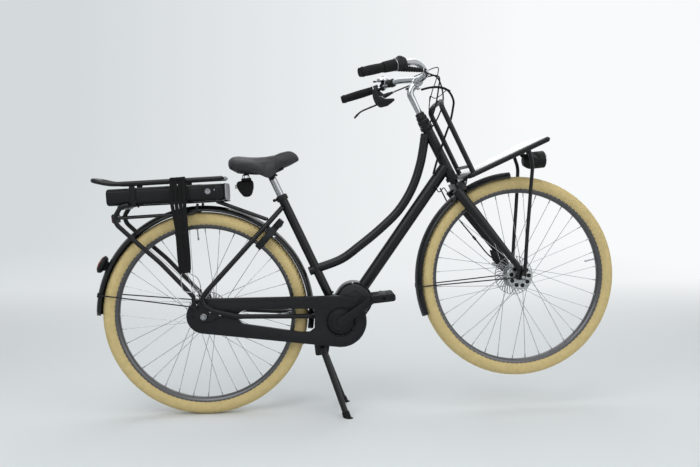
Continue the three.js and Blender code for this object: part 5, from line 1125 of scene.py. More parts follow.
@dataclass
class RearCarrier:
    """The deck loop, its tray and struts, the battery in its dock and the strap over them."""

    half: float = 60.0
    tube_radius: float = 8.0
    strut_y: float = 66.0
    battery_half: float = 56.0
    battery_height: float = 59.0
    battery_length: float = 401.0
    slope: float = math.radians(3.3)
    front: tuple = (0.1035 * WHEELBASE, 0.3474 * WHEELBASE)
    deck: tuple = ((0.1071, 0.415), (-0.2301, 0.4327), (-0.285, 0.4513))
    cross: tuple = ((0.1071, 0.415), (-0.0673, 0.4243), (-0.1903, 0.4306))
    strut: tuple = ((-0.1814, 0.3646), (-0.2053, 0.3628), (-0.2283, 0.3327), (-0.2248, 0.3097),
                    (-0.1708, 0.2469), (-0.1115, 0.1814), (-0.023, 0.0637))
    rail: tuple = ((-0.2265, 0.3283), (0.0044, 0.3177), (0.0177, 0.3239), (0.0239, 0.346))
    forward: tuple = ((0.0779, 0.3451), (0.2243, 0.2726))

    def build(self, bench: Bench) -> None:
        """Makes the carrier and what it holds."""
        tray = bench.bike.inside((self.front[0], 0, self.front[1]), Matrix.Rotation(self.slope, 4, "Y"))
        bench.piece("rear_carrier_tubes", self.tubes(), PAINT, "frame", replaces=["rear_carrier"])
        bench.piece("rear_carrier_tray", self.tray(), PAINT, "frame", tray)
        bench.piece("rear_carrier_bolts", self.bolts(), DARK_STEEL, "frame")
        shell, lid, trim, metal = self.battery()
        bench.piece("battery_shell", shell, PLASTIC, "battery", tray, ["battery"])
        bench.piece("battery_lid", lid, MUDGUARD, "battery", tray)
        bench.piece("battery_trim", trim, CAP, "battery", tray)
        bench.piece("battery_gauge", metal, PALE_INK, "battery", tray)
        cap, lock, key = self.dock()
        bench.piece("battery_dock_cap", cap, CAP, "frame", tray, ["battery_dock"])
        bench.piece("battery_dock_face", lock, PLASTIC, "frame", tray)
        bench.piece("battery_lock_barrel", key, STEEL, "frame", tray)
        bench.piece("reflector_case", self.reflector(0), PLASTIC, "frame")
        bench.piece("reflector_lens", self.reflector(1), RED, "frame", replaces=["rear_reflector"])
        bands, hooks = self.strap()
        bench.piece("luggage_bands", bands, WEBBING, "frame", replaces=["luggage_strap"])
        bench.piece("luggage_hooks", hooks, STEEL, "frame")

    def tubes(self) -> list[Shell]:
        """The deck's loop, the bars across it, the struts, lower rails and the stays to the seat tube."""
        low = spots(self.deck, -self.half)
        loop = np.vstack([low, (low * [1, -1, 1])[::-1]])
        made = [tube(rounded(loop, 32, 10), self.tube_radius)]
        made += [rod(*spots([share] * 2, (-self.half, self.half)), 5.6) for share in self.cross]
        strut = spots(self.strut, -self.strut_y)
        foot = strut[-1]
        made += pair(tube(rounded(strut, 14, 8), self.tube_radius))
        made += pair(plate(softened(np.array([(foot[0] - 7, 26), (foot[0] + 7, 30),
                                              (foot[0] + 7, foot[2] + 8), (foot[0] - 7, foot[2] + 8)]), 3),
                           -72.3, -75.8))
        made += pair(tube(rounded(spots(self.rail, -self.strut_y + 2), 10, 8), 4.6, 20))
        made += pair(rod(*spots(self.forward, -34), 5))
        made.append(rod(*spots([(-0.2319, 0.3292)] * 2, (-self.strut_y, self.strut_y)), 6))
        made.append(rod(*spots([(-0.2018, 0.3575)] * 2, (-self.strut_y, self.strut_y)), 6))
        return made

    def tray(self) -> list[Shell]:
        """The tray under the battery with two flat bows that rise beside it."""
        long = self.battery_length
        made = [block((-long * 0.92, -40, -5.3), (-0.4, 40, -0.4), 2),
                block((-12, -40, -5.3), (12, 40, -0.4), 2)]
        for x in (-0.798 * long, -0.359 * long):
            path = np.array([(x + 10, -58.3, 70), (x + 10, -58.3, -2.8), (x + 10, 58.3, -2.8),
                             (x + 10, 58.3, 70)])
            made.append(carried(rounded(path, 6, 4), soft_box(10, 1.7, 0.8, 3), side=(1, 0, 0)))
        return made

    def bolts(self) -> list[Shell]:
        """Bolts at the struts' feet, the bows' tops and the stays' ends."""
        made = []
        foot = spots(self.strut[-1:])[0]
        made += pair(nut((foot[0], -75.8, 37), (0, -1, 0), 5, 3))
        for x, z in ((-181, 421), (-6, 412)):
            made += pair(dome((x, -61.4, z), (0, -1, 0), 4.2, 2.2))
        made += pair(dome((self.forward[1][0] * WHEELBASE - 4, -39, self.forward[1][1] * WHEELBASE + 2),
                          (0, -1, 0), 4, 2))
        made += pair(dome((-206, -73.8, 404), (0, -1, 0), 4, 2))
        return made

    def battery(self) -> tuple[list[Shell], list[Shell], list[Shell], list[Shell]]:
        """The battery: a long shell with soft edges, a gloss lid, end trims and its charge marks."""
        w, h, long = self.battery_half, self.battery_height, self.battery_length
        t = np.linspace(0, 1, 90)
        xs = -long + long * t
        ease = np.clip(np.minimum(t, 1 - t) * long / 9, 0, 1)
        inset = 3.4 * (1 - np.sqrt(1 - (1 - ease) ** 2)) + 0.35
        seam = 0.5 * (np.exp(-(((xs + 70) / 1.1) ** 2)) + np.exp(-(((xs + 330) / 1.1) ** 2)))
        rings = np.stack([soft_box(w - i, h / 2 - i, 15, 7) for i in inset + seam])
        zs = rings[..., 1:] + h / 2
        shell = grid(np.concatenate([np.broadcast_to(xs[:, None, None], zs.shape), rings[..., :1], zs], -1))
        lid = [block((-322, -41, h - 1.0), (-78, 41, h + 0.6), 1.2)]
        trim = [block((-399.5, -40, 12), (-400.9, 40, 46), 1)]
        gauge = [block((-62 + 7 * i, -w - 0.15, 36), (-58 + 7 * i, -w + 1.0, 40), 0.5) for i in range(5)]
        return [shell], lid, trim, gauge

    def dock(self) -> tuple[list[Shell], list[Shell], list[Shell]]:
        """The pale cap in front of the battery, its dark collar and face plate, and the round lock."""
        w, h = self.battery_half, self.battery_height
        made = []
        for xs, halves in (((0.4, 1.0, 5.0, 5.4), (55.6, 56, 56, 55.4)),
                           ((5.6, 6.2, 7.5, 9.3, 10.8, 11.9), (55.6, 55.8, 55.0, 52.5, 48.0, 41.0))):
            rings = np.stack([soft_box(half, h / 2 - (w - half) * 0.3, 15, 7) for half in halves])
            zs = rings[..., 1:] + h / 2
            along = np.broadcast_to(np.array(xs)[:, None, None], zs.shape)
            made.append(grid(np.concatenate([along, rings[..., :1], zs], -1)))
        face = block((-76, -w - 0.9, 12), (-32, -w + 1.5, 55), 2.4)
        barrel = rod((-54, -w - 1.9, 34), (-54, -w - 0.6, 34), 10.5)
        slot = rod((-54, -w - 2.3, 34), (-54, -w - 1.8, 34), 7.2)
        return made[1:], [made[0], face], [barrel, slot]

    def reflector(self, layer: int) -> list[Shell]:
        """The rear reflector: a shallow case, and a lens with upright ribs in it."""
        x, z = -0.2319 * WHEELBASE - 5.6, 0.3292 * WHEELBASE
        if layer == 0:
            return [block((x - 4.5, -46, z - 17), (x, 46, z + 15), 3)]
        ribs = [rod((x - 7.2, y, z - 12), (x - 7.2, y, z + 10), 1.0, sides=8)
                for y in np.arange(-40, 41, 4.0)]
        return [block((x - 8, -43, z - 14), (x - 4.2, 43, z + 12), 2.4)] + ribs

    def strap(self) -> tuple[list[Shell], list[Shell]]:
        """The luggage strap: four flat bands that hang over the deck's tube, with loops and a wire hook."""
        y = -(self.half + self.tube_radius + 6.8)
        tops = (-10, -23, -36, -49)
        falls = (((-11, 470), (-15, 411), (-20, 308), (-24, 214), (-28, 168)),
                 ((-24, 470), (-29, 411), (-30, 308), (-34, 213), (-37, 168)),
                 ((-38, 470), (-43, 411), (-42, 308), (-46, 213), (-47, 168)),
                 ((-51, 470), (-58, 411), (-53, 308), (-57, 213), (-57, 168)))
        bands = []
        arc = np.linspace(math.radians(100), math.radians(260), 14)
        for k, (x0, fall) in enumerate(zip(tops, falls)):
            path = smooth(np.array([(x, y + 1.3 * (k % 2), z) for x, z in ((x0, 486), *fall)]), 60)
            bands.append(carried(path, soft_box(1.0, 6.4, 0.8, 4), side=(0, 1, 0)))
            deck = 0.415 * WHEELBASE + (0.1071 * WHEELBASE - x0) * 0.0525
            over = np.column_stack([np.full(14, x0), -self.half + 11.2 * np.cos(arc),
                                    deck + 11.2 * np.sin(arc)])
            bands.append(carried(over, soft_box(1.0, 6.2, 0.8, 4),
                                 side=(0, -math.cos(arc[0]), math.sin(arc[0]))))
        clasps = [block((-64, y - 1.7, 158), (-24, y + 1.9, 180), 1.6),
                  block((-61, y - 1.6, 290), (-16, y + 1.9, 303), 1.4)]
        clasps.append(block((-56, y - 1.2, 480), (-4, y + 2.0, 488), 1.4))
        loop = np.array([(-30, 158), (-20, 150), (-6, 140), (3, 112), (0, 97), (-16, 91), (-46, 93),
                         (-58, 104), (-60, 140), (-56, 158)], float)
        wire = tube(smooth(np.column_stack([loop[:, 0], np.full(len(loop), y), loop[:, 1]]), 80), 1.7, 12)
        return bands + clasps, [wire]


@dataclass
class RearLight:
    """The round rear light on its foot, with a ringed red lens."""

    angle: float = math.radians(147.5)
    radius: float = 33.0

    def build(self, bench: Bench) -> None:
        """Makes the light's pieces in a group that looks out from the mudguard."""
        centre = (384 * math.cos(self.angle), 0, 384 * math.sin(self.angle))
        place = bench.bike.inside(centre, Matrix.Rotation(math.pi / 2 - self.angle, 4, "Y"))
        bench.piece("rear_light_case", self.case(), PLASTIC, "frame", place, ["rear_light"], crease=45)
        bench.piece("rear_light_window", self.window(), RED, "frame", place, ["rear_light_lens"], crease=45)

    def spun(self, profile: Sequence[Sequence[float]]) -> Shell:
        """An outline of radius and height turned about the light's own axis and narrowed to 0.8 across."""
        shell = turned(profile, 72)
        p = shell.points
        return Shell(np.column_stack([p[:, 0], p[:, 2] * 0.8, p[:, 1]]), shell.faces)

    def case(self) -> list[Shell]:
        """The foot and the bowl."""
        r = self.radius
        bowl = self.spun([(0.01, 7), (r * 0.7, 7), (r * 0.85, 9), (r - 1, 15), (r, 21), (r - 1.4, 22.1),
                          (0.01, 22.1)])
        return [bowl, block((-18, -6, 0.4), (18, 6, 10), 3)]

    def window(self) -> list[Shell]:
        """The lens: a shallow dome with raised rings."""
        r = self.radius * 0.85
        s = np.linspace(1, 0.02, 22)
        height = 22.4 + 8 * np.sqrt(1 - (s * 0.93) ** 2) + 0.35 * np.cos(s * 44)
        profile = [(r * x, y) for x, y in zip(s, height)] + [(0.01, 22.3), (r, 22.3)]
        return [self.spun(profile)]


# ---------------------------------------------------------------- lock, seat and stand


@dataclass
class RingLock:
    """The ring lock round the rear tyre, its bolt and its key housing."""

    angle: float = math.radians(42.4)
    radius: float = 52.0

    def build(self, bench: Bench) -> None:
        """Makes the lock's pieces in the lock's own frame."""
        up = np.array([math.cos(self.angle), 0, math.sin(self.angle)])
        out = np.array([-math.sin(self.angle), 0, math.cos(self.angle)])
        place = bench.bike.inside(up * 342 + out * 16, Matrix.Rotation(math.pi / 2 - self.angle, 4, "Y"))
        bench.piece("ring_lock_body", self.body(), CASE, "frame", place, ["ring_lock"])
        bench.piece("ring_lock_bolt", self.bolt(), STEEL, "lock_bolt", place, ["lock_bolt"])
        bench.piece("ring_lock_barrel", self.barrel(), STEEL, "frame", place)

    def arc(self, low: float, high: float, section: np.ndarray, steps: int = 64) -> Shell:
        """A section carried round the lock's arc, with angles counted from straight down."""
        angle = np.linspace(low, high, steps)
        path = np.column_stack([np.zeros(steps), self.radius * np.sin(angle), -self.radius * np.cos(angle)])
        return carried(path, section, side=(1, 0, 0))

    def body(self) -> list[Shell]:
        """The band, its thick housing on top and two lugs."""
        mouth = math.radians(44)
        band = [self.arc(mouth, 2 * math.pi - mouth, soft_box(12, 8.6, 4, 5))]
        cheeks = [block((-12, -27, self.radius - 1), (12, 27, 85), 5)]
        lugs = pair(block((-20, -51, 22), (-10, -41, 34), 2.5))
        return band + cheeks + lugs

    def bolt(self) -> list[Shell]:
        """The curved bolt and the thumb knob on it."""
        start, end = math.radians(-130), math.radians(-44)
        knob = math.radians(-118)
        at = np.array([0, self.radius * math.sin(knob), -self.radius * math.cos(knob)])
        made = [self.arc(start, end, round_section(3.8, 16)), rod(at, at + [20.5, 0, 0], 3)]
        made.append(rod(at + [14, 0, 0], at + [21, 0, 0], 5.6, 6.4))
        return made

    def barrel(self) -> list[Shell]:
        """The key's barrel and the fixing bolts."""
        made = [rod((11.5, 0, 68), (14.5, 0, 68), 7.5), rod((14.4, 0, 68), (15.1, 0, 68), 4.5)]
        return made + pair(dome((-20, -46, 28), (-1, 0, 0), 3.6, 2))


def swell(made: bpy.types.Object, voxel: float, most: float) -> None:
    """Swells a padded piece with Blender's Cloth, under pressure and without weight, and applies the result.

    Args:
        made: the piece, whose mesh is remade in voxels first and subdivided once afterwards.
        voxel: the size of the voxels in metres.
        most: how far in metres a point may move.
    """
    scene = bpy.context.scene
    cells = made.modifiers.new("cells", "REMESH")
    cells.mode, cells.voxel_size, cells.use_smooth_shade = "VOXEL", voxel, True
    bake(made)
    start = positions(made.data)
    cloth = made.modifiers.new("cloth", "CLOTH")
    cloth.settings.use_pressure, cloth.settings.uniform_pressure_force = True, 4.0
    cloth.settings.effector_weights.gravity = 0
    for number in range(1, CLOTH_FRAMES + 1):
        scene.frame_set(number)
    bake(made)
    move = positions(made.data) - start
    far = np.maximum(np.linalg.norm(move, axis=1, keepdims=True) / most, 1)
    made.data.vertices.foreach_set("co", (start + move / far).astype(np.float32).ravel())
    scene.frame_set(1)
    finer = made.modifiers.new("finer", "SUBSURF")
    finer.levels = finer.render_levels = 1
    bake(made)


def positions(mesh: bpy.types.Mesh) -> np.ndarray:
    """The places of a mesh's points as rows of x, y and z."""
    flat = np.empty(len(mesh.vertices) * 3, np.float32)
    mesh.vertices.foreach_get("co", flat)
    return flat.reshape(-1, 3).astype(float)


def bake(made: bpy.types.Object) -> None:
    """Applies every modifier of a piece to its mesh."""
    graph = bpy.context.evaluated_depsgraph_get()
    mesh = bpy.data.meshes.new_from_object(made.evaluated_get(graph), depsgraph=graph)
    made.modifiers.clear()
    made.data = mesh


@dataclass
class Seat:
    """Post, clamp, rails, the padded saddle and the bag under it."""

    top: tuple = (0.2748 * WHEELBASE, 0.3434 * WHEELBASE)
    foot: tuple = (0.3973 * WHEELBASE, -0.0106 * WHEELBASE)
    base: tuple = (0.1248 * WHEELBASE, 0.4248 * WHEELBASE)
    length: float = 251.0
    half_width: float = 98.0
    height: float = 60.0
    stations: tuple = ((0, 0.45, 0.53, 0.3, 0), (0.04, 0.8, 0.87, 0.22, 0), (0.1, 0.95, 0.95, 0.15, 0.01),
                       (0.2, 1, 0.88, 0.08, 0.03), (0.3, 0.93, 0.8, 0.03, 0.1), (0.42, 0.72, 0.74, 0, 0.27),
                       (0.5, 0.56, 0.73, 0, 0.44), (0.55, 0.48, 0.73, 0, 0.47), (0.66, 0.34, 0.8, 0.02, 0.24),
                       (0.76, 0.28, 0.95, 0.08, 0.05), (0.87, 0.24, 1, 0.2, 0.04),
                       (0.95, 0.19, 0.85, 0.32, 0), (1, 0.1, 0.6, 0.42, 0))
    seam_share: float = 0.72

    def build(self, bench: Bench) -> None:
        """Makes the seat's pieces."""
        post, clamp, yoke = self.post()
        bench.piece("seat_post_tube", post, STEEL, "seatpost", replaces=["seat_post"])
        bench.piece("seat_post_yoke", yoke, DARK_STEEL, "seatpost")
        bench.piece("seat_clamp_band", clamp, DARK_STEEL, "frame", replaces=["seat_clamp"])
        cover = bench.piece("saddle_padding", self.saddle(), LEATHER, "seatpost", replaces=["saddle"],
                            crease=70)
        swell(cover, 0.0035, 0.005)
        self.press_seams(cover, bench.bike)
        bench.piece("saddle_stitching", self.stitching(), BAG, "seatpost")
        bench.piece("saddle_shell", self.shell(), PLASTIC, "seatpost")
        bench.piece("saddle_rail_wires", self.rails(), DARK_STEEL, "seatpost", replaces=["saddle_rails"])
        bag, straps, zip_line = self.bag()
        pouch = bench.piece("saddle_bag_pouch", bag, BAG, "seatpost", replaces=["saddle_bag"], crease=70)
        swell(pouch, 0.004, 0.004)
        bench.piece("saddle_bag_straps", straps, WEBBING, "seatpost")
        bench.piece("saddle_bag_zip", zip_line, DARK_STEEL, "seatpost")

    def up(self) -> np.ndarray:
        """The seat tube's direction."""
        way = np.array([self.top[0] - self.foot[0], 0, self.top[1] - self.foot[1]])
        return way / np.linalg.norm(way)

    def post(self) -> tuple[list[Shell], list[Shell], list[Shell]]:
        """The post, the band that clamps it, and the yoke that holds the rails."""
        up, top = self.up(), np.array([self.top[0], 0, self.top[1]])
        head = top + up * 72
        post = [rod(top - up * 150, head, 13.5, sides=40)]
        yoke = [pin(head[0], head[2], -19, 19, 12), pin(head[0] + 4, head[2] + 9, -27, 27, 6)]
        yoke += pair(block((head[0] - 16, -27, head[2] + 1), (head[0] + 20, -18, head[2] + 8), 3))
        yoke += pair(nut((head[0], -19, head[2]), (0, -1, 0), 7, 4))
        band = turned([(16.9, 2), (20.4, 2), (21, 3), (21, 19), (20.4, 20), (16.9, 20)], 64)
        clamp = [band.moved(standing(top - up * 22, up))]
        lug = top - up * 12 + [-28, 0, -5]
        clamp.append(pin(lug[0], lug[2], -14, 14, 5.5))
        clamp += [rod(top - up * 12 + [-17, y, -3], lug + [0, y, 0], 4.5) for y in (-6, 6)]
        clamp += nut(lug + [0, -14, 0], (0, -1, 0), 5.5, 3)
        return post, clamp, yoke

    def profile(self, s: np.ndarray) -> tuple[np.ndarray, ...]:
        """Width, top, underside and skirt at shares of the length, on a curve through the stations."""
        table = np.array(self.stations)
        knots = smooth(np.column_stack([table[:, 0], table[:, 2], table[:, 1]]), 300)
        wide = np.interp(s, knots[:, 0], knots[:, 2])
        top = np.interp(s, knots[:, 0], knots[:, 1])
        hang = smooth(np.column_stack([table[:, 0], table[:, 4], table[:, 3]]), 300)
        return wide, top, np.interp(s, table[:, 0],
                                    table[:, 3]), np.maximum(np.interp(s, hang[:, 0], hang[:, 1]), 0)

    def saddle(self) -> Shell:
        """The padded cover: a crowned section with side skirts that hang beside the pan.

        Above the belt y = w sign(c) |c|^0.8 and z = belt + h s^0.9, with c and s the cosine and sine. Below
        it the outside falls to the skirt's hem, turns in by the wall and rises to the pan.
        """
        rows, half_cols = 96, 44
        s = 0.5 - 0.5 * np.cos(np.linspace(0.03, math.pi - 0.03, rows))
        wide, top, under, skirt = self.profile(s)
        end = np.clip(np.minimum(s / 0.025, (1 - s) / 0.03), 0, 1)
        round_off = np.sqrt(1 - (1 - end) ** 2) * 0.55 + 0.45
        low, high = self.base[1] + under * self.height, self.base[1] + top * self.height
        mid = low + (high - low) * 0.42
        hem = low - skirt * self.height
        half = (wide * self.half_width * round_off)[:, None]
        angle = np.linspace(0, math.pi, half_cols)
        c, v = np.cos(angle), np.sin(angle)
        rise = v**0.9 * ((high - mid) * (0.35 + 0.65 * round_off))[:, None]
        y_top, z_top = half * np.sign(c) * np.abs(c) ** 0.8, mid[:, None] + rise
        t = np.array([0.12, 0.3, 0.5, 0.7, 0.85, 0.95])
        wall = np.minimum(6.0, half * 0.34)
        out_y, out_z = half * (1 - 0.11 * t**1.5), mid[:, None] + (hem - mid)[:, None] * t
        turn_y = np.hstack([half * 0.89 - wall * k for k in (0.25, 0.75, 1.0)])
        turn_z = hem[:, None] + (low - hem)[:, None] * np.array([0, 0, 0.25])
        pan = np.linspace(1, 0, 8)[:-1]
        pan_y, pan_z = (half * 0.89 - wall) * pan, np.broadcast_to(low[:, None], (rows, 7))
        side_y, side_z = np.hstack([out_y, turn_y, pan_y]), np.hstack([out_z, turn_z, pan_z])
        y = np.hstack([y_top, -side_y, side_y[:, ::-1]])
        z = np.hstack([z_top, side_z, side_z[:, ::-1]])
        x = np.broadcast_to((self.base[0] + s * self.length)[:, None], y.shape)
        return grid(np.stack([x, y, z], -1))

    def press_seams(self, cover: bpy.types.Object, bike: Place) -> None:
        """Presses the channel along the middle and the two seams into the crown, after the swelling.

        A point over the belt drops by 2.6 mm times a bell curve round the middle and by 0.9 mm times one
        round each seam, which lies at a share of the half width.
        """
        count = len(cover.data.vertices)
        flat = np.empty(count * 3, np.float32)
        cover.data.vertices.foreach_get("co", flat)
        p = bike.back(flat.reshape(-1, 3).astype(float))
        s = np.clip((p[:, 0] - self.base[0]) / self.length, 0, 1)
        wide, top, under, _ = self.profile(s)
        low, high = self.base[1] + under * self.height, self.base[1] + top * self.height
        crown = np.clip((p[:, 2] - low - (high - low) * 0.5) / 6, 0, 1)
        middle = np.exp(-((p[:, 1] / 9) ** 2)) * np.clip((s - 0.12) / 0.2, 0, 1)
        middle *= np.clip((0.86 - s) / 0.2, 0, 1)
        seam = np.exp(-(((np.abs(p[:, 1]) - wide * self.half_width * self.seam_share) / 1.8) ** 2))
        p[:, 2] -= crown * (2.6 * middle + 0.9 * seam)
        cover.data.vertices.foreach_set("co", bike.carry(p).astype(np.float32).ravel())

    def stitching(self) -> list[Shell]:
        """Short stitches along the seam on each side of the crown."""
        s = np.linspace(0.08, 0.93, 78)
        wide, top, under, _ = self.profile(s)
        low, high = self.base[1] + under * self.height, self.base[1] + top * self.height
        mid = low + (high - low) * 0.42
        c = self.seam_share ** (1 / 0.8)
        rise = (1 - c**2) ** 0.45
        line = np.column_stack([self.base[0] + s * self.length,
                                -self.seam_share * wide * self.half_width * 1.03,
                                mid + (high - mid) * rise + 0.1])
        made = [rod(line[i], line[i] + (line[i + 1] - line[i]) * 0.62, 0.55, sides=6) for i in range(0, 77)]
        return pair(made)

    def shell(self) -> list[Shell]:
        """The hard underside: a shallow pan that the rails plug into."""
        s = np.linspace(0.06, 0.62, 40)
        wide, _, under, _ = self.profile(s)
        z = self.base[1] + under * self.height + 3.4
        u = np.linspace(-1, 1, 17)
        y = wide[:, None] * self.half_width * 0.66 * u
        x = np.broadcast_to((self.base[0] + s * self.length)[:, None], y.shape)
        dip = z[:, None] - 2.0 * (1 - u**2)
        ring_top = np.stack([x, y, dip + 2.4], -1)
        ring_low = np.stack([x, y, dip], -1)[:, ::-1]
        return [grid(np.concatenate([ring_top, ring_low], 1))]

    def rails(self) -> list[Shell]:
        """The two wires under the saddle, bent up at both ends and joined there."""
        shares = ((0.1522, 0.4283), (0.2088, 0.4177), (0.27, 0.4177), (0.291, 0.4249))
        wire = rounded(spots(shares, (-36, -22, -22, -10)), 14, 8)
        made = pair(tube(wire, 3.5, 16))
        return made + [rod(wire[0], wire[0] * [1, -1, 1], 3.5), rod(wire[-1], wire[-1] * [1, -1, 1], 3.5)]

    def bag(self) -> tuple[list[Shell], list[Shell], list[Shell]]:
        """A small pouch that bulges at its sides, its two straps to the rails and its zip."""
        outline = softened(np.array([(161, 444), (167, 453), (213, 454), (220, 447), (219, 425), (210, 402),
                                     (202, 395), (183, 395), (171, 412), (161, 432)], float), 7, 5)
        centre = outline.mean(axis=0)
        y = np.linspace(-27.0, 27.0, 25)
        t = np.abs(y) / 27.0
        size = 0.7 + 0.3 * np.sqrt(np.clip(1 - t**6, 0, 1)) - 0.012 * np.cos(y * 0.9)
        rings = centre + (outline - centre) * size[:, None, None]
        points = np.stack([rings[..., 0], np.broadcast_to(y[:, None], rings.shape[:2]), rings[..., 1]], -1)
        straps = []
        for at in (-30, 30):
            loop = np.array([(188, at, 458), (188, at, 470), (194, at * 0.8, 474), (205, at * 0.8, 474),
                             (206, at, 462)])
            straps.append(carried(rounded(loop, 5, 4), soft_box(4.2, 0.9, 0.6, 3), side=(0, 1, 0)))
        straps.append(block((182, -36, 452), (212, 36, 461), 2))
        line = np.array([(160, -24, 440), (156, 0, 441), (160, 24, 440)], float)
        return [grid(points)], straps, [tube(smooth(line, 24), 0.9, 8),
                                        rod((157, 6, 440), (156, 7, 428), 1.4, 2.2, 8)]


@dataclass
class Stand:
    """The centre stand: a pin, two splayed legs and their rubber feet."""

    at: tuple = (0.3522 * WHEELBASE, -0.1611 * WHEELBASE)
    foot: tuple = (0.4027 * WHEELBASE, -0.3646 * WHEELBASE)

    def build(self, bench: Bench) -> None:
        """Makes the legs and their feet."""
        hip = np.array([self.at[0], -28, self.at[1]])
        foot = np.array([self.foot[0], -95, self.foot[1]])
        way = (foot - hip) / np.linalg.norm(foot - hip)
        ankle = hip + (foot - hip) * 0.9
        legs = [pin(self.at[0], self.at[1], -28, 28, 7)] + pair(rod(hip - way * 12, ankle + way * 6, 10.5))
        legs += pair(rod(hip - way * 13.5, hip - way * 11, 11.5))
        legs += pair(nut((self.at[0], -38, self.at[1]), (0, -1, 0), 8, 3))
        bench.piece("stand_leg_bars", legs, PAINT, "stand", replaces=["stand_legs"])
        bench.piece("stand_feet", self.feet(ankle, way), RUBBER, "stand")

    def feet(self, ankle: np.ndarray, way: np.ndarray) -> list[Shell]:
        """Ribbed rubber feet, pressed flat where they meet the floor.

        A point below the floor is moved up to it, where the floor's height over a point of the bike's
        frame is 361 + x sin pitch + z cos pitch.
        """
        reach = np.linspace(0, 46, 24)
        size = 13.4 + 0.4 * np.cos(reach * 1.4)
        size[0], size[1] = 11.0, 12.8
        shell = carried(ankle + way * reach[:, None], round_section(size, 32))
        p = shell.points
        above = TYRE_RADIUS + p[:, 0] * math.sin(PITCH) + p[:, 2] * math.cos(PITCH)
        floor_up = np.array([math.sin(PITCH), 0, math.cos(PITCH)])
        shell.points = p - np.minimum(above - 0.2, 0)[:, None] * floor_up
        return pair(shell)


# ---------------------------------------------------------------- fork, cables and bar


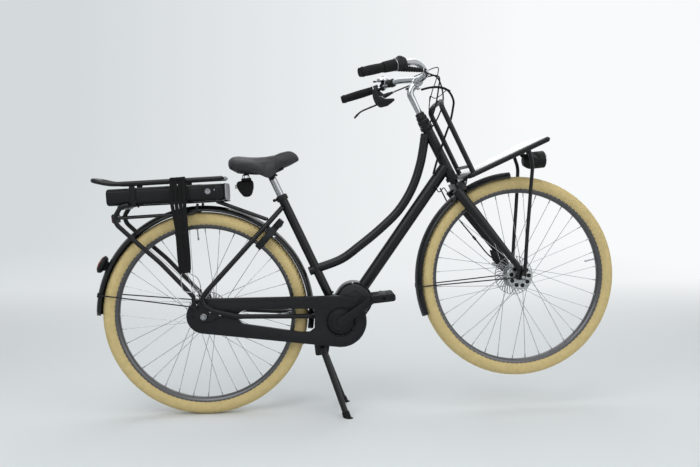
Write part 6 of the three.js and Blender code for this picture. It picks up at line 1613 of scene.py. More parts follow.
@dataclass
class Fork:
    """The fork, its axle, the roller brake and its wiring, all on the steered body."""

    axle: tuple = (1130.0, 0.0)
    blade_y: float = 58.0

    def build(self, bench: Bench) -> None:
        """Makes the fork's pieces."""
        body, place = "steering", bench.steered
        bench.piece("fork_blades", self.blades(), PAINT, body, place, ["fork"])
        bench.piece("fork_fittings", self.fittings(), DARK_STEEL, body, place)
        bench.piece("front_axle_bar", self.axle_bar(), STEEL, body, place, ["front_axle"])
        unit, arm = self.brake()
        bench.piece("front_brake_drum", unit, ALLOY, body, place, ["front_brake_unit"])
        bench.piece("front_brake_arm", arm[:1], DARK_STEEL, body, place)
        bench.piece("front_brake_lever", arm[1:], STEEL, body, place)
        bench.piece("front_brake_wire", self.wire(), RUBBER, body, place, ["front_brake_cable"])
        bench.piece("headset_lock_nut", self.headset(), DARK_STEEL, body, place, ["headset_nut"])

    def blades(self) -> list[Shell]:
        """The crown's rounded box, two blades that taper to flat ends, and the steerer above."""
        path = np.stack([on_head(rise, 4) for rise in (-27, -24, -9, 5, 8)])
        size = np.array([[0.9, 0.95], [1, 1], [1, 1], [0.97, 0.97], [0.86, 0.93]])
        made = [carried(path, soft_box(19, 57, 13, 6) * size[:, None, :], side=(1, 0, 0.3))]
        made.append(rod(on_head(0), on_head(252), 14.2, sides=36))
        top, end = np.array([927, -47.5, 337.0]), np.array([1124, -self.blade_y, 31.0])
        t = np.linspace(0, 1, 60)
        bow = top + (end - top) * t[:, None]
        half = np.interp(t, [0, 0.3, 0.85, 1], [18.5, 17.4, 11.6, 9.0])
        flat = np.interp(t, [0, 0.3, 0.86, 1], [11.0, 9.6, 6.6, 3.6])
        ring = np.linspace(0, 2 * math.pi, 36, endpoint=False)
        cut = np.stack([np.cos(ring) * half[:, None], np.sin(ring) * flat[:, None]], -1)
        made += pair(carried(bow, cut, side=(1, 0, 0.5)))
        tip = softened(np.array([(1117, 42), (1132, 36), (1142, 5), (1138, -9), (1110, -7), (1103, 4),
                                 (1112, 20)], float), 4, 4)
        made += pair(plate(tip, -55.3, -50.3, holes=[circle(1130, 0, 5.3)], edge=0.8))
        return made

    def fittings(self) -> list[Shell]:
        """The stabiliser spring between fork and down tube, its two eyes, and a boss on each blade."""
        wire = smooth(np.array([(861, 0, 352), (863, 0, 343), (867, 0, 337), (874, 0, 338), (880, 0, 344),
                                (887, 0, 349), (896, 0, 336), (905, 0, 320), (911, 0, 303)], float), 60)
        made = [tube(wire + [0, -24, 0], 1.9, 12)]
        made += [pin(911, 303, -29, -20, 4.2), pin(861, 353, -28, -20, 4.2)]
        return made + pair(dome((1105, -self.blade_y - 6.4, 61), (0, -1, 0), 3.6, 2))

    def axle_bar(self) -> list[Shell]:
        """The axle with a washer and a domed nut on each side."""
        x, z = self.axle
        made = [pin(x, z, -71.4, 71.4, 4.8)]
        for side in (-1, 1):
            cone = rod((x, side * 36.5, z), (x, side * 50, z), 8.6)
            outer = carried(np.array([[x, side * y, z] for y in (55.6, 62.4, 63.6)]),
                            round_section(np.array([9.0, 9.0, 7.8]), 6))
            made += [cone, outer, rod((x, side * 67.6, z), (x, side * 71.2, z), 7.2, 5.4)]
        return made

    def brake(self) -> tuple[list[Shell], list[Shell]]:
        """The drum of the brake by the left blade, and its reaction arm and cable lever."""
        x, z = self.axle
        drum = [pin(x, z, 40.0, 47.4, 34, 56), pin(x, z, 47, 48.4, 25, 48)]
        angles = np.linspace(0, 2 * math.pi, 19)[:-1]
        drum += [pin(*spot, 47.2, 48.3, 2.2, 12) for spot in on_circle(x, z, 29.5, angles)]
        arm = softened(np.array([(1118, 20), (1100, 64), (1070, 98), (1050, 104), (1058, 62), (1072, 50),
                                 (1100, 14)], float), 6, 5)
        plates = [plate(arm, 41.6, 45.2, edge=0.7)]
        lever = softened(np.array([(1130, 6), (1066, 56), (1054, 55), (1053, 45), (1062, 43), (1122, -6)],
                                  float), 4, 5)
        plates.append(plate(lever, 45.7, 48.2, edge=0.6))
        return drum, plates

    def wire(self) -> list[Shell]:
        """The front brake's cable along the left blade to the lever at the drum."""
        shares = ((0.7903, 0.3097), (0.8221, 0.2345), (0.8938, 0.1239), (0.9274, 0.0743), (0.9522, 0.0531),
                  (0.9664, 0.0469))
        line = smooth(spots(shares, (56, 56, 55, 52, 50.4, 50.4)), 90)
        clips = [carried(line[i - 2: i + 3], round_section(4.4, 16), side=(0, 1, 0)) for i in (26, 56)]
        return [tube(line, 2.5, 14), *clips]

    def headset(self) -> list[Shell]:
        """The lock nut on top of the head tube, with its washer and knurled ring."""
        head = standing(HEAD_POINT, HEAD_AXIS)
        washer = turned([(14.6, 236.5), (20.6, 236.5), (21, 237.2), (21, 241), (20.4, 242), (14.6, 242)], 64)
        angle = np.arange(96) * 2 * math.pi / 96
        wave = np.zeros((96, 6))
        wave[:, 1:5] = (0.5 * np.cos(angle * 32))[:, None]
        ring = turned([(14.8, 242.4), (20, 242.4), (20.6, 243.4), (20.6, 257), (19.8, 258), (14.8, 258)], 96,
                      wave)
        cap = turned([(12.8, 258.4), (18.4, 258.4), (19, 259.4), (19, 272), (17.6, 274), (16.4, 276),
                      (16.4, 284.5), (14.6, 287.4), (12.8, 287.8)], 64)
        return [shell.moved(head) for shell in (washer, ring, cap)]


@dataclass
class Cockpit:
    """The bar with its stem, grips, levers, bell and switch."""

    shares: tuple = ((0.7416, 0.6478), (0.7416, 0.6478), (0.7628, 0.6619), (0.7363, 0.6761), (0.708, 0.6832),
                     (0.6655, 0.6743), (0.5283, 0.6518))
    spread: tuple = (0, 26, 60, 130, 178, 232, 278.6)
    bar: float = 11.0
    grip: float = 16.0
    grip_start: float = 4.0
    grip_length: float = 124.0
    short_share: float = 0.62
    twist_length: float = 44.0
    play: float = 0.6
    lever_gap: float = 3.0
    lever_clamp: float = 18.0
    bell_gap: float = 11.0
    switch_gap: float = 46.0

    def build(self, bench: Bench) -> None:
        """Makes the pieces of the bar."""
        body, place = "steering", bench.steered
        right, left = self.side(-1), self.side(1)
        bench.piece("handlebar_tube", [tube(np.vstack([right[::-1], left[1:]]), self.bar, 32)], CHROME, body,
                    place, ["handlebar"])
        bench.piece("stem_quill", self.stem(), CHROME, body, place, ["quill_stem"])
        bench.piece("stem_bolts", self.stem_bolts(), DARK_STEEL, body, place)
        ends = [self.sleeve(sign, 0, 5.0, 14.6, 2) for sign in (1, -1)]
        ends += [rod(line[0], line[0] + (line[0] - line[1]) / 1.5, 14.4, 11.0) for line in
                 (self.along(sign, 0, 1, 1) for sign in (1, -1))]
        bench.piece("grip_ends", ends, RUBBER, body, place)
        bench.piece("grip_left_cover", self.grip_cover(1, 4, 128), RUBBER, body, place, ["grip_left"],
                    crease=60)
        bench.piece("grip_right_cover", self.grip_cover(-1, 4, 80.9), RUBBER, body, place, ["grip_right"],
                    crease=60)
        bench.piece("shift_grip_cover", self.twist(), RUBBER, "shift_grip", place, ["shift_grip"], crease=60)
        case, ring, marks, boot = self.shifter()
        bench.piece("shifter_case", case, PLASTIC, body, place, ["shifter_housing"])
        bench.piece("shifter_ring", ring, STEEL, body, place)
        bench.piece("shifter_window", marks, PALE_INK, body, place)
        bench.piece("shifter_boot", boot, RUBBER, body, place, crease=60)
        bracket, screws, blade = self.lever()
        bench.piece("lever_bracket_body", bracket, DARK_STEEL, body, place, ["lever_bracket"])
        bench.piece("lever_screws", screws, STEEL, body, place)
        bench.piece("brake_lever_blade", blade, DARK_STEEL, "brake_lever", place, ["brake_lever"], crease=50)
        dome_part, strap, thumb = self.bell()
        bench.piece("bell_dome", dome_part[:1], CHROME, body, place, ["bell"], crease=50)
        bench.piece("bell_button", dome_part[1:], PLASTIC, body, place)
        bench.piece("bell_strap", strap, PLASTIC, body, place)
        bench.piece("bell_thumb", thumb, PLASTIC, "bell_lever", place, ["bell_lever"])
        switch, keys = self.switch()
        bench.piece("assist_switch_case", switch, PLASTIC, body, place, ["assist_switch"])
        bench.piece("assist_switch_keys", keys, CAP, body, place)

    def twist_start(self) -> float:
        """How far from the right end the turning part of the shifter begins."""
        return self.grip_start + self.grip_length * self.short_share + self.play

    def lever_start(self) -> float:
        """How far from the left end the lever's clamp begins."""
        return self.grip_start + self.grip_length + self.lever_gap

    def bell_start(self) -> float:
        """How far from the left end the bell's strap begins."""
        return self.lever_start() + self.lever_clamp + self.bell_gap

    def clamp_spot(self) -> np.ndarray:
        """The middle of the stem's clamp."""
        return np.array([self.shares[0][0], 0, self.shares[0][1]]) * [WHEELBASE, 1, WHEELBASE]

    def side(self, sign: int) -> np.ndarray:
        """The bar's middle line from the stem to one grip's end."""
        return rounded(spots(self.shares, [sign * y for y in self.spread]), 26, 8)

    def along(self, sign: int, start: float, end: float, steps: int) -> np.ndarray:
        """Points on the bar's line between two distances from its end."""
        line = self.side(sign)[::-1]
        run = np.concatenate([[0], np.cumsum(np.linalg.norm(np.diff(line, axis=0), axis=1))])
        at = np.linspace(start, end, steps + 1)
        return np.column_stack([np.interp(at, run, line[:, k]) for k in range(3)])

    def sleeve(self, sign: int, start: float, end: float, outer: float, steps: int = 8) -> Shell:
        """A round sleeve on the bar."""
        return tube(self.along(sign, start, end, steps), outer, 32, 0.08)

    def stem(self) -> list[Shell]:
        """The quill, its bend and the clamp, swept as one thick bar that widens to the clamp."""
        clamp = self.clamp_spot()
        path = rounded(np.stack([on_head(252.5), on_head(371, 2), clamp]), 26, 12)
        t = np.linspace(0, 1, len(path))
        radius = 11 + 2.4 * np.clip((t - 0.25) / 0.5, 0, 1)
        path = evenly(path, 30)
        radius = np.interp(np.linspace(0, 1, 31), t, radius)
        made = [tube(path, radius, 32, 0.05), pin(clamp[0], clamp[2], -22, 22, 17, 48)]
        made.append(block((clamp[0] - 6, -9, clamp[2] - 25), (clamp[0] + 8, 9, clamp[2] - 8), 3))
        return made

    def stem_bolts(self) -> list[Shell]:
        """The bolt that pulls the quill tight and the bolt of the clamp."""
        clamp = self.clamp_spot()
        top = on_head(381, 1)
        return [rod(top, top + HEAD_AXIS * 5.5, 6.6, 6.2),
                rod(top + HEAD_AXIS * 5.4, top + HEAD_AXIS * 6.2, 4, sides=6),
                rod(clamp + [1, 0, -26], clamp + [1, 0, -22], 4.6)]

    def grip_cover(self, sign: int, start: float, end: float) -> list[Shell]:
        """A rubber grip with a rounded flange at its end and fine rings along it."""
        steps = 150
        line = self.along(sign, start, end, steps)
        s = np.linspace(0, end - start, steps + 1)
        ribs = 0.5 * np.cos(s * 2 * math.pi / 5.5) * np.clip((s - 14) / 4, 0, 1)
        ribs *= np.clip((end - start - 8 - s) / 4, 0, 1)
        swell = 1.2 * np.sin(math.pi * s / (end - start))
        radius = self.grip - 1.4 + ribs + swell
        radius += 1.6 * (np.exp(-(((s - 5) / 4) ** 2)) + 0.6 * np.exp(-(((end - start - 3 - s) / 3) ** 2)))
        radius[0], radius[-1] = self.grip - 3.5, self.grip - 2.5
        return [carried(line, round_section(radius, 48))]

    def twist(self) -> list[Shell]:
        """The turning part of the shifter, with lengthwise ribs that the thumb holds."""
        start = self.twist_start()
        line = self.along(-1, start + 0.6, start + 43.4, 24)
        s = np.linspace(0, 1, 25)
        angle = np.arange(96) * 2 * math.pi / 96
        radius = 17.0 + 1.8 * s
        radius[0], radius[-1] = 15.6, 17.6
        ribs = 0.75 * np.maximum(np.cos(angle * 16), 0) ** 2
        live = np.clip(np.minimum(s, 1 - s) * 8, 0, 1)
        rings = (radius[:, None] + ribs * live[:, None])[..., None]
        unit = np.column_stack([np.cos(angle), np.sin(angle)])
        return [carried(line, rings * unit)]

    def shifter(self) -> tuple[list[Shell], list[Shell], list[Shell], list[Shell]]:
        """The fixed part of the shifter: collar, case with its indicator, bright ring and ribbed boot."""
        start = self.twist_start() + self.twist_length + self.play
        at = self.along(-1, start + 12, start + 20, 1)[0]
        collar = self.sleeve(-1, start + 3.2, start + 34, 21.4, 10)
        ring = self.sleeve(-1, start + 0.2, start + 3.4, 21.2, 3)
        root, end = at + [4, 4, -12], np.array([0.7186 * WHEELBASE, -204, 0.6531 * WHEELBASE])
        bulb = tube(evenly(np.array([at + [2, 0, 2], at + [9, 0, 13], at + [16, 0, 23]]), 8),
                    np.array([15.4, 16, 16.4, 16.4, 16, 15.2, 14, 12, 8.6]), 32, 0.3)
        window = dome(at + np.array([12, -1, 22]), (0.35, -0.45, 0.85), 6.2, 1.6, 24)
        s = np.linspace(0, 1, 81)
        line = root + (end - root) * s[:, None]
        boot = carried(line, round_section(10.4 - 3.6 * s + 0.8 * np.cos(s * 2 * math.pi * 9), 28))
        return [collar, bulb], [ring], [window], [boot]

    def lever(self) -> tuple[list[Shell], list[Shell], list[Shell]]:
        """The left lever's clamp and arm, its screws and the blade."""
        start = self.lever_start()
        at = self.along(1, start + 9, start + 10, 1)[0]
        pivot = np.array([0.6584 * WHEELBASE, 214, 0.6389 * WHEELBASE])
        mid, end = pivot + [6, -6, 2], pivot + [40, -20, 12]
        bracket = [self.sleeve(1, start, start + self.lever_clamp, 16.4, 6)]
        bracket.append(rod(at + [4, 0, -12], mid, 8.8, 7))
        bracket += [rod(mid, end - (end - mid) * 0.32, 9, 6.6), rod(mid + (end - mid) * 0.62, end, 5.6, 4.6)]
        cheek = softened(np.array([(710, 756), (727, 756), (729, 727), (752, 714), (788, 712), (790, 704),
                                   (764, 688), (734, 684), (717, 700), (710, 724)], float), 6, 5)
        bracket += [plate(cheek, pivot[1] + y, pivot[1] + y + 4.6, edge=1.2) for y in (-14.2, 9.6)]
        screws = [rod(pivot + [0, -9.6, 0], pivot + [0, -8.8, 0], 4.6),
                  rod(at + [-10, 2, -13], at + [-10, 2, -19], 3)]
        screws += [rod(mid + (end - mid) * 0.58, mid + (end - mid) * 0.66, 6.2)]
        shares = ((0.6584, 0.6389), (0.6442, 0.6186), (0.623, 0.6133), (0.5832, 0.6018), (0.5628, 0.5841))
        line = smooth(rounded(spots(shares, (220, 234, 242, 250, 256)), 16, 4), 70)
        s = np.linspace(0, 1, 71)
        wide = np.interp(s, [0, 0.2, 0.6, 0.92, 1], [4.6, 5.6, 5.8, 5.2, 4.2])
        thick = np.interp(s, [0, 0.2, 0.8, 0.92, 1], [4.2, 3.4, 3.2, 4.4, 3.4])
        unit = round_section(1.0, 28)
        cut = unit * np.stack([wide, thick], -1)[:, None, :]
        blade = [carried(line, cut, side=(0, 1, 0)), dome(line[-1], line[-1] - line[-2], 4.6, 3.6)]
        blade.append(pin(pivot[0], pivot[2], pivot[1] - 8.4, pivot[1] + 9, 6.2))
        return bracket, screws, blade

    def bell(self) -> tuple[list[Shell], list[Shell], list[Shell]]:
        """The bell: a domed cap turned about its own axis, the strap that holds it and its thumb lever."""
        start = self.bell_start()
        at = self.along(1, start + 6, start + 7, 1)[0]
        up = Vector((0.1, -0.1, 1)).normalized()
        base = Vector(at) + up * (self.bar + 7)
        place = standing(base, up)
        s = np.linspace(math.pi / 2, 0.05, 16)
        crown = [(23.6 * math.sin(a), 9 + 12.8 * math.cos(a)) for a in s]
        profile = [(0.05, 5.4), (22.2, 5.4), (23.7, 6.2), (23.9, 8.4), *crown]
        cap = turned(profile, 72)
        knob = turned([(0.05, 20.4), (7.6, 20.4), (7.2, 21.8), (4.4, 23.2), (0.05, 23.6)], 40)
        post = turned([(0.05, -7), (6.8, -7), (6.8, 5.6), (0.05, 5.6)], 32)
        strap = self.sleeve(1, start, start + 12, 14.4, 5)
        lean = Vector((0, 0, 1)).rotation_difference(up)
        plate_turn = Matrix.Translation(base + up * 2.4) @ lean.to_matrix().to_4x4()
        angle = np.linspace(math.radians(-152), math.radians(152), 40)
        arc = np.column_stack([11 * np.cos(angle), 11 * np.sin(angle)])
        arm = [(-13, 3.2), (-28, 3.2), (-34, 2), (-34, -3), (-28, -3.8), (-13, -4)]
        outline = np.vstack([arc, arm])
        flat = plate(outline, -1.6, 1.6, holes=[circle(0, 0, 7.8)], edge=0.5)
        p = flat.points
        flat = Shell(np.column_stack([p[:, 0], p[:, 2], p[:, 1]]), flat.faces)
        pad = rod((-31, 0, -3), (-31, 0, 3), 6)
        return [cap.moved(place), knob.moved(place)], [strap, post.moved(place)], [
            flat.moved(plate_turn), pad.moved(plate_turn)]

    def switch(self) -> tuple[list[Shell], list[Shell]]:
        """The assist control beside the left grip: a strap, a round case and three keys."""
        start = self.bell_start() + self.switch_gap
        at = self.along(1, start + 8, start + 9, 1)[0]
        case = [self.sleeve(1, start, start + 16, 15.8, 6)]
        axis = np.array([-16, 0, -10.0]) / math.hypot(16, 10)
        centre = at + np.array([-6, 0, 4])
        case.append(tube(centre + axis * np.array([[0], [4], [14], [17.5], [18.8]]),
                         np.array([14, 15, 15, 13.6, 11.0]), 40, 0.05))
        face = centre + axis * 18.6
        side = np.array([0, 1, 0])
        keys = [dome(face + side * y, axis, 2.8, 1.2) for y in (-6.5, 0, 6.5)]
        return case, keys


@dataclass
class FrontCarrier:
    """The hoop and tray in front of the head, its board and the lamp under it."""

    hoop: tuple = ((0.8717, 0.3372), (0.7903, 0.5602), (0.8009, 0.5761))
    sides: tuple = ((0.8602, 0.3363), (1.1027, 0.4212))
    stays: tuple = ((1.0531, 0.4027), (1.0637, 0.3478), (1.0541, 0.2916), (1.041, 0.216), (1.026, 0.1356),
                    (1.0097, 0.0389), (1.0053, 0.0177))
    cheek: tuple = ((1.0788, 0.3575), (1.0947, 0.3575), (1.0947, 0.3717), (1.0619, 0.4088), (1.0496, 0.4035),
                    (1.0726, 0.3699))
    lamp: tuple = (1.0867, 0.3646)
    radius: float = 9.0
    rear_half: float = 88.0
    front_half: float = 132.0

    def build(self, bench: Bench) -> None:
        """Makes the carrier, its board and the lamp."""
        body, place = "steering", bench.steered
        bench.piece("front_carrier_tubes", self.tubes(), PAINT, body, place, ["front_carrier"])
        bench.piece("front_carrier_plates", self.plates(), PAINT, body, place)
        bench.piece("front_carrier_bolts", self.bolts(), STEEL, body, place)
        rear, front = self.corner(0, 0), self.corner(1, 0)
        lean = math.atan2(front[2] - rear[2], front[0] - rear[0])
        tray = place.inside(tuple(rear), Matrix.Rotation(-lean, 4, "Y"))
        bench.piece("carrier_board_panel", self.board(), BOARD, body, tray, ["carrier_board"], crease=30)
        lamp = place.inside((self.lamp[0] * WHEELBASE, 0, self.lamp[1] * WHEELBASE))
        case, rim, glass, bowl = self.headlight()
        bench.piece("headlight_case", case, PLASTIC, "headlight_unit", lamp, ["headlight"])
        bench.piece("headlight_rim", rim, CASE, "headlight_unit", lamp)
        bench.piece("headlight_bowl", bowl, LAMP_BOWL, "headlight_unit", lamp)
        bench.piece("headlight_glass", glass, CLEAR, "headlight_unit", lamp, ["headlight_lens"], crease=60)

    def corner(self, share: float, side: int) -> np.ndarray:
        """A point on the tray's side tube: the share of the way from its rear to its front end."""
        start, end = spots(self.sides)
        point = start + (end - start) * share
        return point + [0, side * (self.rear_half + (self.front_half - self.rear_half) * share), 0]

    def tubes(self) -> list[Shell]:
        """The hoop, the tray's round bars and the two stays that go down to the hub."""
        low, knee, top = spots(self.hoop, -self.rear_half)
        crest = top + [0, 34, 0]
        loop = np.stack([low, knee, crest, crest * [1, -1, 1], knee * [1, -1, 1], low * [1, -1, 1]])
        bar = np.array([0.8619, 0, 0.3664]) * [WHEELBASE, 1, WHEELBASE]
        made = [tube(rounded(loop, 30, 10), self.radius, 28)]
        made.append(rod(bar + [0, -self.rear_half, 0], bar + [0, self.rear_half, 0], 6))
        ring = np.stack([self.corner(0.5, -1), self.corner(0, -1), self.corner(0, 1), self.corner(0.5, 1)])
        made.append(tube(rounded(ring, 14, 8), self.radius, 28))
        made += pair(rod(self.corner(0.5, -1), self.corner(1, -1), self.radius, sides=28))
        made += [rod(self.corner(share, -1), self.corner(share, 1), 6) for share in (0.8, 1)]
        made += pair(tube(rounded(spots(self.stays, (-84, -76, -71, -69, -68, -67, -66)), 18, 8), 6.5, 24))
        return made

    def plates(self) -> list[Shell]:
        """The eyes at the hub, the plate down to the crown and the lamp's two cheeks."""
        eye = belt((1130, 0), 10, (1.0053 * WHEELBASE, 0.0177 * WHEELBASE), 8)
        made = pair(plate(eye, -67.4, -63.9, holes=[circle(1130, 0, 5.3)]))
        crown = softened(spots(((0.8486, 0.324), (0.8541, 0.3098), (0.8602, 0.3097), (0.8664, 0.331),
                                (0.8549, 0.3336)))[:, [0, 2]], 3)
        made.append(plate(crown, -22, 22, edge=1))
        cheek = softened(spots(self.cheek)[:, [0, 2]], 7, 5)
        x, z = self.lamp[0] * WHEELBASE, self.lamp[1] * WHEELBASE
        return made + pair(plate(cheek, -40, -34, holes=[circle(x, z, 5.6, 32)], edge=1))

    def bolts(self) -> list[Shell]:
        """Bolts on the cheeks, the crown's plate and the ends of the stays."""
        x, z = self.lamp[0] * WHEELBASE, self.lamp[1] * WHEELBASE
        made = pair(dome((x - 25, -40.2, z + 35), (0, -1, 0), 4, 2))
        made += pair(dome((0.857 * WHEELBASE, -22.2, 0.32 * WHEELBASE), (0, -1, 0), 3.6, 1.8))
        return made

    def board(self) -> list[Shell]:
        """The board between the tray's tubes: one skin over a trapezoid with grooves pressed into its top.

        Along the board u runs from its rear to its front edge and v from its right to its left side. The top
        is lowered by 1.5 mm where the wave of the grooves is low, and all edges are rounded.
        """
        reach = np.linalg.norm(self.corner(1, 0) - self.corner(0, 0))
        low, high, base, thick = self.radius + 0.5, reach + 6.0, 6.3, 5.0
        u = np.linspace(0, 1, 60)
        x = low + (high - low) * u
        gap = self.radius + 0.3
        widen = (self.front_half - self.rear_half) * np.clip((x - low) / reach, 0, 1)
        half = self.rear_half - gap + widen - 1.5
        half = np.where(x < low + 2 * self.radius, self.rear_half - gap - 0.2, half)
        v = np.linspace(-1, 1, 241)
        groove = np.clip((np.cos(v * math.pi * 17) - 0.2) * 3.0, 0, 1)
        live = np.clip(np.minimum(u, 1 - u) * (high - low) / 9 - 0.6, 0, 1)
        rim = 1.6
        cut = np.clip(np.minimum(u, 1 - u) * (high - low) / rim, 0, 1)
        fall = 1 - np.sqrt(1 - (1 - cut) ** 2)
        top = base + thick - 1.5 * groove[None, :] * live[:, None] * (np.abs(v) < 0.94) - rim * fall[:, None]
        side = 1 - np.sqrt(np.clip(1 - np.clip((np.abs(v) - 0.985) / 0.015, 0, 1) ** 2, 0, 1))
        top = top - rim * side[None, :]
        y = half[:, None] * v[None, :]
        upper = np.stack([np.broadcast_to(x[:, None], y.shape), y, top], -1)
        lower = np.stack([np.broadcast_to(x[:, None], (60, 5)), half[:, None] * np.linspace(1, -1, 5),
                          np.full((60, 5), base)], -1)
        return [grid(np.concatenate([upper, lower], 1))]

    def headlight(self) -> tuple[list[Shell], list[Shell], list[Shell], list[Shell]]:
        """The lamp's case with its cooling rings, its front rim, its glass and the bowl behind it."""
        s = np.array([(-33, 15), (-32.4, 17), (-30, 19), (-22, 24.6), (-12, 29.6), (-4, 30.8), (24, 31),
                      (38, 31)], float)
        xs = np.linspace(-33, 38, 120)
        radius = np.interp(xs, s[:, 0], s[:, 1])
        radius -= 0.9 * np.clip(np.cos((xs - 2) * 2 * math.pi / 6) * 4, 0, 1) * (xs > 1) * (xs < 22)
        line = np.column_stack([xs, np.zeros(120), np.zeros(120)])
        case = [carried(line, round_section(radius, 56)), pin(0, 0, -40.8, 40.8, 5)]
        rim = turned([(27.6, 37.6), (30.4, 37.6), (31, 38.4), (31, 43.4), (30.2, 44), (27.6, 44)], 72)
        bowl_line = [(0.1, 39), (26, 39), (27.4, 41), (27.4, 43.2), (25.4, 43.2), (22, 41.2), (10, 39.8),
                     (0.1, 39.6)]
        angle = np.linspace(math.pi / 2, 0.03, 14)
        glass_line = [(28.4 * math.sin(a), 44.6 + 9 * math.cos(a)) for a in angle]
        glass_line += [(0.1, 44.4), (28.4, 44.4)]
        turn = Matrix.Rotation(-math.pi / 2, 4, "Z")
        spin = [turned(rows, 72).moved(turn) for rows in (bowl_line, glass_line)]
        return case, [rim.moved(turn)], [spin[1]], [spin[0]]


@dataclass
class Cables:
    """The cables from the bar that pass the head and go down to the frame."""

    bundle: tuple = ((0.7451, 0.6195), (0.7752, 0.6239), (0.8035, 0.6221), (0.831, 0.6097), (0.8451, 0.5761),
                     (0.8407, 0.5531), (0.8274, 0.5124), (0.8062, 0.469), (0.7858, 0.4248), (0.7717, 0.3938),
                     (0.7575, 0.3558))
    bundle_y: tuple = (-34, -30, -28, -28, -28, -28, -28, -28, -28, -26, -20)
    shift: tuple = ((842, -130, 742), (893, -80, 728), (914, -46, 690), (915, -34, 650), (893, -31, 600),
                    (862, -28, 560))
    brake: tuple = ((852, 150, 750), (900, 80, 762), (922, 10, 745), (908, -18, 700), (889, -26, 640),
                    (862, -28, 580))

    def build(self, bench: Bench) -> None:
        """Makes the cables: the bundle, which is put on no body, and the ferrules and wires on the steering.
        """
        made = bench.piece("cable_bundle", self.lines(), RUBBER, None, bench.steered, ["control_cables"])
        start, end = bench.steered.spot(on_head(180, 40)), bench.steered.spot(on_head(20, 10))
        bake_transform(made)
        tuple(start)
        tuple(end)
        bench.piece("cable_ferrules", self.ferrules(), STEEL, "steering", bench.steered)
        bench.piece("cable_wires", self.wires(), RUBBER, "steering", bench.steered)

    def ends(self) -> tuple[np.ndarray, np.ndarray]:
        """Where the shifter's boot and the brake lever let go of their cables."""
        shift = np.array([0.7186 * WHEELBASE, -204, 0.6531 * WHEELBASE])
        return shift, np.array([0.6584 * WHEELBASE + 40, 194, 0.6389 * WHEELBASE + 12])

    def lines(self) -> list[Shell]:
        """The sheathed bundle, a second cable that winds round it, and the two control cables."""
        main = smooth(spots(self.bundle, self.bundle_y), 120)
        turn = np.linspace(0, 9, 121)
        drift = 3.4 * np.column_stack([np.zeros(121), np.cos(turn), np.sin(turn)])
        shift_at, brake_at = self.ends()
        shift = np.vstack([shift_at, shift_at + [12, 4, 3], self.shift])
        brake = np.vstack([brake_at, brake_at + [12, -6, 3], self.brake])
        made = [tube(main, 3.9, 18), tube(main + drift, 1.6, 12)]
        return made + [tube(smooth(shift, 80), 2.6, 16), tube(smooth(brake, 90), 2.6, 16)]

    def wires(self) -> list[Shell]:
        """The thin wires of the switch and the headlight, in a loop in front of the stem."""
        switch = np.array([(843, 64, 764), (876, 48, 772), (908, 16, 780), (918, -8, 774), (902, -20, 730),
                           (885, -22, 696), (868, -25, 650), (862, -28, 616)], float)
        lamp = np.array([(866, -28, 640), (874, -26, 676), (884, -25, 669), (892, -24, 667), (913, -20, 676),
                         (941, -16, 694), (953, -10, 690)], float)
        return [tube(smooth(switch, 80), 1.7, 12), tube(smooth(lamp, 60), 1.5, 12)]

    def ferrules(self) -> list[Shell]:
        """The bright ends where the cables enter the boot and the lever."""
        shift_at, brake_at = self.ends()
        return [rod(shift_at - [2, 0, 0.5], shift_at + [7, 2, 2], 3.8),
                rod(brake_at - [2, -1, 0.5], brake_at + [7, -3.5, 2], 3.8)]


@dataclass
class RearHubParts:
    """The rear axle with its nuts and the back-pedal brake's drum and arm."""

    arm: tuple = ((0.0, 0.0), (0.0991 * WHEELBASE, -0.0027 * WHEELBASE))

    def build(self, bench: Bench) -> None:
        """Makes the axle and the brake."""
        bench.piece("rear_axle_bar", self.axle(), STEEL, "frame", replaces=["rear_axle"])
        bench.piece("rear_brake_drum", self.drum(), ALLOY, "frame", replaces=["rear_brake_unit"])
        bench.piece("rear_brake_bolts", self.bolts(), STEEL, "frame")

    def axle(self) -> list[Shell]:
        """The axle, its cones and a chamfered nut with a washer on each side."""
        made = [pin(0, 0, -84, 84, 4.8)]
        made += pair(pin(0, 0, -78.4, -76.2, 11.5))
        made += pair(carried(np.array([[0, -y, 0] for y in (78.4, 83.0, 84.4)]),
                             round_section(np.array([9.0, 9.0, 7.8]), 6)))
        return made

    def drum(self) -> list[Shell]:
        """The drum with a stepped face and the long arm to the stay."""
        made = [pin(0, 0, 46.2, 56, 35, 56), pin(0, 0, 55.8, 58.6, 28, 48)]
        angles = np.linspace(0, 2 * math.pi, 17)[:-1]
        made += [pin(*spot, 55.8, 57.0, 1.9, 10) for spot in on_circle(0, 0, 31.4, angles)]
        outline = belt(self.arm[0], 14.3, self.arm[1], 9)
        made.append(plate(outline, 55.4, 58.9, holes=[circle(self.arm[1][0], self.arm[1][1], 3.4)], edge=0.7))
        return made

    def bolts(self) -> list[Shell]:
        """The bolt that clamps the arm to the left stay."""
        x, z = self.arm[1]
        return [pin(x, z, 54.2, 62.5, 3.2), dome((x, 58.9, z), (0, 1, 0), 5.2, 3)]


# ---------------------------------------------------------------- the studio


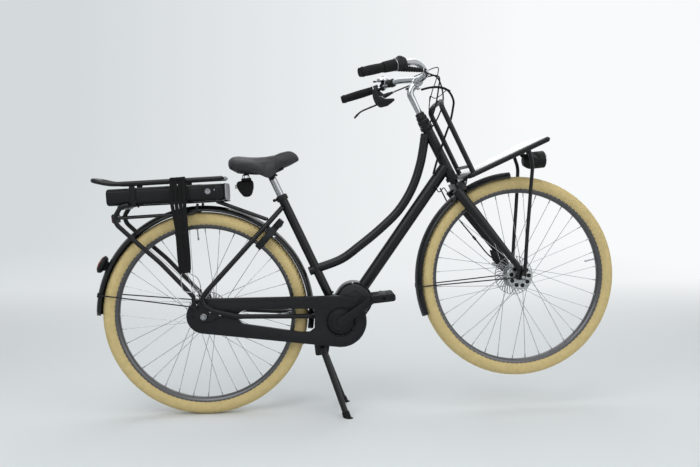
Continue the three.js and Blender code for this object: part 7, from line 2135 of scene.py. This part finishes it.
@dataclass
class Studio:
    """The floor, the light and the camera at the photograph's place."""

    camera_at: tuple = (-0.1814, -2.5286, 0.7968)
    pan: float = math.radians(-3.274)
    tilt: float = math.radians(-3.522)
    roll: float = math.radians(0.422)
    lens: float = 36.59
    floor_colour: tuple = (216, 220, 222)
    # Painted light on the backdrop: a shaded colour at the left and a lit colour at the right.
    shaded_left_colour: tuple = (212, 217, 219)
    lit_right_colour: tuple = (248, 250, 251)
    gradient: tuple = (-0.34, 0.3)
    fade: tuple = (0.3, 3.6)
    ambient: float = 0.5
    lamps: tuple = (("key", (-1.6, -2.4, 2.9), (0.0, 0.0, 0.55), 2.4, 52),
                    ("fill", (2.4, -2.2, 1.9), (0.1, 0.0, 0.55), 2.6, 28),
                    ("top", (0.0, 0.3, 3.4), (0.0, 0.0, 0.5), 3.2, 50),
                    ("back", (0.4, 2.6, 2.4), (0.0, 0.0, 0.6), 2.4, 20))

    def build(self) -> None:
        """Makes the studio."""
        self.floor()
        self.world()
        for lamp in self.lamps:
            self.lamp(*lamp)
        self.camera()

    def floor(self) -> None:
        """One sheet: the floor, which curves up far behind the bike."""
        a = np.linspace(0, math.pi / 2, 24)
        y = np.concatenate([[-14, -3], 7 + 3 * np.sin(a)])
        z = np.concatenate([[0, 0], 3 - 3 * np.cos(a)])
        y, z = np.append(y, 10.0), np.append(z, 14.0)
        x = np.array([-16.0, 16.0])
        points = np.stack(np.broadcast_arrays(x[None, :], y[:, None], z[:, None]), -1)
        shell = grid(points, around=False, caps=False)
        mesh = bpy.data.meshes.new("studio_floor")
        mesh.from_pydata(shell.points.tolist(), [], [face[::-1] for face in shell.faces])
        mesh.polygons.foreach_set("use_smooth", np.ones(len(mesh.polygons), bool))
        made = bpy.data.materials.new("studio_floor")
        made.use_nodes = True
        tree = made.node_tree
        shader = tree.nodes["Principled BSDF"]
        shader.inputs["Base Color"].default_value = linear(self.floor_colour)
        shader.inputs["Roughness"].default_value = 0.85
        shader.inputs["Specular IOR Level"].default_value = 0.1
        glow = tree.nodes.new("ShaderNodeEmission")
        place = tree.nodes.new("ShaderNodeTexCoord").outputs["Object"]
        tree.links.new(self.backdrop(tree, place, 12.0), glow.inputs["Color"])
        blend = tree.nodes.new("ShaderNodeMixShader")
        tree.links.new(self.seen_far(tree), blend.inputs["Fac"])
        tree.links.new(shader.outputs["BSDF"], blend.inputs[1])
        tree.links.new(glow.outputs["Emission"], blend.inputs[2])
        tree.links.new(blend.outputs["Shader"], tree.nodes["Material Output"].inputs["Surface"])
        mesh.materials.append(made)
        sheet = bpy.data.objects.new("studio_floor", mesh)
        bpy.context.scene.collection.objects.link(sheet)
        sheet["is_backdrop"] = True

    def seen(self, tree: bpy.types.NodeTree) -> bpy.types.NodeSocket:
        """One where a ray comes from the camera, gloss or glass, and zero where it only lights."""
        path = tree.nodes.new("ShaderNodeLightPath")
        joined = path.outputs["Is Camera Ray"]
        for word in ("Is Glossy Ray", "Is Transmission Ray"):
            joined = reckoned(tree, "MAXIMUM", joined, path.outputs[word])
        return joined

    def backdrop(self, tree: bpy.types.NodeTree, place: bpy.types.NodeSocket,
                 width: float) -> bpy.types.NodeSocket:
        """The backdrop's colour, with painted light: shaded at the left and brightening to the right.

        Args:
            tree: the material or the world.
            place: what the shade is read from, along x.
            width: how long one unit of the gradient is there.

        Returns:
            The colour's socket.
        """
        parts = tree.nodes.new("ShaderNodeSeparateXYZ")
        tree.links.new(place, parts.inputs["Vector"])
        ramp = tree.nodes.new("ShaderNodeMapRange")
        ramp.inputs["From Min"].default_value = self.gradient[0] * width
        ramp.inputs["From Max"].default_value = self.gradient[1] * width
        tree.links.new(parts.outputs["X"], ramp.inputs["Value"])
        mix = tree.nodes.new("ShaderNodeMix")
        mix.data_type = "RGBA"
        mix.inputs["A"].default_value = linear(self.shaded_left_colour)
        mix.inputs["B"].default_value = linear(self.lit_right_colour)
        tree.links.new(ramp.outputs["Result"], mix.inputs["Factor"])
        return mix.outputs["Result"]

    def seen_far(self, tree: bpy.types.NodeTree) -> bpy.types.NodeSocket:
        """The share of the backdrop on the floor: none by the bike, all of it in the far distance."""
        place = tree.nodes.new("ShaderNodeTexCoord").outputs["Object"]
        parts = tree.nodes.new("ShaderNodeSeparateXYZ")
        tree.links.new(place, parts.inputs["Vector"])
        ramp = tree.nodes.new("ShaderNodeMapRange")
        ramp.interpolation_type = "SMOOTHSTEP"
        ramp.inputs["From Min"].default_value, ramp.inputs["From Max"].default_value = self.fade
        tree.links.new(parts.outputs["Y"], ramp.inputs["Value"])
        return reckoned(tree, "MULTIPLY", ramp.outputs["Result"], self.seen(tree))

    def world(self) -> None:
        """A soft surround in the backdrop's painted light, shaded to the left, dimmer where it only lights.
        """
        world = bpy.data.worlds.new("studio_world")
        bpy.context.scene.world = world
        world.use_nodes = True
        tree = world.node_tree
        ground = tree.nodes["Background"]
        way = tree.nodes.new("ShaderNodeTexCoord").outputs["Generated"]
        tree.links.new(self.backdrop(tree, way, 1.0), ground.inputs["Color"])
        strength = tree.nodes.new("ShaderNodeMapRange")
        strength.inputs["To Min"].default_value, strength.inputs["To Max"].default_value = self.ambient, 1.0
        tree.links.new(self.seen(tree), strength.inputs["Value"])
        tree.links.new(strength.outputs["Result"], ground.inputs["Strength"])

    def lamp(self, name: str, spot_at: Sequence[float], aim: Sequence[float], size: float,
             power: float) -> None:
        """One large square soft light."""
        data = bpy.data.lights.new(name, "AREA")
        data.shape, data.size, data.energy = "SQUARE", size, power
        lamp = bpy.data.objects.new(name, data)
        lamp.matrix_world = Matrix.Translation(Vector(spot_at)) @ (
            (Vector(aim) - Vector(spot_at)).to_track_quat("-Z", "Y").to_matrix().to_4x4())
        bpy.context.scene.collection.objects.link(lamp)

    def camera(self) -> None:
        """The camera: level at first and facing along y, then rolled, tilted and panned."""
        data = bpy.data.cameras.new("camera")
        data.lens, data.sensor_width, data.sensor_fit = self.lens, 36.0, "HORIZONTAL"
        data.clip_end = 60
        camera = bpy.data.objects.new("camera", data)
        turn = Matrix.Rotation(self.pan, 4, "Z") @ Matrix.Rotation(self.tilt, 4, "X")
        turn = turn @ Matrix.Rotation(self.roll, 4, "Y") @ Matrix.Rotation(math.pi / 2, 4, "X")
        camera.matrix_world = Matrix.Translation(Vector(self.camera_at)) @ turn
        bpy.context.scene.collection.objects.link(camera)
        bpy.context.scene.camera = camera


def corners(box: tuple[Vector, Vector]) -> list[list[float]]:
    """A box as plain lists of numbers."""
    return [[round(float(v), 6) for v in corner] for corner in box]


def main() -> None:
    """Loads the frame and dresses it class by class."""
    logging.basicConfig(level=logging.WARNING, format="%(name)s: %(message)s")
    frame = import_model()
    model_box = corners(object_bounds())
    scene = bpy.context.scene
    scene.view_settings.view_transform = "Standard"
    studio = Studio()
    studio.build()
    joints = {joint["name"]: joint for joint in frame["record"]["behaviour"]["joints"]}
    bike = bike_place(joints["rear_wheel_spin"]["pos_m"])
    steered = steered_place(bike)
    bench = Bench(bike, steered)
    rear_place = bike.inside((0, 0, 0), Matrix.Rotation(PITCH, 4, "Y"))
    Wheel("rear", rear_place, "rear_wheel", valve_angle=math.radians(95), drum_y=42.0).build(bench)
    Wheel("front", steered.inside((WHEELBASE, 0, 0)), "front_wheel", valve_angle=math.radians(5),
          drum_y=36.0).build(bench)
    tubes = FrameTubes()
    tubes.build(bench)
    DriveLine(tubes).build(bench)
    RearHubParts().build(bench)
    rear_guard = Mudguard("rear", centre=(0.0, 0.0), outer=384.0, low=math.radians(-15),
                          high=math.radians(174), eye=(-21.0, 37.0), eye_y=-80.6, seat_y=-76.1,
                          hem_angle=math.radians(162.5))
    rear_guard.build(bench, "frame", bench.bike, "rear_fender")
    front_guard = Mudguard("front", centre=(WHEELBASE, 0.0), outer=379.0, low=math.radians(88.5),
                           high=math.radians(195.4), eye=(1111.0, 2.0), eye_y=-60.1, seat_y=-55.6,
                           hem_angle=math.radians(178.5))
    front_guard.build(bench, "steering", bench.steered, "front_fender")
    RearLight().build(bench)
    RearCarrier().build(bench)
    RingLock().build(bench)
    Seat().build(bench)
    Stand().build(bench)
    Fork().build(bench)
    Cockpit().build(bench)
    FrontCarrier().build(bench)
    Cables().build(bench)
    json.dumps({"model": model_box, "visual": corners(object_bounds())}, indent=1)


if __name__ == "__main__":
    main()
